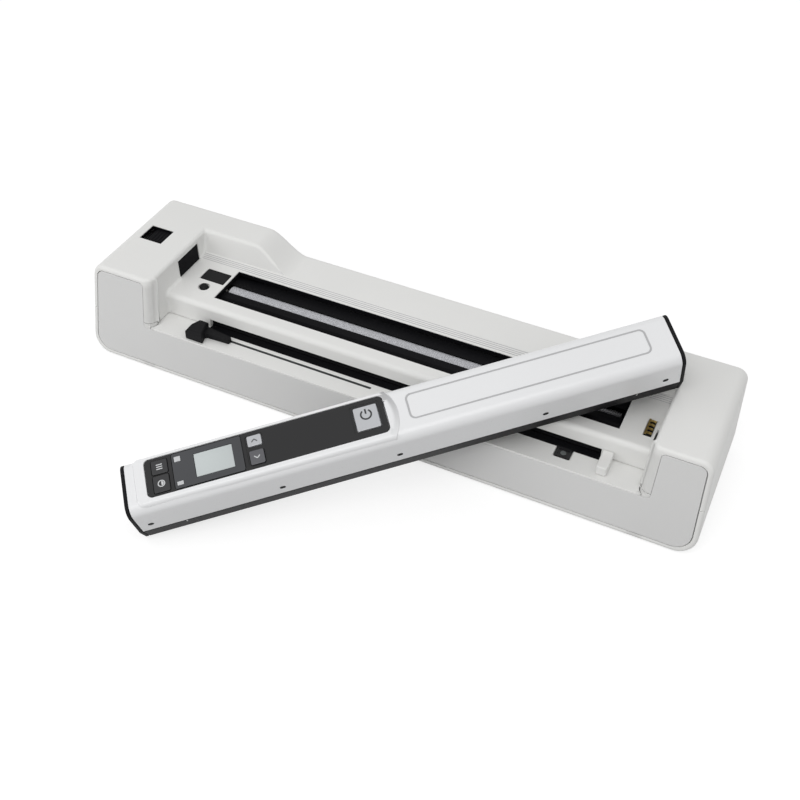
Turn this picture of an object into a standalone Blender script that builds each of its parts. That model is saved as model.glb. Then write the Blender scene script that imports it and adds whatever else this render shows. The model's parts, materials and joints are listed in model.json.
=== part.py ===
"""A portable document scanner: a wand scanner lying across its sheet-feeding dock.

Metres, +Z up. The dock is modelled round the middle of its own footprint, with +X along it, its front
at -Y and the table at Z = 0. The wand is modelled along its own U, V and W axes and then laid on the
table's edge and the right tower. One empty carries both, so that the origin lies under the middle of
the whole object.
"""

import math

import bmesh
import bpy
from mathutils import Euler, Matrix, Vector

# Clearances and cuts, shared by all pieces
GAP = 0.0003
OVERRUN = 0.003
OVERLAP = 0.0006
ARC_STEPS = 4
ROUND_STEPS = 20
SMALL_ROUND_STEPS = 12
SMOOTH_ANGLE = math.radians(35)
BEVEL_ANGLE = math.radians(50)
STRAIGHT_HALF_ANGLE = math.radians(89)
MERGE_DISTANCE = 0.00001

# Dock, outside
DOCK_LENGTH = 0.3282
END_FLARE = 0.003
DOCK_DEPTH = 0.0797
FRONT_LEAN = 0.00965
BOTTOM_RADIUS = 0.010
TOP_RADIUS = 0.006
EDGE_RADIUS = 0.0014
SEAM_HEIGHT = 0.027
WALL = 0.0022
FRONT_WALL = 0.0046

# Dock, the cradle between the towers
LEFT_TOWER_LENGTH = 0.0353
RIGHT_TOWER_LENGTH = 0.0281
TOWER_DRAFT = 0.035
TOWER_CORNER_RADIUS = 0.0042
LEDGE_HEIGHT = 0.0252
LEDGE_DEPTH = 0.0153
LEDGE_THICKNESS = 0.0018
LEDGE_CORNER_SWEEP = math.radians(52)
DECK_HEIGHT = 0.038
TOWER_RISE = 0.0142
RIDGE_DEPTH = 0.0083
RIDGE_RADIUS = 0.0028
TROUGH_MARGIN = 0.0253
TROUGH_RIGHT_MARGIN = 0.0188
TROUGH_DEPTH = 0.0254
REAR_LAND = 0.0004
REAR_SLOPE_DEPTH = 0.0042
REAR_WALL_RISE = 0.0026
REAR_LEAN = 0.0045
RAISED_WALL_LENGTH = 0.0308
RAISED_SLOPE_LENGTH = 0.023
RAISED_SLOPE_STEPS = 8

# Dock, the paper's way through
SLOT_MARGIN = 0.0271
SLOT_RIGHT_MARGIN = 0.0234
SLOT_HEIGHT = 0.0044
EXIT_HEIGHT = 0.0046
EXIT_FLOOR = 0.0281

# Dock, the grey front panel
PANEL_RIM = 0.0025
PANEL_LEDGE_RIM = 0.001
PANEL_TOWER_RIM = 0.0005
PANEL_BOTTOM_RADIUS = 0.0085
PANEL_TOP_RADIUS = 0.004
PANEL_CORNER_RADIUS = 0.002
PANEL_THICKNESS = 0.002
PANEL_GROOVE = 0.0004

# Dock, feet and screws
FOOT_PROUD = 0.0005
FOOT_THICKNESS = 0.0012
FOOT_RADIUS = 0.005
FOOT_INSET_X = 0.032
FOOT_INSET_Y = 0.011
SCREW_RADIUS = 0.0015
SCREW_HEAD_RADIUS = 0.0028
SCREW_HEAD_HEIGHT = 0.002
SCREW_SINK = 0.001
SCREW_LENGTH = 0.032
BOSS_RADIUS = 0.0037
BOSS_SPLIT = 0.0247
BOSS_INSET_X = 0.0165
BOSS_INSET_Y = 0.0135

# Dock, the feed roller and what carries it
ROLLER_RADIUS = 0.006
ROLLER_BORE_WALL = 0.0037
ROLLER_MARGIN = 0.002
ROLLER_RIGHT_MARGIN = 0.0152
ROLLER_SET_BACK = 0.0007
ROLLER_DROP = 0.0004
SHAFT_RADIUS = 0.002
COLLAR_RADIUS = 0.0047
COLLAR_LENGTH = 0.0125
COLLAR_GROOVES = 3
COLLAR_GROOVE_DEPTH = 0.0006
JOURNAL_OUT = 0.0012
BUSH_WALL = 0.001
BUSH_FLANGE = 0.0008
BRACKET_THICKNESS = 0.0025
BRACKET_HALF_WIDTH = 0.008

# Dock, the chute round the roller
CHUTE_THICKNESS = 0.0015
CHUTE_WELL_GAP = 0.0005
CHUTE_DROP = 0.0003
CHUTE_LAND = 0.0076
CHUTE_WELL_STEPS = 14
CHUTE_MARGIN = 0.0017
RIB_THICKNESS = 0.002
RIB_HALF_WIDTH = 0.004
RIB_PLACES_SHARE = (-0.26, 0.26)

# Dock, motor and gears
GEAR_MODULE = 0.0006
ROLLER_GEAR_TEETH = 18
IDLER_TEETH = 31
PINION_TEETH = 10
ADDENDUM_SHARE = 0.8
DEDENDUM_SHARE = 1.1
TOOTH_TIP_SHARE = 0.12
TOOTH_ROOT_SHARE = 0.28
GEAR_WIDTH = 0.004
GEAR_STAND_OFF = 0.0016
MOTOR_RADIUS = 0.009
MOTOR_LIFT = 0.0009
MOTOR_LENGTH = 0.025
MOTOR_BOSS_RADIUS = 0.003
MOTOR_SHAFT_RADIUS = 0.001
MOTOR_SHAFT_DEPTH = 0.006
DRIVE_PLATE_FRONT = 0.009
DRIVE_PLATE_BACK = 0.0100
IDLER_PIN_RADIUS = 0.0015
IDLER_PIN_HEAD_RADIUS = 0.0026
IDLER_PIN_HEAD = 0.0014

# Dock, electronics
BOARD_THICKNESS = 0.0016
BOARD_LENGTH = 0.090
BOARD_DEPTH = 0.030
BOARD_CENTRE_X = -0.015
BOARD_BACK_GAP = 0.0008
STANDOFF_HEIGHT = 0.0033
STANDOFF_RADIUS = 0.002
STANDOFF_INSET = 0.004
USB_WIDTH = 0.008
USB_HEIGHT = 0.0028
USB_DEPTH = 0.007
USB_SHELL = 0.0005
USB_X = -0.016
CONTACT_MARGIN = 0.0041
CONTACT_WIDTH = 0.0035
CONTACT_LENGTH = 0.0111
CONTACT_FROM_RIDGE = 0.0013
CONTACT_POCKET = 0.0012
CONTACT_COUNT = 4
CONTACT_BAR = 0.0009
CONTACT_THICKNESS = 0.0005
CONTACT_PROUD = 0.0001
FINGER_SHARES = (0.25, 0.75)
DECK_SLOT_MARGIN = 0.0008
DECK_SLOT_WIDTH = 0.0013
DECK_SLOT_LENGTH = 0.0069

# Dock, the small pieces on the deck and the ledge
PAD_MARGIN = 0.0096
PAD_LENGTH = 0.014
PAD_DEPTH = 0.0087
PAD_FROM_RIDGE = 0.0114
PAD_POCKET = 0.0008
PAD_THICKNESS = 0.0006
PEG_MARGIN = 0.0155
PEG_FROM_RIDGE = 0.0056
PEG_RADIUS = 0.0028
PEG_POCKET = 0.0012
PEG_HEIGHT = 0.0019
GUIDE_LINE_FROM_FRONT = 0.0095
GUIDE_SLOT_WIDTH = 0.0015
GUIDE_SLOT_END = 0.1241
GUIDE_LEFT = 0.0205
GUIDE_HEIGHT = 0.0057
GUIDE_ARM_HEIGHT = 0.0028
GUIDE_LENGTH = 0.0105
GUIDE_BACK_SHARES = (0.24, 0.70)
GUIDE_ARM_LENGTH = 0.0125
GUIDE_FRONT_DEPTH = 0.0085
GUIDE_BACK_DEPTH = 0.0030
GUIDE_STEM_DEPTH = 0.0025
RIGHT_GUIDE_MARGIN = 0.0172
RIGHT_GUIDE_WIDTH = 0.0053
RIGHT_GUIDE_DEPTH = 0.0120
RIGHT_GUIDE_FRONT = 0.0030
RIGHT_GUIDE_HEIGHT = 0.0050
SENSOR_MARGIN = 0.0359
SENSOR_WIDTH = 0.0078
SENSOR_DEPTH = 0.0068
SENSOR_FRONT = 0.0062
SENSOR_POCKET = 0.0010
SENSOR_PROUD = 0.0001

# Dock, the release in the left tower
RELEASE_OPENING_LENGTH = 0.0134
RELEASE_OPENING_DEPTH = 0.0126
RELEASE_FROM_END = 0.0079
RELEASE_FROM_BACK = 0.0269
RELEASE_TRAVEL = 0.003
PAD_SINK = 0.0012
RELEASE_WINDOW_DEPTH = 0.0188
RELEASE_WINDOW_FROM_BACK = 0.0263
RELEASE_WINDOW_RISE = 0.0004
RELEASE_WINDOW_DROP = 0.0036
RELEASE_BODY_HEIGHT = 0.011
RELEASE_BODY_MARGIN = 0.0016
LATCH_SINK = 0.0004

# Wand, outside
WAND_LENGTH = 0.257
WAND_WIDTH = 0.0273
WAND_HEIGHT = 0.029
WAND_BASE_HEIGHT = 0.0098
WAND_BASE_TAPER = 0.0026
WAND_EDGE_RADIUS = 0.005
WAND_WALL = 0.0018
WAND_TOP_WALL = 0.0024
WAND_FLOOR = 0.002
END_CAP_THICKNESS = 0.0015
SURROUND_HEIGHT = 0.0006
SIDE_HOLE_RADIUS = 0.0008
SIDE_HOLE_DEPTH = 0.0007
SIDE_HOLE_HEIGHT = 0.015
SIDE_HOLE_SHARES = (-0.945, -0.467, -0.040, 0.492, 0.931)
LINE_FROM_MIDDLE = 0.0037
LINE_FROM_END = 0.0125
LINE_DEPTH_V = 0.0136
LINE_CENTRE_V = 0.0011
LINE_RADIUS = 0.003
LINE_WIDTH = 0.0008
LINE_DEPTH = 0.0004

# Wand, how it lies
WAND_YAW = math.radians(36.54)
WAND_ROLL = math.radians(13.76)
WAND_REACH = 0.0008
WAND_REST_FROM_BACK = 0.028

# Wand, panel, display and keys
SURROUND_FROM_END = 0.0058
SURROUND_FROM_MIDDLE = 0.0048
SURROUND_WIDTH = 0.0252
SURROUND_BULGE = 0.004
SURROUND_RADIUS = 0.003
PANEL_FROM_END = 0.011
PANEL_FROM_MIDDLE = 0.0062
PANEL_WIDTH = 0.0196
PANEL_SET_BACK = 0.001
PANEL_RADIUS = 0.0025
PANEL_LIP = 0.0007
CONTROL_PANEL_THICKNESS = 0.0016
CONTROL_PANEL_SINK = 0.0002
BEZEL_RADIUS = 0.001
BEZEL_POCKET = 0.0008
BEZEL_THICKNESS = 0.0007
GLASS_THICKNESS = 0.0005
LENS_THICKNESS = 0.0008
KEY_PROUD = 0.0003
KEY_TRAVEL = 0.0006
KEY_FLANGE = 0.00035
KEY_FLANGE_THICKNESS = 0.0007
KEY_STEM_SHARE = 0.5
KEY_RADIUS = 0.0007

# Where each item starts and ends along the panel and across it, as shares of the panel
BEZEL_SHARES = ((0.116, 0.404), (0.041, 0.959))
GLASS_SHARES = ((0.207, 0.365), (0.209, 0.811))
LENS_UPPER_SHARES = ((0.126, 0.152), (0.709, 0.893))
LENS_LOWER_SHARES = ((0.126, 0.152), (0.092, 0.240))
MENU_KEY_SHARES = ((0.030, 0.096), (0.546, 0.908))
COLOR_KEY_SHARES = ((0.030, 0.096), (0.071, 0.505))
UP_KEY_SHARES = ((0.429, 0.488), (0.592, 0.867))
DOWN_KEY_SHARES = ((0.429, 0.488), (0.112, 0.469))
SCAN_KEY_SHARES = ((0.872, 0.969), (0.204, 0.816))

# Wand, inside
WAND_BOARD_FROM_END = 0.0065
WAND_BOARD_FROM_MIDDLE = 0.003
WAND_BOARD_HALF_WIDTH = 0.0104
WAND_BOARD_HEIGHT = 0.0190
WAND_POST_WIDTH = 0.003
WAND_POST_DEPTH = 0.0027
WAND_POST_SHARES = (0.06, 0.94)
SENSOR_BAR_FROM_END = 0.0195
SENSOR_BAR_WIDTH = 0.013
SENSOR_BAR_HEIGHT = 0.0092
SENSOR_GLASS_FROM_END = 0.0205
SENSOR_GLASS_WIDTH = 0.010
SENSOR_GLASS_THICKNESS = 0.0009
SENSOR_GLASS_LIP = 0.0012
SENSOR_GLASS_LEDGE = 0.0008
BATTERY_RADIUS = 0.007
BATTERY_NUB_RADIUS = 0.0028
BATTERY_NUB_HEIGHT = 0.001
BATTERY_FROM_MIDDLE = 0.0088
BATTERY_FROM_END = 0.0181
BATTERY_SPACE = 0.0006
BATTERY_COVER_FROM_MIDDLE = 0.0055
BATTERY_COVER_FROM_END = 0.0135
BATTERY_COVER_BOTTOM = 0.0125
BATTERY_COVER_HEIGHT = 0.0107
BATTERY_COVER_THICKNESS = 0.0009
BATTERY_COVER_LIP = 0.0015
BATTERY_COVER_RADIUS = 0.001
WAND_USB_FROM_END = 0.0285
WAND_USB_HEIGHT = 0.0146
WHEEL_RADIUS = 0.0032
WHEEL_WIDTH = 0.0078
WHEEL_PROUD = 0.0005
WHEEL_FROM_END = 0.0115
WHEEL_V = 0.005
AXLE_RADIUS = 0.0008
AXLE_OUT = 0.0008
BASE_END_BLOCK = 0.0165

# Places that follow from the sizes above
TOWER_HEIGHT = DECK_HEIGHT + TOWER_RISE
DOCK_BACK_Y = DOCK_DEPTH / 2
DOCK_FLOOR = FOOT_PROUD + WALL
LEFT_FACE_X = -DOCK_LENGTH / 2 + LEFT_TOWER_LENGTH
RIGHT_FACE_X = DOCK_LENGTH / 2 - RIGHT_TOWER_LENGTH
LEDGE_FRONT_Y = -DOCK_DEPTH / 2 + FRONT_LEAN * LEDGE_HEIGHT / TOWER_HEIGHT
RIDGE_Y = LEDGE_FRONT_Y + LEDGE_DEPTH
TROUGH_FRONT_Y = RIDGE_Y + RIDGE_DEPTH
TROUGH_BACK_Y = TROUGH_FRONT_Y + TROUGH_DEPTH
REAR_FOOT_Y = TROUGH_BACK_Y + REAR_LAND
REAR_INNER_Y = REAR_FOOT_Y + REAR_SLOPE_DEPTH
TROUGH_LEFT_X = LEFT_FACE_X + TROUGH_MARGIN
TROUGH_RIGHT_X = RIGHT_FACE_X - TROUGH_RIGHT_MARGIN
SLOT_LEFT_X = LEFT_FACE_X + SLOT_MARGIN
SLOT_RIGHT_X = RIGHT_FACE_X - SLOT_RIGHT_MARGIN
LEDGE_BOTTOM = LEDGE_HEIGHT - LEDGE_THICKNESS
DECK_UNDERSIDE = DECK_HEIGHT - WALL
REAR_WALL_HEIGHT = DECK_HEIGHT + REAR_WALL_RISE
RELEASE_WINDOW_BOTTOM = DECK_HEIGHT + RELEASE_WINDOW_RISE
RELEASE_WINDOW_TOP = TOWER_HEIGHT - RELEASE_WINDOW_DROP
ROLLER_Y = (TROUGH_FRONT_Y + TROUGH_BACK_Y) / 2 + ROLLER_SET_BACK
ROLLER_Z = DECK_UNDERSIDE - ROLLER_DROP - ROLLER_RADIUS
ROLLER_LEFT_X = TROUGH_LEFT_X + ROLLER_MARGIN
ROLLER_RIGHT_X = TROUGH_RIGHT_X - ROLLER_RIGHT_MARGIN
CHUTE_LEFT_X = TROUGH_LEFT_X - CHUTE_MARGIN
CHUTE_RIGHT_X = TROUGH_RIGHT_X + CHUTE_MARGIN / 2
BRACKET_RIGHT_X = CHUTE_LEFT_X - GAP
DRIVE_PLATE_X = CHUTE_RIGHT_X + GAP
DRIVE_PLATE_END_X = DRIVE_PLATE_X + BRACKET_THICKNESS
GEAR_X = DRIVE_PLATE_END_X + GEAR_STAND_OFF
GEAR_END_X = GEAR_X + GEAR_WIDTH
FIRST_CENTRES = GEAR_MODULE * (ROLLER_GEAR_TEETH + IDLER_TEETH) / 2
SECOND_CENTRES = GEAR_MODULE * (IDLER_TEETH + PINION_TEETH) / 2
MOTOR_Z = DOCK_FLOOR + MOTOR_LIFT + MOTOR_RADIUS
GEAR_LINE_ANGLE = math.asin((MOTOR_Z - ROLLER_Z) / (FIRST_CENTRES + SECOND_CENTRES))
IDLER_Y = ROLLER_Y + FIRST_CENTRES * math.cos(GEAR_LINE_ANGLE)
IDLER_Z = ROLLER_Z + FIRST_CENTRES * math.sin(GEAR_LINE_ANGLE)
MOTOR_Y = IDLER_Y + SECOND_CENTRES * math.cos(GEAR_LINE_ANGLE)
BUSH_RADIUS = SHAFT_RADIUS + GAP + BUSH_WALL
GUIDE_LINE_Y = LEDGE_FRONT_Y + GUIDE_LINE_FROM_FRONT
GUIDE_LEFT_X = LEFT_FACE_X + GUIDE_LEFT
GUIDE_STEM_X = GUIDE_LEFT_X + GUIDE_LENGTH / 2
BOARD_BOTTOM = DOCK_FLOOR + STANDOFF_HEIGHT + GAP
BOARD_BACK_Y = DOCK_BACK_Y - WALL - BOARD_BACK_GAP
WAND_TOP = WAND_HEIGHT + SURROUND_HEIGHT
SHELL_BOTTOM = WAND_BASE_HEIGHT + GAP
SHELL_END = WAND_LENGTH / 2 - END_CAP_THICKNESS - GAP
PANEL_TOP = WAND_TOP - CONTROL_PANEL_SINK
PANEL_BOTTOM = PANEL_TOP - CONTROL_PANEL_THICKNESS
BEZEL_FLOOR = PANEL_TOP - BEZEL_POCKET
WHEEL_W = WHEEL_RADIUS - WHEEL_PROUD
WAND_END_U = WAND_LENGTH / 2
WHEEL_U = WAND_END_U - WHEEL_FROM_END
WAND_USB_U = WAND_USB_FROM_END - WAND_END_U
SURROUND_U = (SURROUND_FROM_END - WAND_END_U, -SURROUND_FROM_MIDDLE)
PANEL_U = (PANEL_FROM_END - WAND_END_U, -PANEL_FROM_MIDDLE)
PANEL_V = (PANEL_SET_BACK - PANEL_WIDTH / 2, PANEL_SET_BACK + PANEL_WIDTH / 2)
LINE_U = (LINE_FROM_MIDDLE, WAND_END_U - LINE_FROM_END)
LINE_V = (LINE_CENTRE_V - LINE_DEPTH_V / 2, LINE_CENTRE_V + LINE_DEPTH_V / 2)
WAND_BOARD_U = (WAND_BOARD_FROM_END - WAND_END_U, -WAND_BOARD_FROM_MIDDLE)
BATTERY_U = (BATTERY_FROM_MIDDLE, WAND_END_U - BATTERY_FROM_END)
BATTERY_LENGTH = (BATTERY_U[1] - BATTERY_U[0] - BATTERY_SPACE) / 2
BATTERY_COVER_U = (BATTERY_COVER_FROM_MIDDLE, WAND_END_U - BATTERY_COVER_FROM_END)
BATTERY_COVER_W = (BATTERY_COVER_BOTTOM, BATTERY_COVER_BOTTOM + BATTERY_COVER_HEIGHT)

# Colours as red, green and blue, then roughness and metallic
WHITE_PLASTIC = ("white plastic", (0.83, 0.84, 0.83), 0.42, 0.0)
GREY_PLASTIC = ("grey plastic", (0.62, 0.63, 0.62), 0.5, 0.0)
BLACK_PLASTIC = ("black plastic", (0.018, 0.018, 0.02), 0.45, 0.0)
GLOSS_BLACK = ("gloss black", (0.01, 0.01, 0.012), 0.12, 0.0)
GREY_RUBBER = ("grey roller rubber", (0.22, 0.24, 0.28), 0.6, 0.0)
BLACK_RUBBER = ("black rubber", (0.02, 0.02, 0.02), 0.8, 0.0)
STEEL = ("steel", (0.60, 0.60, 0.62), 0.3, 1.0)
GOLD = ("gold plate", (0.85, 0.62, 0.22), 0.3, 1.0)
SILVER_KEY = ("silver key", (0.62, 0.63, 0.64), 0.35, 0.3)
DARK_KEY = ("dark key", (0.06, 0.06, 0.065), 0.4, 0.0)
DISPLAY_GREY = ("display grey", (0.50, 0.53, 0.50), 0.2, 0.0)
LENS_GREY = ("lens grey", (0.45, 0.46, 0.47), 0.25, 0.0)
BOARD_GREEN = ("board green", (0.03, 0.20, 0.09), 0.5, 0.0)
BATTERY_BLUE = ("battery sleeve", (0.10, 0.14, 0.30), 0.4, 0.2)
CLEAR_GLASS = ("sensor glass", (0.10, 0.12, 0.13), 0.08, 0.0)
NYLON = ("nylon", (0.78, 0.77, 0.72), 0.5, 0.0)


# Scene

def clear_scene():
    for item in list(bpy.data.objects):
        bpy.data.objects.remove(item, do_unlink=True)


def new_collection(name):
    made = bpy.data.collections.new(name)
    bpy.context.scene.collection.children.link(made)
    return made


def new_empty(name, parent=None):
    empty = bpy.data.objects.new(name, None)
    PARTS.objects.link(empty)
    empty.parent = parent
    return empty


def material_for(look):
    name, colour, roughness, metallic = look
    found = bpy.data.materials.get(name)
    if found:
        return found
    made = bpy.data.materials.new(name)
    made.use_nodes = True
    shader = made.node_tree.nodes["Principled BSDF"]
    shader.inputs["Base Color"].default_value = (*colour, 1.0)
    shader.inputs["Roughness"].default_value = roughness
    shader.inputs["Metallic"].default_value = metallic
    return made


# Shapes

def new_object(name, mesh):
    made = bpy.data.objects.new(name, mesh)
    CUTTERS.objects.link(made)
    made.hide_render = True
    made.display_type = "WIRE"
    return made


def object_from(name, shape):
    bmesh.ops.recalc_face_normals(shape, faces=shape.faces)
    mesh = bpy.data.meshes.new(name)
    shape.to_mesh(mesh)
    shape.free()
    return new_object(name, mesh)


def box(name, x, y, z):
    """A box from the first to the last value of each of x, y and z."""
    shape = bmesh.new()
    bmesh.ops.create_cube(shape, size=1)
    size = Vector((x[1] - x[0], y[1] - y[0], z[1] - z[0]))
    centre = Vector((x[0] + x[1], y[0] + y[1], z[0] + z[1])) / 2
    bmesh.ops.scale(shape, vec=size, verts=shape.verts)
    bmesh.ops.translate(shape, vec=centre, verts=shape.verts)
    return object_from(name, shape)


def rod(name, radius, start, length, along, steps=ROUND_STEPS):
    """A cylinder that runs from the point start over length along X, Y or Z."""
    shape = bmesh.new()
    bmesh.ops.create_cone(
        shape, cap_ends=True, segments=steps, radius1=radius, radius2=radius, depth=length
    )
    bmesh.ops.translate(shape, vec=Vector((0, 0, length / 2)), verts=shape.verts)
    direction = {"X": Vector((1, 0, 0)), "Y": Vector((0, 1, 0)), "Z": Vector((0, 0, 1))}[along]
    turn = Vector((0, 0, 1)).rotation_difference(direction).to_matrix()
    bmesh.ops.rotate(shape, matrix=turn, verts=shape.verts)
    bmesh.ops.translate(shape, vec=Vector(start), verts=shape.verts)
    return object_from(name, shape)


def turned(name, profile, centre, closed=False, steps=ROUND_STEPS):
    """A body turned about an axis along X. The profile holds (radius, x) from its right end to its left."""
    mesh = bpy.data.meshes.new(name)
    count = len(profile)
    edges = [(i, i + 1) for i in range(count - 1)]
    if closed:
        edges.append((count - 1, 0))
    mesh.from_pydata([(radius, 0, x) for radius, x in profile], edges, [])
    made = new_object(name, mesh)
    screw = made.modifiers.new("turn", "SCREW")
    screw.steps = steps
    screw.render_steps = steps
    screw.use_merge_vertices = True
    screw.merge_threshold = MERGE_DISTANCE
    made.rotation_euler = Euler((0, math.pi / 2, 0))
    made.location = centre
    return made


def slab(name, outline, low, high, plane):
    """A flat outline made thick. XY is extruded along Z, XZ along Y and YZ along X, from low to high."""
    flat = bpy.data.curves.new(name, "CURVE")
    flat.dimensions = "2D"
    flat.fill_mode = "BOTH"
    flat.extrude = (high - low) / 2
    line = flat.splines.new("POLY")
    line.points.add(len(outline) - 1)
    for point, (first, second) in zip(line.points, outline):
        point.co = (first, second, 0, 1)
    line.use_cyclic_u = True
    drawn = bpy.data.objects.new(name, flat)
    CUTTERS.objects.link(drawn)
    bpy.context.view_layer.update()
    solid = drawn.evaluated_get(bpy.context.evaluated_depsgraph_get())
    mesh = bpy.data.meshes.new_from_object(solid)
    bpy.data.objects.remove(drawn, do_unlink=True)
    bpy.data.curves.remove(flat)
    shape = bmesh.new()
    shape.from_mesh(mesh)
    bpy.data.meshes.remove(mesh)
    bmesh.ops.remove_doubles(shape, verts=shape.verts, dist=MERGE_DISTANCE)
    turns = {
        "XY": Matrix.Identity(3),
        "XZ": Matrix(((1, 0, 0), (0, 0, -1), (0, 1, 0))),
        "YZ": Matrix(((0, 0, 1), (1, 0, 0), (0, 1, 0))),
    }
    middle = (low + high) / 2
    shift = {"XY": (0, 0, middle), "XZ": (0, middle, 0), "YZ": (middle, 0, 0)}[plane]
    bmesh.ops.transform(shape, matrix=turns[plane].to_4x4(), verts=shape.verts)
    bmesh.ops.translate(shape, vec=Vector(shift), verts=shape.verts)
    return object_from(name, shape)


def arc(centre, radius, start, end, steps):
    """Points on a circle from one angle to another, both included."""
    points = []
    for i in range(steps + 1):
        angle = start + (end - start) * i / steps
        points.append((centre[0] + radius * math.cos(angle), centre[1] + radius * math.sin(angle)))
    return points


def rounded(corners, steps=ARC_STEPS):
    """An outline whose corners, each (first, second, radius), are rounded off."""
    points = []
    for i, (first, second, radius) in enumerate(corners):
        here = Vector((first, second))
        before = Vector(corners[i - 1][:2]) - here
        after = Vector(corners[(i + 1) % len(corners)][:2]) - here
        before.normalize()
        after.normalize()
        half = before.angle(after) / 2
        if radius <= 0 or half > STRAIGHT_HALF_ANGLE:
            points.append(tuple(here))
            continue
        middle = here + (before + after).normalized() * radius / math.sin(half)
        start = here + before * radius / math.tan(half) - middle
        end = here + after * radius / math.tan(half) - middle
        sweep = math.atan2(start.cross(end), start.dot(end))
        first_angle = math.atan2(start.y, start.x)
        points += arc(middle, radius, first_angle, first_angle + sweep, steps)
    return points


def rectangle(first, second, radius=0.0, inset=0.0):
    """The corners of a rectangle from (low, high) pairs, drawn in by inset."""
    radius = max(radius - inset, 0.0)
    low_a, high_a = first[0] + inset, first[1] - inset
    low_b, high_b = second[0] + inset, second[1] - inset
    corners = [(low_a, low_b, radius), (high_a, low_b, radius), (high_a, high_b, radius)]
    return corners + [(low_a, high_b, radius)]


def reshape(item, move):
    """Moves each point of the mesh to where the function move puts it."""
    for vertex in item.data.vertices:
        vertex.co = move(vertex.co.copy())
    item.data.update()


def bevel(item, width, segments=2):
    edge = item.modifiers.new("bevel", "BEVEL")
    edge.width = width
    edge.segments = segments
    edge.limit_method = "ANGLE"
    edge.angle_limit = BEVEL_ANGLE
    return item


def combine(item, others, operation):
    for other in others:
        step = item.modifiers.new(f"{operation.lower()} {other.name}", "BOOLEAN")
        step.operation = operation
        step.object = other
        other.parent = item.parent if item.parent else other.parent


def cut(item, *others):
    combine(item, others, "DIFFERENCE")
    return item


def join(item, *others):
    combine(item, others, "UNION")
    return item


def finish(item, frame, look, axis_point=None):
    """Makes the object a part with its frame and material and, if it moves, its origin on its axis."""
    CUTTERS.objects.unlink(item)
    PARTS.objects.link(item)
    item.hide_render = False
    item.display_type = "TEXTURED"
    item.parent = frame
    for step in item.modifiers:
        if step.type == "BOOLEAN":
            adopt(step.object, frame)
    item.data.materials.append(material_for(look))
    if axis_point is not None:
        item.data.transform(Matrix.Translation(-Vector(axis_point)))
        item.location = axis_point
    item.data.shade_smooth()
    item.data.set_sharp_from_angle(angle=SMOOTH_ANGLE)
    return item


def adopt(cutter, frame):
    cutter.parent = frame
    for step in cutter.modifiers:
        if step.type == "BOOLEAN":
            adopt(step.object, frame)


# Heights and faces of the dock

def front_at(height):
    return -DOCK_DEPTH / 2 + FRONT_LEAN * height / TOWER_HEIGHT


def half_length_at(height):
    return DOCK_LENGTH / 2 + END_FLARE * (1 - height / TOWER_HEIGHT)


def follow_front(item):
    """Leans a slab that starts at Y = 0 so that it starts at the dock's front face."""
    reshape(item, lambda co: Vector((co.x, co.y + front_at(co.z), co.z)))
    return item


def lean_front_points(item, depth):
    """Leans only the front points, those nearer than half the dock's depth, by the front face's slope."""

    def move(co):
        if co.y < 0:
            co.y = front_at(co.z) + depth
        return co

    reshape(item, move)
    return item


def draft_at(height):
    return TOWER_DRAFT * (TOWER_HEIGHT - height)


def dock_outline(inset):
    corners = [
        (-half_length_at(FOOT_PROUD) + inset, FOOT_PROUD + inset, BOTTOM_RADIUS - inset),
        (half_length_at(FOOT_PROUD) - inset, FOOT_PROUD + inset, BOTTOM_RADIUS - inset),
        (half_length_at(TOWER_HEIGHT) - inset, TOWER_HEIGHT - inset, TOP_RADIUS - inset),
        (-half_length_at(TOWER_HEIGHT) + inset, TOWER_HEIGHT - inset, TOP_RADIUS - inset),
    ]
    return rounded(corners)


def dock_block(name):
    block = slab(name, dock_outline(0), -DOCK_DEPTH / 2, DOCK_BACK_Y, "XZ")
    lean_front_points(block, 0)
    return bevel(block, EDGE_RADIUS)


def dock_space(name):
    space = slab(name, dock_outline(WALL), -DOCK_DEPTH / 2, DOCK_BACK_Y - WALL, "XZ")
    return lean_front_points(space, FRONT_WALL)


def whole_box(name, low, high):
    """A box over the whole dock between two heights."""
    reach = DOCK_LENGTH / 2 + END_FLARE + OVERRUN
    depth = DOCK_DEPTH / 2 + OVERRUN
    return box(name, (-reach, reach), (-depth, depth), (low, high))


def draft_ends(item):
    """Slopes the ends of a cutter that lies between the towers, by the towers' draft."""

    def move(co):
        co.x += math.copysign(draft_at(co.z), -co.x)
        return co

    reshape(item, move)
    return item


def cradle(name, grow):
    """The space over ledge, ridge, deck and rear wall, made larger all round by grow."""
    low = LEDGE_BOTTOM - OVERRUN
    high = TOWER_HEIGHT + OVERRUN
    front = -DOCK_DEPTH / 2 - OVERRUN
    ridge = RIDGE_Y + grow
    deck = DECK_HEIGHT - grow
    centre = (ridge + RIDGE_RADIUS, deck - RIDGE_RADIUS)
    outline = [(front, high), (front, low), (ridge, low)]
    outline += arc(centre, RIDGE_RADIUS, math.pi, math.pi / 2, ARC_STEPS)
    outline += [
        (REAR_FOOT_Y + grow, deck),
        (REAR_INNER_Y + grow, REAR_WALL_HEIGHT - grow),
        (REAR_INNER_Y + REAR_LEAN + grow, high),
    ]
    return draft_ends(slab(name, outline, LEFT_FACE_X - grow, RIGHT_FACE_X + grow, "YZ"))


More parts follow.
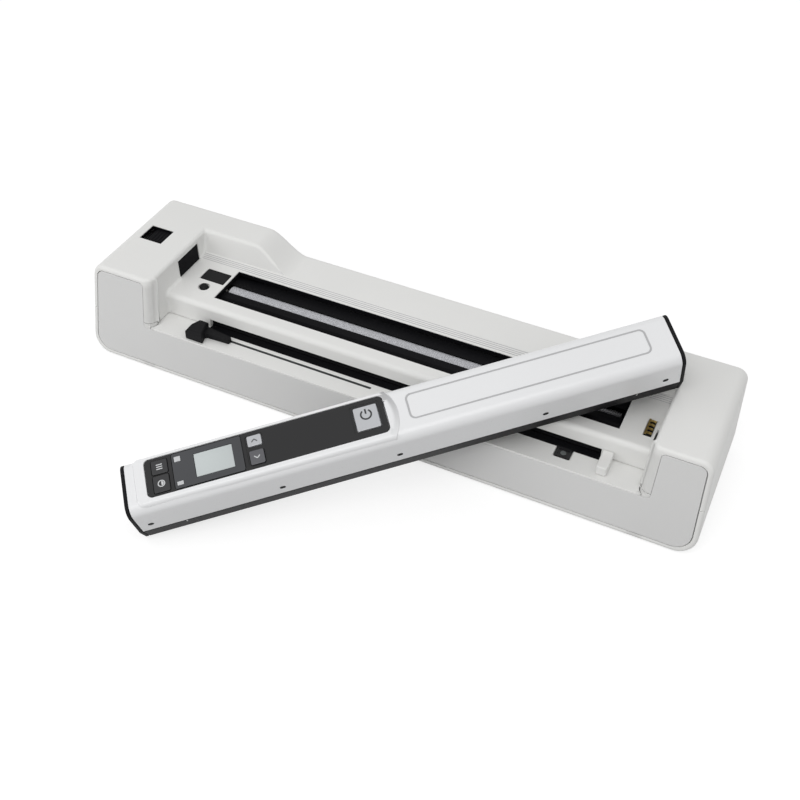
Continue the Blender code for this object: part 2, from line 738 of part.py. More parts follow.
def low_wall(name, grow):
    """The space over the low middle of the rear wall, with an S curve down from each tower."""
    left = LEFT_FACE_X + RAISED_WALL_LENGTH - grow
    right = RIGHT_FACE_X - RAISED_WALL_LENGTH + grow
    top = TOWER_HEIGHT - grow
    fall = TOWER_HEIGHT - REAR_WALL_HEIGHT
    curve = []
    for i in range(RAISED_SLOPE_STEPS + 1):
        share = i / RAISED_SLOPE_STEPS
        eased = share * share * (3 - 2 * share)
        curve.append((share * RAISED_SLOPE_LENGTH, top - fall * eased))
    high = TOWER_HEIGHT + OVERRUN
    outline = [(left, high)] + [(left + run, height) for run, height in curve]
    outline += [(right - run, height) for run, height in reversed(curve)] + [(right, high)]
    front = RIDGE_Y if grow else TROUGH_BACK_Y
    return slab(name, outline, front, DOCK_BACK_Y + OVERRUN, "XZ")


def mouth_outline(inset, reach, sweep):
    """The ledge seen from above, widened at its front by a sweep of the towers' rounded corners."""
    left = LEFT_FACE_X + draft_at(LEDGE_HEIGHT) + inset
    right = RIGHT_FACE_X - draft_at(LEDGE_HEIGHT) - inset
    radius = TOWER_CORNER_RADIUS
    corner_y = LEDGE_FRONT_Y + radius
    front_y = LEDGE_FRONT_Y - reach
    left_arc = arc((left - radius, corner_y), radius, 0, -sweep, ARC_STEPS)
    right_arc = arc((right + radius, corner_y), radius, sweep - math.pi, -math.pi, ARC_STEPS)
    front = [(left_arc[-1][0], front_y), (right_arc[0][0], front_y)]
    return left_arc + front + right_arc


def mouth(name, low, sweep):
    """Cuts the ledge's front end free and rounds the towers' front inner corners."""
    back = RIDGE_Y - GAP
    outline = [(LEFT_FACE_X + draft_at(LEDGE_HEIGHT), back)]
    outline += mouth_outline(0, DOCK_DEPTH / 2, sweep)
    outline.append((RIGHT_FACE_X - draft_at(LEDGE_HEIGHT), back))
    item = slab(name, outline, low, TOWER_HEIGHT + OVERRUN, "XY")

    def move(co):
        rise = co.z - LEDGE_HEIGHT
        co.y += FRONT_LEAN * rise / TOWER_HEIGHT
        co.x += math.copysign(TOWER_DRAFT * rise, co.x)
        return co

    reshape(item, move)
    return item


def panel_outline(inset):
    """The front panel seen from the front, drawn in by inset."""
    rim = PANEL_RIM + inset
    outer = PANEL_CORNER_RADIUS - inset
    inner = PANEL_CORNER_RADIUS + inset
    bottom = FOOT_PROUD + rim
    top = TOWER_HEIGHT - rim
    ledge = LEDGE_HEIGHT - PANEL_LEDGE_RIM - inset
    left = LEFT_FACE_X - TOWER_CORNER_RADIUS - PANEL_TOWER_RIM - inset
    right = RIGHT_FACE_X + TOWER_CORNER_RADIUS + PANEL_TOWER_RIM + inset
    corners = [
        (-half_length_at(bottom) + rim, bottom, PANEL_BOTTOM_RADIUS - inset),
        (half_length_at(bottom) - rim, bottom, PANEL_BOTTOM_RADIUS - inset),
        (half_length_at(top) - rim, top, PANEL_TOP_RADIUS - inset),
        (right, top, outer),
        (right, ledge, inner),
        (left, ledge, inner),
        (left, top, outer),
        (-half_length_at(top) + rim, top, PANEL_TOP_RADIUS - inset),
    ]
    return rounded(corners)


def panel_recess(name):
    return follow_front(slab(name, panel_outline(0), -OVERRUN, PANEL_THICKNESS + GAP, "XZ"))


def boss_places():
    left = -DOCK_LENGTH / 2 + BOSS_INSET_X
    right = DOCK_LENGTH / 2 - BOSS_INSET_X
    front = front_at(TOWER_HEIGHT) + BOSS_INSET_Y
    back = DOCK_BACK_Y - BOSS_INSET_Y
    return [(left, front), (right, front), (left, back), (right, back)]


def foot_places():
    side = DOCK_LENGTH / 2 - FOOT_INSET_X
    front = -DOCK_DEPTH / 2 + FOOT_INSET_Y
    back = DOCK_BACK_Y - FOOT_INSET_Y
    return [(-side, front), (side, front), (-side, back), (side, back)]


# The upper housing and the cuts in it

def upper_space():
    space = dock_space("upper space")
    return cut(space, cradle("cradle walls", WALL), low_wall("low wall walls", WALL))


def skirt_trim():
    """Trims the upper housing's edge up to the seam, except the walls that stand behind the ledge."""
    trim = whole_box("seam trim", LEDGE_BOTTOM - OVERRUN, SEAM_HEIGHT)
    kept = box(
        "walls behind the ledge",
        (LEFT_FACE_X - 2 * WALL, RIGHT_FACE_X + 2 * WALL),
        (front_at(SEAM_HEIGHT) + FRONT_WALL + GAP, RIDGE_Y + 2 * WALL),
        (LEDGE_BOTTOM - 2 * OVERRUN, SEAM_HEIGHT + OVERRUN),
    )
    return cut(trim, kept)


def release_opening_x():
    left = -DOCK_LENGTH / 2 + RELEASE_FROM_END
    return left, left + RELEASE_OPENING_LENGTH


def release_opening_y():
    back = DOCK_BACK_Y - RELEASE_FROM_BACK
    return back - RELEASE_OPENING_DEPTH, back


def window_y():
    back = DOCK_BACK_Y - RELEASE_WINDOW_FROM_BACK
    return back - RELEASE_WINDOW_DEPTH, back


def release_cuts():
    window = box(
        "release window",
        (LEFT_FACE_X - 2 * WALL, LEFT_FACE_X + 2 * WALL),
        window_y(),
        (RELEASE_WINDOW_BOTTOM, RELEASE_WINDOW_TOP),
    )
    opening = box(
        "release opening",
        release_opening_x(),
        release_opening_y(),
        (TOWER_HEIGHT - 2 * WALL, TOWER_HEIGHT + OVERRUN),
    )
    return window, opening


def paper_cuts():
    high = LEDGE_HEIGHT + SLOT_HEIGHT
    slot = box(
        "paper slot",
        (SLOT_LEFT_X, SLOT_RIGHT_X),
        (RIDGE_Y - OVERRUN, RIDGE_Y + WALL + OVERRUN),
        (LEDGE_BOTTOM, high),
    )
    way_out = box(
        "paper exit",
        (SLOT_LEFT_X, SLOT_RIGHT_X),
        (DOCK_BACK_Y - WALL - OVERRUN, DOCK_BACK_Y + OVERRUN),
        (EXIT_FLOOR, EXIT_FLOOR + EXIT_HEIGHT),
    )
    trough = box(
        "trough opening",
        (TROUGH_LEFT_X, TROUGH_RIGHT_X),
        (TROUGH_FRONT_Y, TROUGH_BACK_Y),
        (DECK_UNDERSIDE - OVERRUN, DECK_HEIGHT + OVERRUN),
    )
    return slot, way_out, trough


def deck_height_pocket(name, x, y, depth):
    return box(name, x, y, (DECK_HEIGHT - depth, DECK_HEIGHT + OVERRUN))


def contact_x():
    right = RIGHT_FACE_X - CONTACT_MARGIN
    return right - CONTACT_WIDTH, right


def contact_y():
    front = TROUGH_FRONT_Y + CONTACT_FROM_RIDGE
    return front, front + CONTACT_LENGTH


def grown(pair, by):
    return pair[0] - by, pair[1] + by


def pad_x():
    left = LEFT_FACE_X + PAD_MARGIN
    return left, left + PAD_LENGTH


def pad_y():
    front = TROUGH_FRONT_Y + PAD_FROM_RIDGE
    return front, front + PAD_DEPTH


def peg_centre(height):
    return LEFT_FACE_X + PEG_MARGIN, TROUGH_FRONT_Y + PEG_FROM_RIDGE, height


def deck_cuts():
    contacts = deck_height_pocket(
        "contact pocket", grown(contact_x(), GAP), grown(contact_y(), GAP), CONTACT_POCKET
    )
    pad = deck_height_pocket("pad pocket", grown(pad_x(), GAP), grown(pad_y(), GAP), PAD_POCKET)
    peg = rod("peg pocket", PEG_RADIUS + GAP, peg_centre(DECK_HEIGHT - PEG_POCKET), OVERRUN, "Z")
    right = RIGHT_FACE_X - DECK_SLOT_MARGIN
    slot = deck_height_pocket(
        "deck slot",
        (right - DECK_SLOT_WIDTH, right),
        (TROUGH_FRONT_Y, TROUGH_FRONT_Y + DECK_SLOT_LENGTH),
        WALL + OVERRUN,
    )
    return contacts, pad, peg, slot


def make_upper_housing(frame):
    housing = dock_block("upper_housing")
    cut(housing, whole_box("under the upper housing", -OVERRUN, LEDGE_HEIGHT + GAP), skirt_trim())
    cut(housing, cradle("cradle", 0), mouth("tower corners", LEDGE_BOTTOM - OVERRUN, math.pi / 2))
    cut(housing, low_wall("low wall", 0), upper_space(), panel_recess("upper panel recess"))
    cut(housing, *paper_cuts(), *release_cuts(), *deck_cuts())
    top = TOWER_HEIGHT - WALL + OVERLAP
    start = BOSS_SPLIT + GAP
    for i, (x, y) in enumerate(boss_places()):
        boss = rod(f"upper boss {i}", BOSS_RADIUS, (x, y, start), top - start, "Z", SMALL_ROUND_STEPS)
        join(housing, boss)
    for i, (x, y) in enumerate(boss_places()):
        depth = FOOT_PROUD + SCREW_SINK + SCREW_HEAD_HEIGHT + SCREW_LENGTH + GAP
        bore = (x, y, start - OVERRUN)
        length = depth - start + OVERRUN
        cut(housing, rod(f"pilot {i}", SCREW_RADIUS + GAP, bore, length, "Z", SMALL_ROUND_STEPS))
    return finish(housing, frame, WHITE_PLASTIC)


# The lower housing

def usb_y():
    return DOCK_BACK_Y - USB_DEPTH, DOCK_BACK_Y - GAP


def usb_z():
    low = BOARD_BOTTOM + BOARD_THICKNESS + GAP
    return low, low + USB_HEIGHT


def usb_x():
    return USB_X - USB_WIDTH / 2, USB_X + USB_WIDTH / 2


def board_x():
    return BOARD_CENTRE_X - BOARD_LENGTH / 2, BOARD_CENTRE_X + BOARD_LENGTH / 2


def rib_top():
    return ROLLER_Z - ROLLER_RADIUS - CHUTE_WELL_GAP - CHUTE_THICKNESS - GAP


def lower_supports():
    """Bosses, board standoffs and the two ribs under the chute, each sunk into the floor."""
    start = DOCK_FLOOR - OVERLAP
    made = []
    for i, (x, y) in enumerate(boss_places()):
        made.append(
            rod(f"lower boss {i}", BOSS_RADIUS, (x, y, start), BOSS_SPLIT - start, "Z", SMALL_ROUND_STEPS)
        )
    left, right = board_x()
    back = BOARD_BACK_Y - STANDOFF_INSET
    front = BOARD_BACK_Y - BOARD_DEPTH + STANDOFF_INSET
    height = STANDOFF_HEIGHT + OVERLAP
    for i, x in enumerate((left + STANDOFF_INSET, right - STANDOFF_INSET)):
        for j, y in enumerate((front, back)):
            name = f"standoff {i} {j}"
            made.append(rod(name, STANDOFF_RADIUS, (x, y, start), height, "Z", SMALL_ROUND_STEPS))
    for i, share in enumerate(RIB_PLACES_SHARE):
        x = share * (TROUGH_RIGHT_X - TROUGH_LEFT_X)
        across = (ROLLER_Y - RIB_HALF_WIDTH, ROLLER_Y + RIB_HALF_WIDTH)
        made.append(box(f"chute rib {i}", (x, x + RIB_THICKNESS), across, (start, rib_top())))
    return made


def lower_holes():
    made = []
    head = FOOT_PROUD + SCREW_SINK + SCREW_HEAD_HEIGHT + GAP
    for i, (x, y) in enumerate(boss_places()):
        bottom = (x, y, FOOT_PROUD - OVERRUN)
        bore = BOSS_SPLIT + 2 * OVERRUN
        made.append(rod(f"bore {i}", SCREW_RADIUS + GAP, bottom, bore, "Z", SMALL_ROUND_STEPS))
        sink = head - FOOT_PROUD + OVERRUN
        made.append(rod(f"sink {i}", SCREW_HEAD_RADIUS + GAP, bottom, sink, "Z", SMALL_ROUND_STEPS))
    for i, (x, y) in enumerate(foot_places()):
        bottom = (x, y, -OVERRUN)
        depth = FOOT_THICKNESS + GAP + OVERRUN
        made.append(rod(f"foot recess {i}", FOOT_RADIUS + GAP, bottom, depth, "Z"))
    wall = (DOCK_BACK_Y - WALL - OVERRUN, DOCK_BACK_Y + OVERRUN)
    made.append(box("usb opening", grown(usb_x(), GAP), wall, grown(usb_z(), GAP)))
    return made


def make_lower_housing(frame):
    housing = dock_block("lower_housing")
    cut(housing, whole_box("over the lower housing", SEAM_HEIGHT - GAP, TOWER_HEIGHT + OVERRUN))
    ledge_cut = mouth("ledge cut", LEDGE_BOTTOM - GAP, LEDGE_CORNER_SWEEP)
    cut(housing, ledge_cut, panel_recess("lower panel recess"), dock_space("lower space"))
    join(housing, *lower_supports())
    cut(housing, *lower_holes())
    return finish(housing, frame, WHITE_PLASTIC)


# Front panel, ledge and guides

def make_front_panel(frame):
    panel = slab("front_panel", panel_outline(PANEL_GROOVE), 0, PANEL_THICKNESS, "XZ")
    return finish(follow_front(panel), frame, GREY_PLASTIC)


def sensor_x():
    left = RIGHT_FACE_X - SENSOR_MARGIN - SENSOR_WIDTH
    return left, left + SENSOR_WIDTH


def sensor_y():
    front = LEDGE_FRONT_Y + SENSOR_FRONT
    return front, front + SENSOR_DEPTH


def guide_slot_x():
    left = GUIDE_STEM_X - GUIDE_STEM_DEPTH / 2 - GAP
    return left, LEFT_FACE_X + GUIDE_SLOT_END


def make_paper_ledge(frame):
    wall_y = front_at(SEAM_HEIGHT) + FRONT_WALL + GAP
    back = RIDGE_Y + WALL - GAP
    ear = WALL - GAP
    left = LEFT_FACE_X + draft_at(LEDGE_HEIGHT) + GAP
    right = RIGHT_FACE_X - draft_at(LEDGE_HEIGHT) - GAP
    outline = [(left - ear, back), (left - ear, wall_y + ear), (left, wall_y)]
    outline += mouth_outline(GAP, 0, LEDGE_CORNER_SWEEP)
    outline += [(right, wall_y), (right + ear, wall_y + ear), (right + ear, back)]
    ledge = slab("paper_ledge", outline, LEDGE_BOTTOM, LEDGE_HEIGHT, "XY")

    def lean(co):
        if co.y < wall_y - GAP / 2:
            co.y += FRONT_LEAN * (co.z - LEDGE_HEIGHT) / TOWER_HEIGHT
        return co

    reshape(ledge, lean)
    slot = box(
        "guide slot",
        guide_slot_x(),
        (GUIDE_LINE_Y - GUIDE_SLOT_WIDTH / 2, GUIDE_LINE_Y + GUIDE_SLOT_WIDTH / 2),
        (LEDGE_BOTTOM - OVERRUN, LEDGE_HEIGHT + OVERRUN),
    )
    pocket = box(
        "sensor pocket",
        grown(sensor_x(), GAP),
        grown(sensor_y(), GAP),
        (LEDGE_HEIGHT - SENSOR_POCKET, LEDGE_HEIGHT + OVERRUN),
    )
    cut(ledge, panel_recess("ledge panel recess"), slot, pocket)
    return finish(ledge, frame, WHITE_PLASTIC)


def make_sensor_window(frame):
    low = LEDGE_HEIGHT - SENSOR_POCKET + GAP
    window = box("sensor_window", sensor_x(), sensor_y(), (low, LEDGE_HEIGHT + SENSOR_PROUD))
    return finish(window, frame, GLOSS_BLACK)


def make_right_guide(frame):
    right = RIGHT_FACE_X - RIGHT_GUIDE_MARGIN
    front = LEDGE_FRONT_Y + RIGHT_GUIDE_FRONT
    low = LEDGE_HEIGHT + GAP
    outline = rounded(
        rectangle((right - RIGHT_GUIDE_WIDTH, right), (front, front + RIGHT_GUIDE_DEPTH), EDGE_RADIUS)
    )
    guide = slab("right_guide", outline, low, low + RIGHT_GUIDE_HEIGHT, "XY")
    return finish(guide, frame, WHITE_PLASTIC)


def make_left_guide(frame):
    """A low arm and a taller head, and the stem that runs in the ledge's slot."""
    x = GUIDE_LEFT_X
    front = GUIDE_LINE_Y - GUIDE_FRONT_DEPTH
    back = GUIDE_LINE_Y + GUIDE_BACK_DEPTH
    middle = (front + back) / 2
    low = LEDGE_HEIGHT + GAP
    back_left, back_right = (x + GUIDE_LENGTH * share for share in GUIDE_BACK_SHARES)
    head_outline = [
        (x, front, EDGE_RADIUS),
        (x + GUIDE_LENGTH, front, EDGE_RADIUS / 2),
        (back_right, back, EDGE_RADIUS / 2),
        (back_left, back, EDGE_RADIUS),
        (x, middle, EDGE_RADIUS),
    ]
    head = slab("left_guide", rounded(head_outline), low, low + GUIDE_HEIGHT, "XY")
    arm_end = x + GUIDE_LENGTH + GUIDE_ARM_LENGTH
    arm_outline = [
        (x + GUIDE_LENGTH / 2, front + EDGE_RADIUS),
        (x + GUIDE_LENGTH, middle - EDGE_RADIUS),
        (arm_end, GUIDE_LINE_Y - GUIDE_BACK_DEPTH),
        (arm_end, GUIDE_LINE_Y),
        (x + GUIDE_LENGTH / 2, back - EDGE_RADIUS / 2),
    ]
    arm = slab("guide arm", arm_outline, low, low + GUIDE_ARM_HEIGHT, "XY")
    half = GUIDE_SLOT_WIDTH / 2 - GAP
    stem = box(
        "guide stem",
        (GUIDE_STEM_X - GUIDE_STEM_DEPTH / 2, GUIDE_STEM_X + GUIDE_STEM_DEPTH / 2),
        (GUIDE_LINE_Y - half, GUIDE_LINE_Y + half),
        (LEDGE_BOTTOM - GUIDE_STEM_DEPTH, low + OVERLAP),
    )
    foot = box(
        "guide foot",
        (GUIDE_STEM_X - GUIDE_STEM_DEPTH, GUIDE_STEM_X + GUIDE_STEM_DEPTH),
        (GUIDE_LINE_Y - GUIDE_SLOT_WIDTH, GUIDE_LINE_Y + GUIDE_SLOT_WIDTH),
        (LEDGE_BOTTOM - GUIDE_STEM_DEPTH, LEDGE_BOTTOM - GAP),
    )
    join(head, arm, stem, foot)
    return finish(head, frame, BLACK_PLASTIC, (GUIDE_STEM_X, GUIDE_LINE_Y, LEDGE_HEIGHT))


# The chute, the feed roller and what carries it

def chute_outline():
    well = ROLLER_RADIUS + CHUTE_WELL_GAP
    plate = DECK_UNDERSIDE - ROLLER_DROP - CHUTE_DROP
    under = plate - CHUTE_THICKNESS
    outer = well + CHUTE_THICKNESS
    lip = math.acos((plate - ROLLER_Z) / well)
    throat = math.acos((under - ROLLER_Z) / outer)
    centre = (ROLLER_Y, ROLLER_Z)
    entry = (RIDGE_Y + WALL + GAP, LEDGE_HEIGHT - GAP)
    way_out = (DOCK_BACK_Y - WALL - GAP, EXIT_FLOOR)
    up = math.pi / 2
    outline = [entry, (ROLLER_Y - CHUTE_LAND, plate)]
    outline += arc(centre, well, up + lip, up - lip + 2 * math.pi, CHUTE_WELL_STEPS)
    outline += [(ROLLER_Y + CHUTE_LAND, plate), way_out, (way_out[0], way_out[1] - CHUTE_THICKNESS)]
    outline += [(ROLLER_Y + CHUTE_LAND, under)]
    outline += arc(centre, outer, up - throat, up + throat - 2 * math.pi, CHUTE_WELL_STEPS)
    outline += [(ROLLER_Y - CHUTE_LAND, under), (entry[0], entry[1] - CHUTE_THICKNESS)]
    return outline


def make_paper_chute(frame):
    chute = slab("paper_chute", chute_outline(), CHUTE_LEFT_X, CHUTE_RIGHT_X, "YZ")
    return finish(chute, frame, BLACK_PLASTIC)


def make_feed_roller(frame):
    bore = ROLLER_RADIUS - ROLLER_BORE_WALL
    half = (ROLLER_RIGHT_X - ROLLER_LEFT_X) / 2
    profile = [(ROLLER_RADIUS, half), (ROLLER_RADIUS, -half), (bore, -half), (bore, half)]
    centre = ((ROLLER_LEFT_X + ROLLER_RIGHT_X) / 2, ROLLER_Y, ROLLER_Z)
    roller = turned("feed_roller", profile, centre, closed=True, steps=2 * SMALL_ROUND_STEPS)
    return finish(roller, frame, GREY_RUBBER)


def make_roller_shaft(frame):
    """The shaft, with a grooved collar at its right end and a journal in each bracket."""
    left = BRACKET_RIGHT_X - BRACKET_THICKNESS - JOURNAL_OUT
    right = GEAR_END_X + JOURNAL_OUT
    middle = (left + right) / 2
    collar_left = ROLLER_RIGHT_X + GAP
    collar_right = collar_left + COLLAR_LENGTH
    step = COLLAR_LENGTH / (2 * COLLAR_GROOVES + 1)
    profile = [(0, right), (SHAFT_RADIUS, right), (SHAFT_RADIUS, collar_right)]
    for i in range(COLLAR_GROOVES):
        start = collar_right - 2 * i * step
        groove = COLLAR_RADIUS - COLLAR_GROOVE_DEPTH
        profile += [(COLLAR_RADIUS, start), (COLLAR_RADIUS, start - step)]
        profile += [(groove, start - step), (groove, start - 2 * step)]
    profile += [(COLLAR_RADIUS, collar_left + step), (COLLAR_RADIUS, collar_left)]
    profile += [(SHAFT_RADIUS, collar_left), (SHAFT_RADIUS, left), (0, left)]
    profile = [(radius, x - middle) for radius, x in profile]
    shaft = turned("roller_shaft", profile, (middle, ROLLER_Y, ROLLER_Z), steps=SMALL_ROUND_STEPS)
    return finish(shaft, frame, STEEL)


def bracket_z():
    return DOCK_FLOOR + GAP, DECK_UNDERSIDE - GAP


def bearing_hole(name, x):
    centre = (x - OVERRUN, ROLLER_Y, ROLLER_Z)
    return rod(name, BUSH_RADIUS + GAP, centre, BRACKET_THICKNESS + 2 * OVERRUN, "X")


def make_roller_bracket(frame):
    left = BRACKET_RIGHT_X - BRACKET_THICKNESS
    width = (ROLLER_Y - BRACKET_HALF_WIDTH, ROLLER_Y + BRACKET_HALF_WIDTH)
    bracket = box("roller_bracket", (left, BRACKET_RIGHT_X), width, bracket_z())
    cut(bracket, bearing_hole("left bearing hole", left))
    return finish(bracket, frame, BLACK_PLASTIC)


def make_drive_plate(frame):
    width = (ROLLER_Y - DRIVE_PLATE_FRONT, MOTOR_Y + DRIVE_PLATE_BACK)
    plate = box("drive_plate", (DRIVE_PLATE_X, DRIVE_PLATE_END_X), width, bracket_z())
    start = DRIVE_PLATE_X - OVERRUN
    through = BRACKET_THICKNESS + 2 * OVERRUN
    pin_hole = rod("idler pin hole", IDLER_PIN_RADIUS + GAP, (start, IDLER_Y, IDLER_Z), through, "X")
    motor_hole = rod("motor hole", MOTOR_BOSS_RADIUS + GAP, (start, MOTOR_Y, MOTOR_Z), through, "X")
    cut(plate, bearing_hole("right bearing hole", DRIVE_PLATE_X), pin_hole, motor_hole)
    return finish(plate, frame, STEEL)


def make_roller_bushes(frame):
    """A flanged bush in each bracket, its flange on the outer face."""
    bore = SHAFT_RADIUS + GAP
    half = BRACKET_THICKNESS / 2
    flange = half + BUSH_FLANGE
    wide = BUSH_RADIUS + GAP + BUSH_WALL
    right_profile = [
        (wide, flange + GAP),
        (wide, half + GAP),
        (BUSH_RADIUS, half + GAP),
        (BUSH_RADIUS, -half),
        (bore, -half),
        (bore, flange + GAP),
    ]
    left_profile = [(radius, -x) for radius, x in reversed(right_profile)]
    right_centre = (DRIVE_PLATE_X + half, ROLLER_Y, ROLLER_Z)
    left_centre = (BRACKET_RIGHT_X - half, ROLLER_Y, ROLLER_Z)
    for name, profile, centre in (
        ("roller_bush_right", right_profile, right_centre),
        ("roller_bush_left", left_profile, left_centre),
    ):
        bush = turned(name, profile, centre, closed=True, steps=SMALL_ROUND_STEPS)
        finish(bush, frame, NYLON)


# The gear train and the motor

def gear_outline(centre, teeth, first_angle):
    """A spur gear with straight-sided stub teeth, one of them centred on first_angle."""
    pitch_radius = GEAR_MODULE * teeth / 2
    tip = pitch_radius + ADDENDUM_SHARE * GEAR_MODULE
    root = pitch_radius - DEDENDUM_SHARE * GEAR_MODULE
    pitch = 2 * math.pi / teeth
    points = []
    for i in range(teeth):
        middle = first_angle + i * pitch
        for radius, share in (
            (root, -TOOTH_ROOT_SHARE),
            (tip, -TOOTH_TIP_SHARE),
            (tip, TOOTH_TIP_SHARE),
            (root, TOOTH_ROOT_SHARE),
        ):
            angle = middle + share * pitch
            points.append((centre[0] + radius * math.cos(angle), centre[1] + radius * math.sin(angle)))
    return points


def make_gear(name, centre, teeth, first_angle, bore):
    gear = slab(name, gear_outline(centre, teeth, first_angle), GEAR_X, GEAR_END_X, "YZ")
    start = (GEAR_X - OVERRUN, *centre)
    through = GEAR_WIDTH + 2 * OVERRUN
    if bore:
        cut(gear, rod(f"{name} bore", bore + GAP, start, through, "X", SMALL_ROUND_STEPS))
    return gear, ((GEAR_X + GEAR_END_X) / 2, *centre)


def make_gears(frame):
    facing_back = GEAR_LINE_ANGLE + math.pi
    idler_pitch = 2 * math.pi / IDLER_TEETH
    pinion_pitch = 2 * math.pi / PINION_TEETH
    gear, centre = make_gear(
        "roller_gear", (ROLLER_Y, ROLLER_Z), ROLLER_GEAR_TEETH, GEAR_LINE_ANGLE, SHAFT_RADIUS
    )
    finish(gear, frame, NYLON, centre)
    first_angle = facing_back + idler_pitch / 2
    gear, centre = make_gear(
        "idler_gear", (IDLER_Y, IDLER_Z), IDLER_TEETH, first_angle, IDLER_PIN_RADIUS
    )
    finish(gear, frame, NYLON, centre)
    first_angle = facing_back + pinion_pitch / 2
    gear, centre = make_gear("motor_pinion", (MOTOR_Y, MOTOR_Z), PINION_TEETH, first_angle, 0)
    start = (DRIVE_PLATE_X - MOTOR_SHAFT_DEPTH, MOTOR_Y, MOTOR_Z)
    length = GEAR_X + OVERLAP - start[0]
    join(gear, rod("pinion shaft", MOTOR_SHAFT_RADIUS, start, length, "X", SMALL_ROUND_STEPS))
    finish(gear, frame, STEEL, centre)


def make_idler_pin(frame):
    """Head on the motor side of the drive plate, shank through plate and idler."""
    head_left = DRIVE_PLATE_X - GAP - IDLER_PIN_HEAD
    right = GEAR_END_X + JOURNAL_OUT
    profile = [
        (0, right),
        (IDLER_PIN_RADIUS, right),
        (IDLER_PIN_RADIUS, DRIVE_PLATE_X - GAP),
        (IDLER_PIN_HEAD_RADIUS, DRIVE_PLATE_X - GAP),
        (IDLER_PIN_HEAD_RADIUS, head_left),
        (0, head_left),
    ]
    profile = [(radius, x - DRIVE_PLATE_X) for radius, x in profile]
    pin = turned("idler_pin", profile, (DRIVE_PLATE_X, IDLER_Y, IDLER_Z), steps=SMALL_ROUND_STEPS)
    return finish(pin, frame, STEEL)


def make_motor(frame):
    right = DRIVE_PLATE_X - GAP
    motor = rod("motor", MOTOR_RADIUS, (right - MOTOR_LENGTH, MOTOR_Y, MOTOR_Z), MOTOR_LENGTH, "X")
    boss_end = DRIVE_PLATE_END_X - GAP
    start = (right - OVERLAP, MOTOR_Y, MOTOR_Z)
    boss = rod("motor boss", MOTOR_BOSS_RADIUS, start, boss_end - start[0], "X", SMALL_ROUND_STEPS)
    join(motor, boss)
    bore_start = (DRIVE_PLATE_X - MOTOR_SHAFT_DEPTH - GAP, MOTOR_Y, MOTOR_Z)
    bore_length = boss_end - bore_start[0] + OVERRUN
    bore = rod(
        "motor bore", MOTOR_SHAFT_RADIUS + GAP, bore_start, bore_length, "X", SMALL_ROUND_STEPS
    )
    cut(motor, bore)
    return finish(motor, frame, STEEL)


# Electronics of the dock

def make_main_board(frame):
    y = (BOARD_BACK_Y - BOARD_DEPTH, BOARD_BACK_Y)
    board = box("main_board", board_x(), y, (BOARD_BOTTOM, BOARD_BOTTOM + BOARD_THICKNESS))
    return finish(board, frame, BOARD_GREEN)


def make_usb_socket(name, frame, x, y, z):
    """A tin shell whose mouth is at its last y."""
    socket = box(name, x, y, z)
    inside = box(
        f"{name} inside",
        grown(x, -USB_SHELL),
        (y[0] + 2 * USB_SHELL, y[1] + OVERRUN),
        grown(z, -USB_SHELL),
    )
    cut(socket, inside)
    return finish(socket, frame, STEEL)


def make_contacts(frame):
    low = DECK_HEIGHT - CONTACT_POCKET + GAP
    block = box("contact_block", contact_x(), contact_y(), (low, DECK_HEIGHT))
    finish(block, frame, BLACK_PLASTIC)
    x = contact_x()
    y = contact_y()
    z = (DECK_HEIGHT + GAP, DECK_HEIGHT + GAP + CONTACT_THICKNESS)
    springs = box("contact_springs", (x[0], x[0] + CONTACT_BAR), grown(y, -GAP), z)
    pitch = (y[1] - y[0]) / CONTACT_COUNT
    for i in range(CONTACT_COUNT):
        finger = box(
            f"contact finger {i}",
            (x[0] + CONTACT_BAR / 2, x[1]),
            tuple(y[0] + (i + share) * pitch for share in FINGER_SHARES),
            grown(z, CONTACT_PROUD),
        )
        join(springs, finger)
    return finish(springs, frame, GOLD)


def make_deck_pieces(frame):
    low = DECK_HEIGHT - PAD_POCKET + GAP
    pad = box("cradle_pad", pad_x(), pad_y(), (low, low + PAD_THICKNESS))
    finish(pad, frame, GLOSS_BLACK)
    low = DECK_HEIGHT - PEG_POCKET + GAP
    peg = rod("locating_peg", PEG_RADIUS, peg_centre(low), PEG_HEIGHT, "Z")
    finish(peg, frame, BLACK_PLASTIC)


# Release, feet and screws

def make_release_slider(frame):
    """A pad in the tower's top opening, on a body whose nose fills the window."""
    x = release_opening_x()
    y = release_opening_y()
    ceiling = TOWER_HEIGHT - WALL - GAP
    body_low = ceiling - RELEASE_BODY_HEIGHT
    nose_y = grown(window_y(), -GAP)
    body_left = x[0] + RELEASE_TRAVEL - RELEASE_BODY_MARGIN
    body_right = LEFT_FACE_X - WALL - GAP
    body = box("release_slider", (body_left, body_right), nose_y, (body_low, ceiling))
    pad = box(
        "release pad",
        (x[0] + RELEASE_TRAVEL + GAP, x[1] - GAP),
        grown(y, -GAP),
        (ceiling - OVERLAP, TOWER_HEIGHT - PAD_SINK),
    )
    nose = box(
        "release nose",
        (body_right - WALL, LEFT_FACE_X - LATCH_SINK),
        nose_y,
        (RELEASE_WINDOW_BOTTOM + GAP, RELEASE_WINDOW_TOP - GAP),
    )
    join(body, pad, nose)
    origin = ((body_left + body_right) / 2, sum(nose_y) / 2, (body_low + ceiling) / 2)
    return finish(body, frame, BLACK_PLASTIC, origin)


def make_feet(frame):
    for i, (x, y) in enumerate(foot_places(), 1):
        foot = rod(f"rubber_foot_{i}", FOOT_RADIUS, (x, y, 0), FOOT_THICKNESS, "Z")
        finish(foot, frame, BLACK_RUBBER)


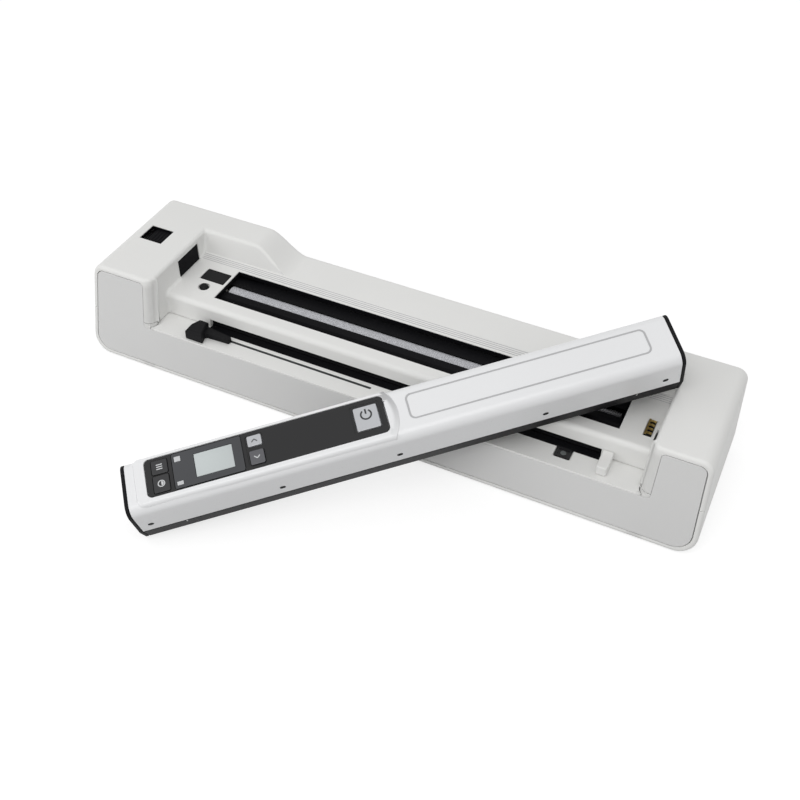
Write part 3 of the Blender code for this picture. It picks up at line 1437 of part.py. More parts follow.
def make_screws(frame):
    for i, (x, y) in enumerate(boss_places(), 1):
        low = FOOT_PROUD + SCREW_SINK
        screw = rod(
            f"base_screw_{i}", SCREW_HEAD_RADIUS, (x, y, low), SCREW_HEAD_HEIGHT, "Z", SMALL_ROUND_STEPS
        )
        start = low + SCREW_HEAD_HEIGHT - OVERLAP
        length = SCREW_LENGTH + OVERLAP
        shank = rod(f"shank {i}", SCREW_RADIUS, (x, y, start), length, "Z", SMALL_ROUND_STEPS)
        finish(join(screw, shank), frame, STEEL)


# The wand's shells

def shell_outline():
    """The upper shell's section, a channel that is open below."""
    side = WAND_WIDTH / 2
    inner = side - WAND_WALL
    roof = WAND_HEIGHT - WAND_TOP_WALL
    radius = WAND_EDGE_RADIUS
    inner_radius = radius - WAND_WALL
    outer = [
        (side, SHELL_BOTTOM, 0),
        (side, WAND_HEIGHT, radius),
        (-side, WAND_HEIGHT, radius),
        (-side, SHELL_BOTTOM, 0),
    ]
    inside = [
        (-inner, SHELL_BOTTOM, 0),
        (-inner, roof, inner_radius),
        (inner, roof, inner_radius),
        (inner, SHELL_BOTTOM, 0),
    ]
    return rounded(outer + inside)


def whole_section():
    """The wand's full section, shell and base together."""
    side = WAND_WIDTH / 2
    foot = side - WAND_BASE_TAPER
    corners = [
        (-foot, 0, 0),
        (foot, 0, 0),
        (side, WAND_BASE_HEIGHT, 0),
        (side, WAND_HEIGHT, WAND_EDGE_RADIUS),
        (-side, WAND_HEIGHT, WAND_EDGE_RADIUS),
        (-side, WAND_BASE_HEIGHT, 0),
    ]
    return rounded(corners)


def base_outline(inset):
    """The base's section: it narrows towards the page."""
    side = WAND_WIDTH / 2 - inset
    foot = WAND_WIDTH / 2 - WAND_BASE_TAPER - inset
    return [(-foot, 0), (foot, 0), (side, WAND_BASE_HEIGHT), (-side, WAND_BASE_HEIGHT)]


def surround():
    """The raised field round the panel, whose right end bulges."""
    low, high = SURROUND_U
    half = SURROUND_WIDTH / 2
    front, back = -half, half
    radius = (half * half + SURROUND_BULGE * SURROUND_BULGE) / (2 * SURROUND_BULGE)
    spread = math.asin(half / radius)
    centre = (high + SURROUND_BULGE - radius, 0)
    left = rounded([(high, back, 0), (low, back, SURROUND_RADIUS), (low, front, SURROUND_RADIUS)])
    outline = left + arc(centre, radius, -spread, spread, 2 * ARC_STEPS)[:-1]
    return slab("surround", outline, WAND_HEIGHT - OVERLAP, WAND_TOP, "XY")


def make_battery_cuts():
    side = WAND_WIDTH / 2
    pocket = slab(
        "battery cover pocket",
        rounded(rectangle(BATTERY_COVER_U, BATTERY_COVER_W, BATTERY_COVER_RADIUS)),
        side - BATTERY_COVER_THICKNESS - GAP,
        side + OVERRUN,
        "XZ",
    )
    door = box(
        "battery door",
        grown(BATTERY_COVER_U, -BATTERY_COVER_LIP),
        (side - WAND_WALL - OVERRUN, side),
        grown(BATTERY_COVER_W, -BATTERY_COVER_LIP),
    )
    return pocket, door


def wand_usb_box():
    low = WAND_USB_HEIGHT
    side = WAND_WIDTH / 2
    x = (WAND_USB_U - USB_WIDTH / 2, WAND_USB_U + USB_WIDTH / 2)
    return x, (side - USB_DEPTH, side - GAP), (low, low + USB_HEIGHT)


def make_wand_shell(frame):
    shell = slab("wand_shell", shell_outline(), -SHELL_END, SHELL_END, "YZ")
    join(shell, surround())
    recess = rounded(rectangle(PANEL_U, PANEL_V, PANEL_RADIUS))
    floor = PANEL_BOTTOM - GAP
    cut(shell, slab("panel recess", recess, floor, WAND_TOP + OVERRUN, "XY"))
    window = rounded(rectangle(PANEL_U, PANEL_V, PANEL_RADIUS, PANEL_LIP))
    roof = WAND_HEIGHT - WAND_TOP_WALL
    cut(shell, slab("panel window", window, roof - OVERRUN, WAND_TOP, "XY"))
    outer = slab(
        "line outside",
        rounded(rectangle(LINE_U, LINE_V, LINE_RADIUS)),
        WAND_HEIGHT - LINE_DEPTH,
        WAND_TOP,
        "XY",
    )
    inner = slab(
        "line inside",
        rounded(rectangle(LINE_U, LINE_V, LINE_RADIUS, LINE_WIDTH)),
        WAND_HEIGHT - 2 * LINE_DEPTH,
        WAND_TOP + OVERRUN,
        "XY",
    )
    cut(shell, cut(outer, inner), *make_battery_cuts())
    x, y, z = wand_usb_box()
    cut(shell, box("wand usb opening", grown(x, GAP), (y[0], y[1] + OVERRUN), grown(z, GAP)))
    front = -WAND_WIDTH / 2
    for i, share in enumerate(SIDE_HOLE_SHARES):
        start = (share * WAND_LENGTH / 2, front - OVERRUN, SIDE_HOLE_HEIGHT)
        length = OVERRUN + SIDE_HOLE_DEPTH
        cut(shell, rod(f"side hole {i}", SIDE_HOLE_RADIUS, start, length, "Y", SMALL_ROUND_STEPS))
    return finish(shell, frame, WHITE_PLASTIC)


def post_places():
    low, high = WAND_BOARD_U
    return [low + share * (high - low) for share in WAND_POST_SHARES]


def make_wand_base(frame):
    base = slab("wand_base", base_outline(0), -SHELL_END, SHELL_END, "YZ")
    end = WAND_LENGTH / 2 - BASE_END_BLOCK
    inside = slab("base inside", base_outline(WAND_WALL), -end, end, "YZ")

    def raise_floor(co):
        co.z = WAND_FLOOR if co.z < WAND_FLOOR else WAND_BASE_HEIGHT + OVERRUN
        return co

    reshape(inside, raise_floor)
    cut(base, inside)
    lip = SENSOR_GLASS_LIP
    half_u = WAND_END_U - SENSOR_GLASS_FROM_END
    half_v = SENSOR_GLASS_WIDTH / 2
    window = box(
        "scan window", (-half_u + lip, half_u - lip), (-half_v + lip, half_v - lip), (-OVERRUN, WAND_FLOOR)
    )
    pocket = box(
        "glass pocket",
        (-half_u - GAP, half_u + GAP),
        (-half_v - GAP, half_v + GAP),
        (SENSOR_GLASS_LEDGE, WAND_FLOOR + OVERRUN),
    )
    for i, u in enumerate(post_places()):
        for j, side in enumerate((-1, 1)):
            inner = side * (WAND_BOARD_HALF_WIDTH - WAND_POST_DEPTH / 2)
            outer = side * (WAND_WIDTH / 2 - WAND_WALL - GAP)
            post = box(
                f"board post {i} {j}",
                (u, u + WAND_POST_WIDTH),
                (min(inner, outer), max(inner, outer)),
                (WAND_BASE_HEIGHT / 2, WAND_BOARD_HEIGHT - GAP),
            )
            join(base, post)
    cut(base, window, pocket)
    for side in (-1, 1):
        centre = side * WHEEL_U
        half = WHEEL_WIDTH / 2 + GAP
        radius = WHEEL_RADIUS + GAP
        well = box(
            f"wheel well {side}",
            (centre - half, centre + half),
            (WHEEL_V - radius, WHEEL_V + radius),
            (-OVERRUN, WHEEL_W + radius),
        )
        reach = half + AXLE_OUT + GAP
        start = (centre - reach, WHEEL_V, WHEEL_W)
        bore = rod(f"axle bore {side}", AXLE_RADIUS + GAP, start, 2 * reach, "X", SMALL_ROUND_STEPS)
        cut(base, well, bore)
    return finish(base, frame, BLACK_PLASTIC)


def make_end_caps(frame):
    outer = WAND_LENGTH / 2
    inner = outer - END_CAP_THICKNESS
    for name, low, high in (("end_cap_left", -outer, -inner), ("end_cap_right", inner, outer)):
        finish(slab(name, whole_section(), low, high, "YZ"), frame, BLACK_PLASTIC)


# The wand's panel, display and keys

def on_panel(shares):
    """The U pair and the V pair of an item on the panel."""
    along, across = shares
    return (
        tuple(PANEL_U[0] + share * (PANEL_U[1] - PANEL_U[0]) for share in along),
        tuple(PANEL_V[0] + share * (PANEL_V[1] - PANEL_V[0]) for share in across),
    )


def key_table():
    return (
        ("menu_key", *on_panel(MENU_KEY_SHARES), DARK_KEY),
        ("color_key", *on_panel(COLOR_KEY_SHARES), DARK_KEY),
        ("up_key", *on_panel(UP_KEY_SHARES), SILVER_KEY),
        ("down_key", *on_panel(DOWN_KEY_SHARES), SILVER_KEY),
        ("scan_key", *on_panel(SCAN_KEY_SHARES), SILVER_KEY),
    )


def make_control_panel(frame):
    outline = rounded(rectangle(PANEL_U, PANEL_V, PANEL_RADIUS, GAP))
    panel = slab("control_panel", outline, PANEL_BOTTOM, PANEL_TOP, "XY")
    pocket = rounded(rectangle(*on_panel(BEZEL_SHARES), BEZEL_RADIUS, -GAP))
    cut(panel, slab("bezel pocket", pocket, BEZEL_FLOOR, PANEL_TOP + OVERRUN, "XY"))
    for name, u, v, _ in key_table():
        hole = rounded(rectangle(u, v, KEY_RADIUS, -GAP))
        low = PANEL_BOTTOM - OVERRUN
        cut(panel, slab(f"{name} hole", hole, low, PANEL_TOP + OVERRUN, "XY"))
    return finish(panel, frame, GLOSS_BLACK)


def make_display(frame):
    low = BEZEL_FLOOR + GAP
    high = low + BEZEL_THICKNESS
    outline = rounded(rectangle(*on_panel(BEZEL_SHARES), BEZEL_RADIUS))
    bezel = slab("display_bezel", outline, low, high, "XY")
    for name, shares, thickness, look in (
        ("display_glass", GLASS_SHARES, GLASS_THICKNESS, DISPLAY_GREY),
        ("indicator_lens_upper", LENS_UPPER_SHARES, LENS_THICKNESS, LENS_GREY),
        ("indicator_lens_lower", LENS_LOWER_SHARES, LENS_THICKNESS, LENS_GREY),
    ):
        u, v = on_panel(shares)
        cut(bezel, box(f"{name} opening", grown(u, GAP), grown(v, GAP), (low - OVERRUN, high + OVERRUN)))
        finish(box(name, u, v, (low, low + thickness)), frame, look)
    return finish(bezel, frame, BLACK_PLASTIC)


def make_keys(frame):
    flange_top = PANEL_BOTTOM - KEY_TRAVEL
    stem_low = WAND_BOARD_HEIGHT + BOARD_THICKNESS + KEY_TRAVEL + GAP / 2
    for name, u, v, look in key_table():
        outline = rounded(rectangle(u, v, KEY_RADIUS))
        flange_low = flange_top - KEY_FLANGE_THICKNESS
        key = slab(name, outline, flange_low + OVERLAP / 2, PANEL_TOP + KEY_PROUD, "XY")
        flange = box(
            f"{name} flange", grown(u, KEY_FLANGE), grown(v, KEY_FLANGE), (flange_low, flange_top)
        )
        inset_u = (u[1] - u[0]) * KEY_STEM_SHARE / 2
        inset_v = (v[1] - v[0]) * KEY_STEM_SHARE / 2
        stem = box(
            f"{name} stem", grown(u, -inset_u), grown(v, -inset_v), (stem_low, flange_low + OVERLAP)
        )
        join(key, flange, stem)
        origin = ((u[0] + u[1]) / 2, (v[0] + v[1]) / 2, PANEL_TOP)
        finish(key, frame, look, origin)


# Inside the wand

def make_wand_inside(frame):
    board = box(
        "wand_board",
        WAND_BOARD_U,
        (-WAND_BOARD_HALF_WIDTH, WAND_BOARD_HALF_WIDTH),
        (WAND_BOARD_HEIGHT, WAND_BOARD_HEIGHT + BOARD_THICKNESS),
    )
    finish(board, frame, BOARD_GREEN)
    half_u = WAND_END_U - SENSOR_GLASS_FROM_END
    half_v = SENSOR_GLASS_WIDTH / 2
    low = SENSOR_GLASS_LEDGE + GAP
    glass = box("sensor_glass", (-half_u, half_u), (-half_v, half_v), (low, low + SENSOR_GLASS_THICKNESS))
    finish(glass, frame, CLEAR_GLASS)
    half_u = WAND_END_U - SENSOR_BAR_FROM_END
    half_v = SENSOR_BAR_WIDTH / 2
    low = WAND_FLOOR + GAP
    bar = box("image_sensor", (-half_u, half_u), (-half_v, half_v), (low, low + SENSOR_BAR_HEIGHT))
    finish(bar, frame, BLACK_PLASTIC)
    make_usb_socket("wand_usb_socket", frame, *wand_usb_box())


def make_batteries(frame):
    centre_w = WAND_FLOOR + 2 * GAP + SENSOR_BAR_HEIGHT + BATTERY_RADIUS
    left = BATTERY_U[0]
    for number in (1, 2):
        can = left + BATTERY_LENGTH - BATTERY_NUB_HEIGHT
        right = left + BATTERY_LENGTH
        profile = [
            (0, right),
            (BATTERY_NUB_RADIUS, right),
            (BATTERY_NUB_RADIUS, can),
            (BATTERY_RADIUS, can),
            (BATTERY_RADIUS, left),
            (0, left),
        ]
        profile = [(radius, u - left) for radius, u in profile]
        battery = turned(f"battery_{number}", profile, (left, 0, centre_w))
        finish(battery, frame, BATTERY_BLUE)
        left = right + BATTERY_SPACE


def make_battery_cover(frame):
    side = WAND_WIDTH / 2
    outline = rounded(rectangle(BATTERY_COVER_U, BATTERY_COVER_W, BATTERY_COVER_RADIUS, GAP))
    cover = slab("battery_cover", outline, side - BATTERY_COVER_THICKNESS, side, "XZ")
    origin = (sum(BATTERY_COVER_U) / 2, side, sum(BATTERY_COVER_W) / 2)
    return finish(cover, frame, WHITE_PLASTIC, origin)


def make_guide_rollers(frame):
    half = WHEEL_WIDTH / 2
    end = half + AXLE_OUT
    profile = [
        (0, end),
        (AXLE_RADIUS, end),
        (AXLE_RADIUS, half),
        (WHEEL_RADIUS, half),
        (WHEEL_RADIUS, -half),
        (AXLE_RADIUS, -half),
        (AXLE_RADIUS, -end),
        (0, -end),
    ]
    for name, side in (("guide_roller_left", -1), ("guide_roller_right", 1)):
        roller = turned(name, profile, (side * WHEEL_U, WHEEL_V, WHEEL_W), steps=ROUND_STEPS)
        finish(roller, frame, BLACK_RUBBER)


# How the wand lies

def lay_wand(frame):
    """Its base's front edge touches the table at the left end and the right tower at the other."""
    pitch = math.asin(TOWER_HEIGHT / WAND_LENGTH)
    turn = Euler((WAND_ROLL, -pitch, WAND_YAW), "XYZ").to_matrix()
    edge_v = -WAND_WIDTH / 2 + WAND_BASE_TAPER
    corner = turn @ Vector((WAND_LENGTH / 2, edge_v, 0))
    rest = Vector(
        (RIGHT_FACE_X + WAND_REACH, DOCK_BACK_Y - WAND_REST_FROM_BACK, TOWER_HEIGHT + GAP)
    )
    frame.matrix_basis = Matrix.Translation(rest - corner) @ turn.to_4x4()


def centre_on_origin(root):
    """Moves everything so that the origin is under the middle of the whole object's box."""
    bpy.context.view_layer.update()
    graph = bpy.context.evaluated_depsgraph_get()
    places = []
    for item in PARTS.objects:
        if item.type == "MESH":
            solid = item.evaluated_get(graph)
            places += [solid.matrix_world @ vertex.co for vertex in solid.to_mesh().vertices]
            solid.to_mesh_clear()
    middle_x = (min(place.x for place in places) + max(place.x for place in places)) / 2
    middle_y = (min(place.y for place in places) + max(place.y for place in places)) / 2
    root.location = (-middle_x, -middle_y, 0)


clear_scene()
PARTS = new_collection("portable_document_scanner")
CUTTERS = new_collection("cutters")
ROOT = new_empty("scanner")
DOCK = new_empty("dock_frame", ROOT)
WAND = new_empty("wand_frame", ROOT)

make_lower_housing(DOCK)
make_upper_housing(DOCK)
make_front_panel(DOCK)
make_paper_ledge(DOCK)
make_sensor_window(DOCK)
make_right_guide(DOCK)
make_left_guide(DOCK)
make_paper_chute(DOCK)
make_feed_roller(DOCK)
make_roller_shaft(DOCK)
make_roller_bracket(DOCK)
make_drive_plate(DOCK)
make_roller_bushes(DOCK)
make_gears(DOCK)
make_idler_pin(DOCK)
make_motor(DOCK)
make_main_board(DOCK)
make_usb_socket("usb_socket", DOCK, usb_x(), usb_y(), usb_z())
make_contacts(DOCK)
make_deck_pieces(DOCK)
make_release_slider(DOCK)
make_feet(DOCK)
make_screws(DOCK)

make_wand_shell(WAND)
make_wand_base(WAND)
make_end_caps(WAND)
make_control_panel(WAND)
make_display(WAND)
make_keys(WAND)
make_wand_inside(WAND)
make_batteries(WAND)
make_battery_cover(WAND)
make_guide_rollers(WAND)

lay_wand(WAND)
centre_on_origin(ROOT)
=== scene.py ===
"""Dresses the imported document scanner: finer shells, rings, marks, finishes and a plain stage.

Metres, +Z up. The dock's pieces are drawn round the middle of its own footprint and the wand's
along its own U, V and W, as the model's source has them. Each finished mesh is then put where
the frame is.
"""

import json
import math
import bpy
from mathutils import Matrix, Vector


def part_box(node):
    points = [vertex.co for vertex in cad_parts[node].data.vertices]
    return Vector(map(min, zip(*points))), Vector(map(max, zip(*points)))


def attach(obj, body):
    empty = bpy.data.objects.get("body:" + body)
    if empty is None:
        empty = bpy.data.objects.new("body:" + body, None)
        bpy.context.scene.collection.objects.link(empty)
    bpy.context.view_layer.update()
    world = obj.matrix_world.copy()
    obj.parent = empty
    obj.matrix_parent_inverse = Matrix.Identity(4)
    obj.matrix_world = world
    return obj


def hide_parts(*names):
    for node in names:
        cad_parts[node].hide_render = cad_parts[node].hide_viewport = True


bl_info = {
    "name": "Portable Document Scanner Dressing",
    "version": (1, 0, 0),
    "blender": (4, 5, 0),
    "location": "3D View > Sidebar > Scanner",
    "description": "Builds the visible pieces, finishes and stage of a portable document scanner",
    "category": "Object",
}

from contextlib import contextmanager

import bmesh
import bpy
from bpy.props import FloatProperty, FloatVectorProperty, IntProperty, PointerProperty
from mathutils import Matrix, Vector
from mathutils.bvhtree import BVHTree

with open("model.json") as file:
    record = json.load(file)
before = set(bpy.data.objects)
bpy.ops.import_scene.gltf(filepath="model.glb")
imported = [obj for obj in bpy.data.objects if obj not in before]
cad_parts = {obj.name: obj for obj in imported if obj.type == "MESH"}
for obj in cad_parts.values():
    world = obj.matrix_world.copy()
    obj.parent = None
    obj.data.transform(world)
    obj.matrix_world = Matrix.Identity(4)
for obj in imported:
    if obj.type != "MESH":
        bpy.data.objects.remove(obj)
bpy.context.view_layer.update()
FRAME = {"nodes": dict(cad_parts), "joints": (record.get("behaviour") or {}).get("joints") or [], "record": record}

# Clearances and cuts
GAP = 0.0003
OVERRUN = 0.003
OVERLAP = 0.0006
MERGE_DISTANCE = 0.000001
SKIN_DISTANCE = 0.00003
EDGE_ANGLE = math.radians(40)
SMOOTH_ANGLE = math.radians(35)
FLAT_ANGLE = math.radians(0.3)
STRAIGHT_HALF_ANGLE = math.radians(89)

# Steps round turned pieces
ROUND_STEPS = 32
HOLE_STEPS = 20
SMALL_STEPS = 24
FOOT_STEPS = 48
WHEEL_STEPS = 40
PEG_STEPS = 6

# Dock, outside
DOCK_LENGTH = 0.3282
END_FLARE = 0.003
DOCK_DEPTH = 0.0797
FRONT_LEAN = 0.00965
BOTTOM_RADIUS = 0.010
TOP_RADIUS = 0.006
SEAM_HEIGHT = 0.027
WALL = 0.0022
FRONT_WALL = 0.0046
FOOT_PROUD = 0.0005

# Dock, the cradle between the towers
LEFT_TOWER_LENGTH = 0.0353
RIGHT_TOWER_LENGTH = 0.0281
TOWER_DRAFT = 0.035
TOWER_CORNER_RADIUS = 0.0042
LEDGE_HEIGHT = 0.0252
LEDGE_DEPTH = 0.0153
LEDGE_THICKNESS = 0.0018
LEDGE_CORNER_SWEEP = math.radians(52)
DECK_HEIGHT = 0.038
TOWER_HEIGHT = 0.0522
RIDGE_DEPTH = 0.0083
RIDGE_RADIUS = 0.0028
TROUGH_MARGIN = 0.0253
TROUGH_RIGHT_MARGIN = 0.0188
TROUGH_DEPTH = 0.0254
REAR_LAND = 0.0004
REAR_SLOPE_DEPTH = 0.0042
REAR_WALL_HEIGHT = 0.0406
REAR_LEAN = 0.0045
RAISED_WALL_LENGTH = 0.0308
RAISED_SLOPE_LENGTH = 0.023
FADE_RADII = 3
FADE_END = 0.15
STEP_GROOVE = ((0, -1), (1.2, 2), (-0.6, 2), (-1, 0))
# Section of the grey fill in each of the rear wall's fine grooves, which paints shade in them
STEP_SHADE_PROFILE = ((-0.5, -0.42), (0, -0.75), (0.28, 0))

# Dock, the paper's way through
SLOT_MARGIN = 0.0271
SLOT_RIGHT_MARGIN = 0.0234
SLOT_HEIGHT = 0.0044
EXIT_HEIGHT = 0.0046
EXIT_FLOOR = 0.0281

# Dock, the grey front panel
PANEL_RIM = 0.0025
PANEL_LEDGE_RIM = 0.001
PANEL_TOWER_RIM = 0.0005
PANEL_BOTTOM_RADIUS = 0.0085
PANEL_TOP_RADIUS = 0.004
PANEL_CORNER_RADIUS = 0.002
PANEL_THICKNESS = 0.002
PANEL_GROOVE = 0.0004
PANEL_INNER_GROOVE = 0.00008

# Dock, feet, screws and bosses
FOOT_THICKNESS = 0.0012
FOOT_RADIUS = 0.005
FOOT_INSET_X = 0.032
FOOT_INSET_Y = 0.011
SCREW_RADIUS = 0.0015
SCREW_HEAD_RADIUS = 0.0028
SCREW_HEAD_HEIGHT = 0.002
SCREW_SINK = 0.001
SCREW_LENGTH = 0.032
BOSS_RADIUS = 0.0037
BOSS_SPLIT = 0.0247
BOSS_INSET_X = 0.0165
BOSS_INSET_Y = 0.0135

# Dock, roller and chute
ROLLER_RADIUS = 0.006
ROLLER_BORE_RADIUS = 0.0023
ROLLER_MARGIN = 0.002
ROLLER_RIGHT_MARGIN = 0.0152
ROLLER_SET_BACK = 0.0007
ROLLER_DROP = 0.0004
RING_POINTS = 4
SHAFT_RADIUS = 0.002
COLLAR_RADIUS = 0.0047
COLLAR_LENGTH = 0.0125
CHUTE_THICKNESS = 0.0015
CHUTE_WELL_GAP = 0.0005
CHUTE_DROP = 0.0003
CHUTE_LAND = 0.0076
CHUTE_WELL_STEPS = 40
CHUTE_MARGIN = 0.0017
# Thickness and sink of the black sheets that paint shade on the trough's and the release opening's walls
TROUGH_SHADE_SHEET = 0.0005
RELEASE_SHADE_SHEET = 0.00015
SHADE_SHEET_SINK = 0.0004
BRACKET_THICKNESS = 0.0025
JOURNAL_OUT = 0.0012
GEAR_STAND_OFF = 0.0016
GEAR_WIDTH = 0.004
RIB_THICKNESS = 0.002
RIB_HALF_WIDTH = 0.004
RIB_PLACES_SHARE = (-0.26, 0.26)

# Dock, boards and sockets
BOARD_LENGTH = 0.090
BOARD_DEPTH = 0.030
BOARD_CENTRE_X = -0.015
BOARD_BACK_GAP = 0.0008
BOARD_THICKNESS = 0.0016
DOCK_USB_X = -0.016
STANDOFF_HEIGHT = 0.0033
STANDOFF_RADIUS = 0.002
STANDOFF_INSET = 0.004

# Dock, the small pieces on the deck and the ledge
CONTACT_MARGIN = 0.0041
CONTACT_WIDTH = 0.0035
CONTACT_LENGTH = 0.0111
CONTACT_FROM_RIDGE = 0.0013
CONTACT_POCKET = 0.0012
CONTACT_COUNT = 4
CONTACT_BAR = 0.0009
CONTACT_THICKNESS = 0.0005
CONTACT_PROUD = 0.0001
FINGER_SHARES = (0.25, 0.75)
FINGER_STEPS = 10
DECK_SLOT_MARGIN = 0.0008
DECK_SLOT_WIDTH = 0.0013
DECK_SLOT_LENGTH = 0.0069
PAD_MARGIN = 0.0096
PAD_LENGTH = 0.014
PAD_DEPTH = 0.0087
PAD_FROM_RIDGE = 0.0114
PAD_POCKET = 0.0008
PAD_THICKNESS = 0.0006
PEG_MARGIN = 0.0155
PEG_FROM_RIDGE = 0.0056
PEG_RADIUS = 0.0028
PEG_POCKET = 0.0012
PEG_TURN = 0.35
PEG_PROFILE = ((0.0027, 0), (0.0027, 0.0010), (0.0021, 0.0013), (0.0019, 0.0019))
GUIDE_LINE_FROM_FRONT = 0.0095
GUIDE_SLOT_WIDTH = 0.0015
GUIDE_SLOT_ROUND = 0.9
# Rounding inside the dark sheet that paints shade in the guide slot
SLOT_SHADE_ROUND = 0.7
GUIDE_SLOT_END = 0.1241
LEAD_IN_FROM_LINE = 0.0030
LEAD_IN_DEPTH = 0.0010
LEAD_IN_SINK = 0.0002
GUIDE_LEFT = 0.0205
GUIDE_HEIGHT = 0.0057
GUIDE_ARM_HEIGHT = 0.0028
GUIDE_LENGTH = 0.0105
GUIDE_BACK_SHARES = (0.24, 0.70)
GUIDE_ARM_LENGTH = 0.0125
GUIDE_FRONT_DEPTH = 0.0085
GUIDE_BACK_DEPTH = 0.0030
GUIDE_STEM_DEPTH = 0.0025
GUIDE_BEVEL = 0.0014
GUIDE_BEVEL_SHARE = 0.22
GUIDE_CORNER = 0.0008
RIGHT_GUIDE_MARGIN = 0.0172
RIGHT_GUIDE_WIDTH = 0.0053
RIGHT_GUIDE_DEPTH = 0.0120
RIGHT_GUIDE_FRONT = 0.0030
RIGHT_GUIDE_HEIGHT = 0.0050
RIGHT_GUIDE_RADIUS = 0.001
SENSOR_MARGIN = 0.0359
SENSOR_WIDTH = 0.0078
SENSOR_DEPTH = 0.0068
SENSOR_FRONT = 0.0062
SENSOR_POCKET = 0.0010
SENSOR_PROUD = 0.0001
EYE_RADIUS = 0.0007
EYE_RIM = 0.0013
EYE_SINK = 0.0003
LENS_PROFILE = ((0.0014, -0.0001), (0.0014, 0.0001), (0.0011, 0.0002), (0.0006, 0.00026))

# Dock, the release in the left tower
RELEASE_OPENING_LENGTH = 0.0134
RELEASE_OPENING_DEPTH = 0.0126
RELEASE_FROM_END = 0.0079
RELEASE_FROM_BACK = 0.0269
RELEASE_TRAVEL = 0.003
RELEASE_WINDOW_DEPTH = 0.0188
RELEASE_WINDOW_FROM_BACK = 0.0263
RELEASE_WINDOW_RISE = 0.0001
RELEASE_WINDOW_DROP = 0.0036
RELEASE_BODY_HEIGHT = 0.011
RELEASE_BODY_MARGIN = 0.0016
PAD_SINK = 0.0012
LATCH_SINK = 0.00015
RIB_HEIGHT = 0.0003
SCREW_CROSS_SHARE = 0.6
FOOT_PROFILE = (
    (0.0029, 0.0003),
    (0.0033, 0),
    (0.0046, 0),
    (0.0049, 0.0001),
    (0.005, 0.0004),
    (0.005, 0.0012),
)
TONGUE_MARGIN = 0.0016
TONGUE_DEPTH = 0.0055
TONGUE_HALF_HEIGHT = 0.0003

# Wand, outside
WAND_LENGTH = 0.257
WAND_WIDTH = 0.0273
WAND_HEIGHT = 0.029
WAND_BASE_HEIGHT = 0.0098
WAND_BASE_TAPER = 0.0026
WAND_EDGE_RADIUS = 0.005
WAND_WALL = 0.0018
WAND_TOP_WALL = 0.0024
WAND_FLOOR = 0.002
END_CAP_THICKNESS = 0.0015
SURROUND_HEIGHT = 0.0006
SIDE_HOLE_RADIUS = 0.0011
SIDE_HOLE_ROUND = 0.95
SIDE_HOLE_STEPS = 5
SIDE_HOLE_HALF_LENGTH = 0.0014
SIDE_HOLE_DEPTH = 0.0012
SIDE_HOLE_HEIGHT = 0.015
SIDE_HOLE_SHARES = (-0.945, -0.467, -0.040, 0.492, 0.931)
LINE_U = (0.0037, 0.116)
LINE_V = (-0.0057, 0.0079)
LINE_RADIUS = 0.003
LINE_WIDTH = 0.0008
LINE_DEPTH = 0.0003

# Wand, panel, display and keys
SURROUND_U = (-0.1227, -0.0048)
SURROUND_WIDTH = 0.0252
SURROUND_BULGE = 0.004
SURROUND_RADIUS = 0.003
SURROUND_LEFT_SHARE = 0.3
SURROUND_BACK_SHARE = 0.4
SURROUND_ANGLES = (22.5, 45, 67.5, 90)
PANEL_U = (-0.1175, -0.0062)
PANEL_V = (-0.0088, 0.0108)
PANEL_RADIUS = 0.0025
PANEL_LIP = 0.0007
CONTROL_PANEL_THICKNESS = 0.0016
CONTROL_PANEL_SINK = 0.0002
BEZEL_RADIUS = 0.001
BEZEL_POCKET = 0.0008
BEZEL_THICKNESS = 0.0007
GLASS_THICKNESS = 0.0005
LENS_THICKNESS = 0.0008
LENS_DRAWN_IN = 0.0005
KEY_PROUD = 0.0003
KEY_TRAVEL = 0.0006
KEY_FLANGE = 0.00035
KEY_FLANGE_THICKNESS = 0.0007
KEY_STEM_SHARE = 0.5
KEY_STEM_LOW = 0.02135
KEY_RADIUS = 0.0007
FIELD_DEPTH = 0.0003

# Marks on the keys and the sole, and the battery cover's grip
THIN_STROKE = 1.3
BOLD_STROKE = 2.2
POWER_MARK_GAP = math.radians(34)
POWER_MARK_SHIFT = 0.0016
POWER_MARK_REACH = 0.0024
POWER_BAR_SHARES = (0.15, 1.2)
CHEVRON_REACH = 0.0013
LIST_REACH = 0.0014
LIST_ROW_SHARE = 0.8
SHADE_REACH = 0.0015
SHADE_FILL_SHARE = 0.7
HALF_RING_STEPS = 14
NEARLY_CLOSED = 2 * math.pi - 0.01
SCAN_MARK_U = 0.1065
SCAN_MARK_W = (0.0078, 0.0094)
SCAN_MARK_WIDTH = 0.0007
GRIP_MARGIN = 0.0025
GRIP_PITCH = 0.0014

# Where each item starts and ends along the panel and across it, as shares of the panel
BEZEL_SHARES = ((0.116, 0.404), (0.041, 0.959))
GLASS_SHARES = ((0.207, 0.365), (0.209, 0.811))
LENS_SHARES = {
    "indicator_lens_upper": ((0.126, 0.152), (0.709, 0.893)),
    "indicator_lens_lower": ((0.126, 0.152), (0.092, 0.240)),
}
KEY_SHARES = {
    "menu_key": ((0.030, 0.096), (0.546, 0.908)),
    "color_key": ((0.030, 0.096), (0.071, 0.505)),
    "up_key": ((0.429, 0.488), (0.592, 0.867)),
    "down_key": ((0.429, 0.488), (0.112, 0.469)),
    "scan_key": ((0.872, 0.969), (0.204, 0.816)),
}
KEY_FIELDS = (((0.4205, 0.4965), (0.085, 0.895)), ((0.859, 0.982), (0.13, 0.89)))

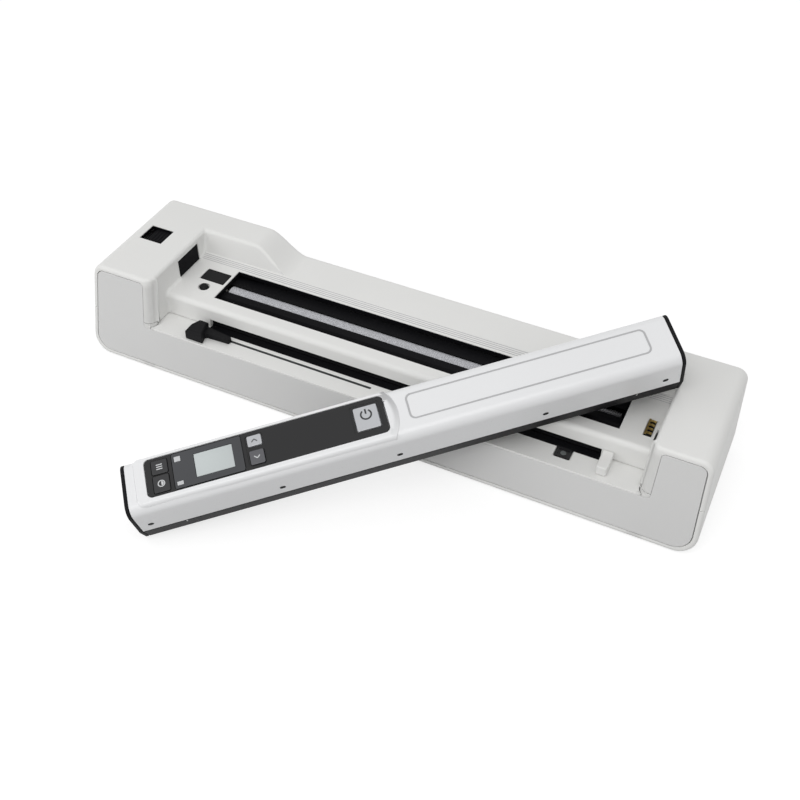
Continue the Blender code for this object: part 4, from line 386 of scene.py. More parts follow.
# Wand, inside
WAND_BOARD_U = (-0.122, -0.003)
WAND_BOARD_HALF_WIDTH = 0.0104
WAND_BOARD_HEIGHT = 0.0190
WAND_POST_WIDTH = 0.003
WAND_POST_DEPTH = 0.0027
WAND_POST_SHARES = (0.06, 0.94)
SENSOR_GLASS_FROM_END = 0.0205
SENSOR_GLASS_WIDTH = 0.010
SENSOR_GLASS_LIP = 0.0012
SENSOR_GLASS_LEDGE = 0.0008
BATTERY_COVER_U = (0.0055, 0.115)
BATTERY_COVER_W = (0.0125, 0.0232)
BATTERY_COVER_THICKNESS = 0.0009
BATTERY_COVER_LIP = 0.0015
BATTERY_COVER_RADIUS = 0.001
WAND_USB_U = -0.1
WAND_USB_HEIGHT = 0.0146
USB_WIDTH = 0.008
USB_HEIGHT = 0.0028
WHEEL_RADIUS = 0.0032
WHEEL_WIDTH = 0.0078
WHEEL_W = 0.0027
WHEEL_U = 0.117
WHEEL_V = 0.005
AXLE_RADIUS = 0.0008
AXLE_OUT = 0.0008
BASE_END_BLOCK = 0.0165

# Bodies whose pieces are drawn round the dock's middle
DOCK_BODIES = ("dock", "feed_roller", "paper_guide", "release")

# Finishes
GRAIN_SPAN = (0.3, 0.7)
GRAIN_DEPTH = 0.0001
MOTTLE_STOPS = (0.35, 0.65)
MOTTLE_DETAIL = 2.0
GRAIN_DETAIL = 4.0
ROUGHNESS_SPREAD = 0.1
METAL_LOOK = (900, 0.12, 0.05)
# Where the painted shade on the towers' front inner corners and on the surround's slope falls
CORNER_SHADE_SIDE = 0.7
CORNER_SHADE_DEPTH = (0.2, 0.9)
SLOPE_LEAN = ((0.05, 0.10), (0.3, 0.4))

# Stage: the floor's look, each lamp's place and size, and the camera's lens, place and axes
FLOOR_COLOUR = (0.42, 0.42, 0.42, 1)
FLOOR_ROUGHNESS = 0.9
FLOOR_GLOSS = 0.1
WHITE = (1, 1, 1, 1)
LAMPS = {"key": ((0.1, -0.6, 1.1), 0.8), "fill": ((-0.6, -0.75, 0.4), 0.7)}
CAMERA_LENS = 49.15
CAMERA_SENSOR = 36
CAMERA_PLACE = (0.17086, -0.32938, 0.39661)
CAMERA_RIGHT = (0.90564, 0.42364, 0.01864)
CAMERA_UP = (-0.30443, 0.61894, 0.72404)
CAMERA_BACK = (0.29519, -0.66139, 0.68951)

# Places that follow from the sizes above
DOCK_BACK_Y = DOCK_DEPTH / 2
DOCK_FLOOR = FOOT_PROUD + WALL
LEFT_FACE_X = -DOCK_LENGTH / 2 + LEFT_TOWER_LENGTH
RIGHT_FACE_X = DOCK_LENGTH / 2 - RIGHT_TOWER_LENGTH
LEDGE_FRONT_Y = -DOCK_DEPTH / 2 + FRONT_LEAN * LEDGE_HEIGHT / TOWER_HEIGHT
RIDGE_Y = LEDGE_FRONT_Y + LEDGE_DEPTH
TROUGH_FRONT_Y = RIDGE_Y + RIDGE_DEPTH
TROUGH_BACK_Y = TROUGH_FRONT_Y + TROUGH_DEPTH
REAR_FOOT_Y = TROUGH_BACK_Y + REAR_LAND
REAR_INNER_Y = REAR_FOOT_Y + REAR_SLOPE_DEPTH
TROUGH_X = (LEFT_FACE_X + TROUGH_MARGIN, RIGHT_FACE_X - TROUGH_RIGHT_MARGIN)
SLOT_X = (LEFT_FACE_X + SLOT_MARGIN, RIGHT_FACE_X - SLOT_RIGHT_MARGIN)
LEDGE_BOTTOM = LEDGE_HEIGHT - LEDGE_THICKNESS
DECK_UNDERSIDE = DECK_HEIGHT - WALL
ROLLER_Y = (TROUGH_FRONT_Y + TROUGH_BACK_Y) / 2 + ROLLER_SET_BACK
ROLLER_Z = DECK_UNDERSIDE - ROLLER_DROP - ROLLER_RADIUS
ROLLER_X = (TROUGH_X[0] + ROLLER_MARGIN, TROUGH_X[1] - ROLLER_RIGHT_MARGIN)
CHUTE_X = (TROUGH_X[0] - CHUTE_MARGIN, TROUGH_X[1] + CHUTE_MARGIN / 2)
GUIDE_LINE_Y = LEDGE_FRONT_Y + GUIDE_LINE_FROM_FRONT
GUIDE_LEFT_X = LEFT_FACE_X + GUIDE_LEFT
GUIDE_STEM_X = GUIDE_LEFT_X + GUIDE_LENGTH / 2
BOARD_BACK_Y = DOCK_BACK_Y - WALL - BOARD_BACK_GAP
WAND_TOP = WAND_HEIGHT + SURROUND_HEIGHT
SHELL_BOTTOM = WAND_BASE_HEIGHT + GAP
SHELL_END = WAND_LENGTH / 2 - END_CAP_THICKNESS - GAP
PANEL_TOP = WAND_TOP - CONTROL_PANEL_SINK
PANEL_BOTTOM = PANEL_TOP - CONTROL_PANEL_THICKNESS
BEZEL_FLOOR = PANEL_TOP - BEZEL_POCKET


def joint_named(name):
    return next(joint for joint in FRAME["joints"] if joint["name"] == name)


def dock_frame():
    """Where the dock's own middle stands in the row frame."""
    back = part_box("upper_housing")[1].y
    return Matrix.Translation((0, back - DOCK_BACK_Y, 0))


def wand_frame():
    """The wand's own U, V and W in the row frame, from its joints."""
    along = Vector(joint_named("guide_roller_left_spin")["axis"]).normalized()
    across = Vector(joint_named("battery_cover_lift")["axis"]).normalized()
    up = along.cross(across)
    wheels = [Vector(joint_named(f"guide_roller_{end}_spin")["pos_m"]) for end in ("left", "right")]
    origin = (wheels[0] + wheels[1]) / 2 - WHEEL_V * across - WHEEL_W * up
    turn = Matrix((along, across, up)).transposed()
    return Matrix.Translation(origin) @ turn.to_4x4()


DOCK = dock_frame()
WAND = wand_frame()


# Outlines

def arc(centre, radius, start, end, steps):
    """Points on a circle from one angle to another, both included."""
    points = []
    for i in range(steps + 1):
        angle = start + (end - start) * i / steps
        points.append((centre[0] + radius * math.cos(angle), centre[1] + radius * math.sin(angle)))
    return points


def rounded(corners, steps):
    """An outline whose corners, each (first, second, radius), are rounded off."""
    points = []
    for i, (first, second, radius) in enumerate(corners):
        here = Vector((first, second))
        before = Vector(corners[i - 1][:2]) - here
        after = Vector(corners[(i + 1) % len(corners)][:2]) - here
        before.normalize()
        after.normalize()
        half = before.angle(after) / 2
        if radius <= 0 or half > STRAIGHT_HALF_ANGLE:
            points.append(tuple(here))
            continue
        middle = here + (before + after).normalized() * radius / math.sin(half)
        start = here + before * radius / math.tan(half) - middle
        end = here + after * radius / math.tan(half) - middle
        sweep = math.atan2(start.cross(end), start.dot(end))
        first_angle = math.atan2(start.y, start.x)
        points += arc(middle, radius, first_angle, first_angle + sweep, steps)
    return points


def rectangle(first, second, radius=0.0, inset=0.0):
    """The corners of a rectangle from (low, high) pairs, drawn in by inset."""
    radius = max(radius - inset, 0.0)
    low_a, high_a = first[0] + inset, first[1] - inset
    low_b, high_b = second[0] + inset, second[1] - inset
    corners = [(low_a, low_b, radius), (high_a, low_b, radius), (high_a, high_b, radius)]
    return corners + [(low_a, high_b, radius)]


def grown(pair, by):
    return pair[0] - by, pair[1] + by


def about(middle, reach):
    return middle - reach, middle + reach


def span(low, length):
    return low, low + length


# Solids

LAY = {
    "X": lambda a, b, depth: (depth, a, b),
    "Y": lambda a, b, depth: (a, depth, b),
    "Z": lambda a, b, depth: (a, b, depth),
}


def piece_from(shape):
    bmesh.ops.recalc_face_normals(shape, faces=shape.faces)
    mesh = bpy.data.meshes.new("piece")
    shape.to_mesh(mesh)
    shape.free()
    return linked("piece", mesh)


def linked(name, data):
    made = bpy.data.objects.new(name, data)
    bpy.context.scene.collection.objects.link(made)
    return made


def stacked(rings):
    """A skin through rings of points that all hold the same number, closed at both ends."""
    shape = bmesh.new()
    rows = [[shape.verts.new(point) for point in ring] for ring in rings]
    count = len(rows[0])
    for row, above in zip(rows, rows[1:]):
        for i in range(count):
            j = (i + 1) % count
            shape.faces.new((row[i], row[j], above[j], above[i]))
    shape.faces.new(rows[0])
    shape.faces.new(rows[-1])
    return piece_from(shape)


def slab(outline, low, high, along="Z"):
    """A flat outline made thick along X, Y or Z, from low to high."""
    return stacked([[LAY[along](a, b, depth) for a, b in outline] for depth in (low, high)])


def block(x, y, z):
    """A box from the first to the last value of each of x, y and z."""
    return slab([(x[0], y[0]), (x[1], y[0]), (x[1], y[1]), (x[0], y[1])], *z)


def turned(profile, start=(0, 0, 0), along="Z", steps=ROUND_STEPS):
    """A solid turned about an axis through start. The profile holds (radius, depth) pairs."""
    rings = []
    for radius, depth in profile:
        circle = arc((0, 0), radius, 0, 2 * math.pi, steps)[:-1]
        circle = [LAY[along](a, b, depth) for a, b in circle]
        rings.append([[base + shift for base, shift in zip(start, point)] for point in circle])
    return stacked(rings)


def rod(radius, start, length, along="Z", steps=ROUND_STEPS):
    """A cylinder that runs from the point start over length along X, Y or Z."""
    return turned([(radius, 0), (radius, length)], start, along, steps)


def reshape(item, move):
    """Moves each point of the mesh to where the function move puts it."""
    for vertex in item.data.vertices:
        vertex.co = move(vertex.co.copy())
    item.data.update()
    return item


def settle(item):
    """Turns the piece and its modifiers into one plain mesh."""
    bpy.context.view_layer.update()
    graph = bpy.context.evaluated_depsgraph_get()
    mesh = bpy.data.meshes.new_from_object(item.evaluated_get(graph))
    old = item.data
    item.modifiers.clear()
    item.data = mesh
    bpy.data.meshes.remove(old)
    return item


def discard(item):
    mesh = item.data
    bpy.data.objects.remove(item, do_unlink=True)
    bpy.data.meshes.remove(mesh)


def combine(item, others, operation):
    for other in others:
        step = item.modifiers.new(operation.lower(), "BOOLEAN")
        step.operation = operation
        step.solver = "EXACT"
        step.object = other
    settle(item)
    for other in others:
        discard(other)
    return item


def carve(item, *cutters):
    return combine(item, cutters, "DIFFERENCE")


def add(item, *others):
    return combine(item, others, "UNION")


@contextmanager
def opened(item):
    """The piece's mesh to be worked on, which is written back at the end."""
    shape = bmesh.new()
    shape.from_mesh(item.data)
    yield shape
    shape.to_mesh(item.data)
    shape.free()


def merge(shape):
    """Merges points that a Boolean left on top of each other."""
    bmesh.ops.remove_doubles(shape, verts=shape.verts, dist=MERGE_DISTANCE)


def soften(item, width, segments=2, share=None):
    """Rounds the edges sharper than the edge angle by the share of width that share() gives."""
    with opened(item) as shape:
        merge(shape)
        bmesh.ops.dissolve_limit(shape, angle_limit=FLAT_ANGLE, verts=shape.verts, edges=shape.edges)
    with opened(item) as shape:
        layer = shape.edges.layers.float.new("bevel_weight_edge")
        for edge in shape.edges:
            sharp = len(edge.link_faces) == 2 and edge.calc_face_angle() > EDGE_ANGLE
            middle = (edge.verts[0].co + edge.verts[1].co) / 2
            edge[layer] = (share(middle) if share else 1.0) if sharp else 0.0
    step = item.modifiers.new("edge rounding", "BEVEL")
    step.width = width
    step.segments = segments
    step.limit_method = "WEIGHT"
    step.use_clamp_overlap = False
    settle(item)
    item.data.attributes.remove(item.data.attributes["bevel_weight_edge"])
    return item


def skin_of(item):
    """The piece's surface as it is now, which tells later cut edges on it from those inside."""
    with opened(item) as shape:
        return BVHTree.FromBMesh(shape)


def on_skin(skin, place):
    return skin.find_nearest(place)[3] < SKIN_DISTANCE


def dress(item, finish):
    """Gives a piece or a node of the frame its finish, and changes nothing else of it."""
    item.data.materials.clear()
    item.data.materials.append(finish)


def place(item, name, body, slot, *nodes, finish=None):
    """Gives the piece its name, shading, place, finish, body and the nodes it stands for."""
    with opened(item) as shape:
        merge(shape)
    item.name = item.data.name = name
    item.data.shade_smooth()
    item.data.set_sharp_from_angle(angle=SMOOTH_ANGLE)
    weigh = item.modifiers.new("even shading", "WEIGHTED_NORMAL")
    weigh.keep_sharp = True
    settle(item)
    item.data.transform(DOCK if body in DOCK_BODIES else WAND)
    dress(item, FINISH[finish or slot])
    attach(item, body)
    if nodes:
        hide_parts(*nodes)


# What a user would change

def number(name, description, default, **limits):
    return FloatProperty(name=name, description=description, default=default, min=0.0, **limits)


def millimetres(name, description, default):
    return number(name, description, default, subtype="DISTANCE", unit="LENGTH")


def whole(name, description, default, least):
    return IntProperty(name=name, description=description, default=default, min=least)


def paint(name, description, default):
    limits = {"min": 0.0, "max": 1.0, "size": 3, "subtype": "COLOR"}
    return FloatVectorProperty(name=name, description=description, default=default, **limits)


class DockSizes(bpy.types.PropertyGroup):
    """Rounding and fine lines of the dock"""

    edge_radius: millimetres("Edge radius", "Rounding of the dock's main edges", 0.0017)
    rim_radius: millimetres("Rim radius", "Rounding of cut edges and small pieces", 0.00025)
    arc_steps: whole("Arc steps", "Steps in each rounded corner", 9, 2)
    fall_steps: whole("Fall steps", "Steps in the rear wall's S curve", 24, 4)
    step_lines: whole("Step lines", "Fine lines along the rear wall's foot", 4, 0)
    step_depth: millimetres("Step depth", "Depth of each fine line", 0.00035)
    grip_ribs: whole("Latch ribs", "Grip ribs on the release pad", 4, 1)


class RollerSizes(bpy.types.PropertyGroup):
    """Rings of the feed roller and its collar"""

    ring_pitch: millimetres("Ring pitch", "From one ring of the roller to the next", 0.0011)
    ring_depth: millimetres("Ring depth", "How deep the roller's rings are cut", 0.00022)
    collar_pitch: millimetres("Collar pitch", "From one ring of the collar to the next", 0.0011)
    collar_depth: millimetres("Collar depth", "How deep the collar's rings are cut", 0.0005)
    segments: whole("Segments", "Flats round the roller", 32, 8)


class WandSizes(bpy.types.PropertyGroup):
    """Rounding, marks and grips of the wand"""

    rim_radius: millimetres("Rim radius", "Rounding of cut edges and small pieces", 0.0002)
    arc_steps: whole("Arc steps", "Steps in each rounded corner", 11, 2)
    shoulder: millimetres("Shoulder", "Rounding of the raised surround's front edge", 0.0020)
    slope: millimetres("Surround slope", "Width of the slope at the surround's right end", 0.0042)
    mark_width: millimetres("Mark width", "Stroke of the marks printed on the keys", 0.00035)
    mark_proud: millimetres("Mark height", "How far a printed mark stands proud", 0.00004)
    grip_ribs: whole("Grip ribs", "Ribs on the battery cover", 6, 1)


class Finishes(bpy.types.PropertyGroup):
    """Colours of the mouldings, and of the painted shade on the surround's slope, in grooves and on opening walls
    """

    dock_white: paint("Dock white", "Moulded white of the dock", (0.80, 0.80, 0.785))
    wand_white: paint("Wand white", "Pearl white of the wand", (0.83, 0.835, 0.845))
    front_grey: paint("Front grey", "Grey of the front plate", (0.685, 0.685, 0.68))
    soft_black: paint("Soft black", "Black mouldings", (0.012, 0.012, 0.013))
    panel_black: paint("Panel black", "Glossy black of the key panel", (0.010, 0.010, 0.011))
    frame_grey: paint("Display frame", "Dark grey of the display's frame", (0.045, 0.047, 0.052))
    display_grey: paint("Display grey", "Liquid crystal window", (0.52, 0.56, 0.56))
    roller_grey: paint("Roller grey", "Rubber of the feed roller", (0.48, 0.485, 0.51))
    key_silver: paint("Key silver", "Silver keys", (0.50, 0.51, 0.53))
    key_dark: paint("Key dark", "Dark keys", (0.020, 0.020, 0.022))
    key_grey: paint("Key grey", "Grey key", (0.11, 0.11, 0.12))
    # how much painted shade darkens the slope beside the key panel
    slope_shade: number("Slope shade", "How grey the slope beside the key panel gets", 0.5, max=1.0)
    # grey of the fills in the wand's line and the rear wall's fine grooves: painted shade
    groove_shade_grey: paint("Line grey", "Line round the wand's right half", (0.47, 0.47, 0.48))
    # black of the liner and plate, also used where it paints shade on the opening walls and the latch
    liner_and_shade_black: paint("Liner black", "Trough liner and label plate", (0.004, 0.004, 0.005))


class StageSettings(bpy.types.PropertyGroup):
    """Floor, lamps and sky"""

    floor_size: millimetres("Floor size", "Side of the square floor", 12.0)
    sky: number("Sky", "Strength of the even sky", 0.62)
    key_power: number("Key lamp", "Power of the lamp above", 3.9)
    fill_power: number("Fill lamp", "Power of the side lamp", 2.0)
    floor_glow: number("Floor glow", "Light that the floor adds for the camera alone", 0.70)


def settings(name):
    return getattr(bpy.context.scene, f"scanner_{name}")


# Node trees

def feed(tree, target, inputs):
    """Links a node's inputs to sockets or sets them to plain values, by name or number."""
    for key, value in inputs.items():
        if isinstance(value, bpy.types.NodeSocket):
            tree.links.new(value, target.inputs[key])
        else:
            target.inputs[key].default_value = value


def node(tree, kind, output, inputs=None, **options):
    """A new node with its options set and its inputs fed. Gives the output of that name."""
    made = tree.nodes.new(kind)
    for option, value in options.items():
        setattr(made, option, value)
    feed(tree, made, inputs or {})
    return made.outputs[output]


def maths(tree, operation, first, second=0.0):
    return node(tree, "ShaderNodeMath", "Value", {0: first, 1: second}, operation=operation)


def product(tree, first, second):
    return maths(tree, "MULTIPLY", first, second)


# Geometry node trees for what repeats

def new_tree(name, **kinds):
    """A geometry tree with named inputs and a finish, and the sockets of its inputs."""
    tree = bpy.data.node_groups.new(name, "GeometryNodeTree")
    tree.interface.new_socket("Geometry", in_out="INPUT", socket_type="NodeSocketGeometry")
    tree.interface.new_socket("Geometry", in_out="OUTPUT", socket_type="NodeSocketGeometry")
    for label, kind in {**kinds, "Finish": "Material"}.items():
        tree.interface.new_socket(label, in_out="INPUT", socket_type=f"NodeSocket{kind}")
    return tree, tree.nodes.new("NodeGroupInput").outputs


def close_tree(tree, given, geometry):
    """Ends a tree in Realize Instances and Set Material."""
    real = node(tree, "GeometryNodeRealizeInstances", "Geometry", {"Geometry": geometry})
    inputs = {"Geometry": real, "Material": given["Finish"]}
    coloured = node(tree, "GeometryNodeSetMaterial", "Geometry", inputs)
    feed(tree, tree.nodes.new("NodeGroupOutput"), {"Geometry": coloured})
    return tree


def copies_on(tree, given, points, **more):
    """The given piece at each of the points."""
    source = node(tree, "GeometryNodeObjectInfo", "Geometry", {"Object": given["Piece"]})
    inputs = {"Points": points, "Instance": source, **more}
    return close_tree(tree, given, node(tree, "GeometryNodeInstanceOnPoints", "Instances", inputs))


def build_copies(name):
    """Copies of one piece at the points of the holder's own mesh."""
    tree, given = new_tree(name, Piece="Object")
    return copies_on(tree, given, given["Geometry"])


def build_row(name):
    """Copies of one piece in a straight row."""
    tree, given = new_tree(name, Piece="Object", Count="Int", First="Vector", Step="Vector")
    inputs = {"Count": given["Count"], "Start Location": given["First"], "Offset": given["Step"]}
    return copies_on(tree, given, node(tree, "GeometryNodeMeshLine", "Mesh", inputs, mode="OFFSET"))


def build_rings(name):
    """A straight roller whose radius drops into a groove after every ring."""
    kinds = {"Start": "Vector", "End": "Vector", "Radius": "Float", "Groove": "Float"}
    tree, given = new_tree(name, **kinds, Points="Int", Segments="Int")
    ends = {"Start": given["Start"], "End": given["End"]}
    line = node(tree, "GeometryNodeCurvePrimitiveLine", "Curve", ends)
    inputs = {"Curve": line, "Count": given["Points"]}
    even = node(tree, "GeometryNodeResampleCurve", "Curve", inputs)
    within = maths(tree, "MODULO", node(tree, "GeometryNodeInputIndex", "Index"), RING_POINTS)
    low_half = maths(tree, "GREATER_THAN", within, (RING_POINTS - 1) / 2)
    drop = product(tree, low_half, given["Groove"])
    size = {"Radius": given["Radius"], "Resolution": given["Segments"]}
    inputs = {
        "Curve": even,
        "Profile Curve": node(tree, "GeometryNodeCurvePrimitiveCircle", "Curve", size),
        "Scale": maths(tree, "SUBTRACT", 1.0, drop),
        "Fill Caps": True,
    }
    return close_tree(tree, given, node(tree, "GeometryNodeCurveToMesh", "Mesh", inputs))


def grown_by(name, build, finish, values, points=()):
    """A plain mesh made by a geometry tree from its named inputs, on a holder with these points."""
    tree = bpy.data.node_groups.get(name) or build(name)
    mesh = bpy.data.meshes.new(name)
    mesh.from_pydata(points, [], [])
    holder = linked(name, mesh)
    step = holder.modifiers.new("repeats", "NODES")
    step.node_group = tree
    values["Finish"] = FINISH[finish]
    for item in tree.interface.items_tree:
        if item.item_type == "SOCKET" and item.in_out == "INPUT" and item.name in values:
            step[item.identifier] = values[item.name]
    return settle(holder)


def copies_at(piece, points, finish):
    made = grown_by("copies at points", build_copies, finish, {"Piece": piece}, points)
    discard(piece)
    return made


def row_of(piece, count, first, step, finish):
    values = {"Piece": piece, "Count": count, "First": first, "Step": step}
    made = grown_by("row of copies", build_row, finish, values)
    discard(piece)
    return made


def ringed(x, radius, pitch, depth, finish):
    """A ringed roller along X about the feed roller's axis."""
    start, end = ((along, ROLLER_Y, ROLLER_Z) for along in x)
    count = round(RING_POINTS * (x[1] - x[0]) / pitch)
    values = {
        "Start": start,
        "End": end,
        "Points": count + RING_POINTS // 2 - count % RING_POINTS,
        "Radius": radius,
        "Groove": depth / radius,
        "Segments": settings("roller").segments,
    }
    return grown_by("ringed roller", build_rings, finish, values)


# Finishes

def shader_of(name):
    """A new material, its tree and its shader."""
    made = bpy.data.materials.new(name)
    made.use_nodes = True
    tree = made.node_tree
    return made, tree, tree.nodes["Principled BSDF"]


def object_noise(tree, scale, detail, stretch=(1, 1, 1)):
    """Noise on the object's own coordinates, stretched by a Mapping node."""
    inputs = {"Vector": node(tree, "ShaderNodeTexCoord", "Object"), "Scale": stretch}
    where = node(tree, "ShaderNodeMapping", "Vector", inputs)
    inputs = {"Vector": where, "Scale": scale, "Detail": detail}
    return node(tree, "ShaderNodeTexNoise", "Fac", inputs)


def mapped(tree, value, source, target):
    """Maps a value from one (low, high) pair onto another, and holds it there outside."""
    limits = zip(("From Min", "From Max", "To Min", "To Max"), (*source, *target))
    return node(tree, "ShaderNodeMapRange", "Result", {"Value": value, **dict(limits)})


def moulded(
    slot, name, colour, roughness, grain, bump, mottle, stretch=(1, 1, 1), patch=14.0, **others
):
    """A moulding: patches of mottle in the colour, fine grain in the roughness and the surface."""
    FINISH[slot], tree, shader = shader_of(name)
    patches = object_noise(tree, patch, MOTTLE_DETAIL)
    ramp = node(tree, "ShaderNodeValToRGB", "Color", {"Fac": patches})
    stops = ramp.node.color_ramp.elements
    for stop, where, change in zip(stops, MOTTLE_STOPS, (-mottle, mottle)):
        stop.position = where
        stop.color = (*[min(part * (1 + change), 1.0) for part in colour], 1)
    fine = object_noise(tree, grain, GRAIN_DETAIL, stretch)
    limits = (roughness * (1 - ROUGHNESS_SPREAD), roughness * (1 + ROUGHNESS_SPREAD))
    rough = mapped(tree, fine, GRAIN_SPAN, limits)
    lift = {"Strength": bump, "Distance": GRAIN_DEPTH, "Height": fine}
    normal = node(tree, "ShaderNodeBump", "Normal", lift)
    feed(tree, shader, {"Base Color": ramp, "Roughness": rough, "Normal": normal})
    feed(tree, shader, {label.replace("_", " "): value for label, value in others.items()})


def turned_metal(slot, name, colour, roughness, stretch):
    """Metal with fine lines that run across its length."""
    moulded(slot, name, colour, roughness, *METAL_LOOK, stretch, Metallic=1.0)


def reach_along(tree, vector, direction, start=(0, 0, 0)):
    """How far a vector reaches in a direction from a starting point."""
    kind = "ShaderNodeVectorMath"
    shift = node(tree, kind, "Vector", {0: vector, 1: start}, operation="SUBTRACT")
    return node(tree, kind, "Value", {0: shift, 1: direction}, operation="DOT_PRODUCT")


def distance_from(tree, value, middle):
    """How far a value lies from a middle, on either side."""
    return maths(tree, "ABSOLUTE", maths(tree, "SUBTRACT", value, middle))


def darken(finish, amount):
    """Takes a 0 to 1 amount off the finish's colour, to paint shade into it."""
    tree = finish.node_tree
    colour = tree.nodes["Principled BSDF"].inputs["Base Color"]
    inputs = {"Vector": colour.links[0].from_socket, "Scale": mapped(tree, amount, (0, 1), (1, 0))}
    tree.links.new(node(tree, "ShaderNodeVectorMath", "Vector", inputs, operation="SCALE"), colour)


def painted_corner_shade(finish):
    """Paints shade on the towers' rounded front inner corners, darkening their white to the front plate's grey."""
    tree = finish.node_tree
    where = node(tree, "ShaderNodeTexCoord", "Object")
    start = DOCK.translation
    radius = TOWER_CORNER_RADIUS
    middle = (LEFT_FACE_X + RIGHT_FACE_X) / 2
    across = distance_from(tree, reach_along(tree, where, (1, 0, 0), start), middle)
    half = (RIGHT_FACE_X - LEFT_FACE_X + radius) / 2
    span_x = (CORNER_SHADE_SIDE * radius, radius)
    near = mapped(tree, distance_from(tree, across, half), span_x, (1, 0))
    behind = reach_along(tree, where, (0, 1, -FRONT_LEAN / TOWER_HEIGHT), start)
    front = -DOCK_DEPTH / 2
    span_y = [front + share * radius for share in CORNER_SHADE_DEPTH]
    turned_in = mapped(tree, behind, span_y, (1, 0))
    height = reach_along(tree, where, (0, 0, 1), start)
    span_z = (TOWER_HEIGHT - 2 * PANEL_RIM, TOWER_HEIGHT - PANEL_RIM)
    below_top = mapped(tree, height, span_z, (1, 0))
    look = settings("finishes")
    # the painted shade takes the corners' white down to the front plate's grey
    grey = 1 - look.front_grey[0] / look.dock_white[0]
    amount = product(tree, product(tree, near, turned_in), below_top)
    darken(finish, mapped(tree, amount, (0, 1), (0, grey)))


def painted_slope_shade(finish):
    """Paints shade on the slope at the right end of the wand's raised surround, most at the back."""
    tree = finish.node_tree
    turn = WAND.to_3x3()
    normal = node(tree, "ShaderNodeNewGeometry", "Normal")
    lean = reach_along(tree, normal, turn @ Vector((1, 0, 0)))
    sloped = product(
        tree, mapped(tree, lean, SLOPE_LEAN[0], (0, 1)), mapped(tree, lean, SLOPE_LEAN[1], (1, 0))
    )
    where = node(tree, "ShaderNodeTexCoord", "Object")
    across = reach_along(tree, where, turn @ Vector((0, 1, 0)), WAND.translation)
    half = SURROUND_WIDTH / 2
    depth = mapped(tree, across, (-half, half), (0, settings("finishes").slope_shade))
    darken(finish, product(tree, sloped, depth))


FINISH = {}


def make_finishes():
    """Fills FINISH. A row holds slot, name, colour, roughness, grain, bump and mottle."""
    look = settings("finishes")
    moulded("white_plastic", "dock white moulding", look.dock_white, 0.46, 2400, 0.05, 0.012)
    # painted shade on the towers' rounded front inner corners
    painted_corner_shade(FINISH["white_plastic"])
    pearl = {"Coat_Weight": 0.25, "Coat_Roughness": 0.12, "Specular_IOR_Level": 0.35}
    moulded("wand_white", "wand pearl white", look.wand_white, 0.30, 1500, 0.02, 0.01, **pearl)
    # painted shade on the surround's sloped right end
    painted_slope_shade(FINISH["wand_white"])
    moulded("grey_plastic", "front plate grey", look.front_grey, 0.5, 3000, 0.05, 0.015)
    for slot, name, colour, roughness, grain, bump, mottle, gloss in (
        ("black_plastic", "soft black moulding", look.soft_black, 0.5, 2200, 0.12, 0.15, 0.07),
        ("gloss_black", "gloss black panel", look.panel_black, 0.16, 1800, 0.01, 0.1, 0.42),
        ("display_frame", "display frame", look.frame_grey, 0.18, 1800, 0.01, 0.1, 0.5),
        # this black also paints shade on the openings' walls and on the latch
        ("liner_and_shade_black", "liner black", look.liner_and_shade_black, 0.55, 1200, 0.1, 0.1, 0.06),
        ("plate_black", "plate black", look.liner_and_shade_black, 0.35, 1200, 0.02, 0.1, 0.14),
    ):
        moulded(slot, name, colour, roughness, grain, bump, mottle, Specular_IOR_Level=gloss)
    moulded("grey_rubber", "roller rubber", look.roller_grey, 0.62, 1300, 0.5, 0.22, patch=1500)
    moulded("black_rubber", "foot rubber", (0.02, 0.02, 0.02), 0.8, 1600, 0.4, 0.2)
    turned_metal("steel", "turned steel", (0.60, 0.60, 0.62), 0.3, (8, 1, 1))
    turned_metal("gold", "gold plate", (0.60, 0.43, 0.15), 0.34, (1, 6, 1))
    turned_metal("dark_steel", "dark steel", (0.28, 0.28, 0.29), 0.35, (8, 1, 1))
    moulded("silver_key", "silver key", look.key_silver, 0.34, 2600, 0.05, 0.05, Metallic=0.35)
    moulded("grey_key", "grey key", look.key_grey, 0.34, 2600, 0.05, 0.05, Metallic=0.35)
    moulded("dark_key", "dark key", look.key_dark, 0.3, 2200, 0.05, 0.1)
    crystal = ("display_grey", "liquid crystal window", look.display_grey)
    moulded(*crystal, 0.14, 400, 0, 0.12, Coat_Weight=0.5)
    moulded("lens_grey", "indicator lens", (0.55, 0.56, 0.57), 0.25, 900, 0.05, 0.05)
    moulded("board_green", "circuit board", (0.03, 0.20, 0.09), 0.5, 1500, 0.3, 0.25)
    moulded("battery_sleeve", "battery sleeve", (0.10, 0.14, 0.30), 0.4, 900, 0.05, 0.1)
    glass = {"Coat_Weight": 0.8, "Coat_Roughness": 0.03}
    moulded("sensor_glass", "scan glass", (0.05, 0.06, 0.065), 0.06, 600, 0, 0.05, **glass)
    moulded("nylon", "nylon gear", (0.78, 0.77, 0.72), 0.5, 1500, 0.15, 0.04)
    moulded("print_white", "printed mark", (0.62, 0.63, 0.64), 0.5, 1500, 0.05, 0.03)
    moulded("print_dark", "dark printed mark", (0.02, 0.02, 0.022), 0.5, 1500, 0.05, 0.03)
    # painted shade in the grooves of the wand's line and the rear wall's fine lines
    moulded("groove_shade_grey", "line grey", look.groove_shade_grey, 0.5, 1200, 0.02, 0.02)
    # the sensor lens, and the painted shade in the guide slot
    moulded("dark_lens_and_slot_shade", "sensor lens", (0.11, 0.12, 0.12), 0.3, 900, 0.02, 0.05)
    # painted shadow in the wand's side holes
    moulded("shadow_black", "matt black inside", (0.004, 0.004, 0.004), 0.9, 1500, 0.1, 0.1)
    for subpart in FRAME["record"]["subparts"]:
        dress(FRAME["nodes"][subpart["node"]], FINISH[subpart["material_slot"]])


# Heights and faces of the dock

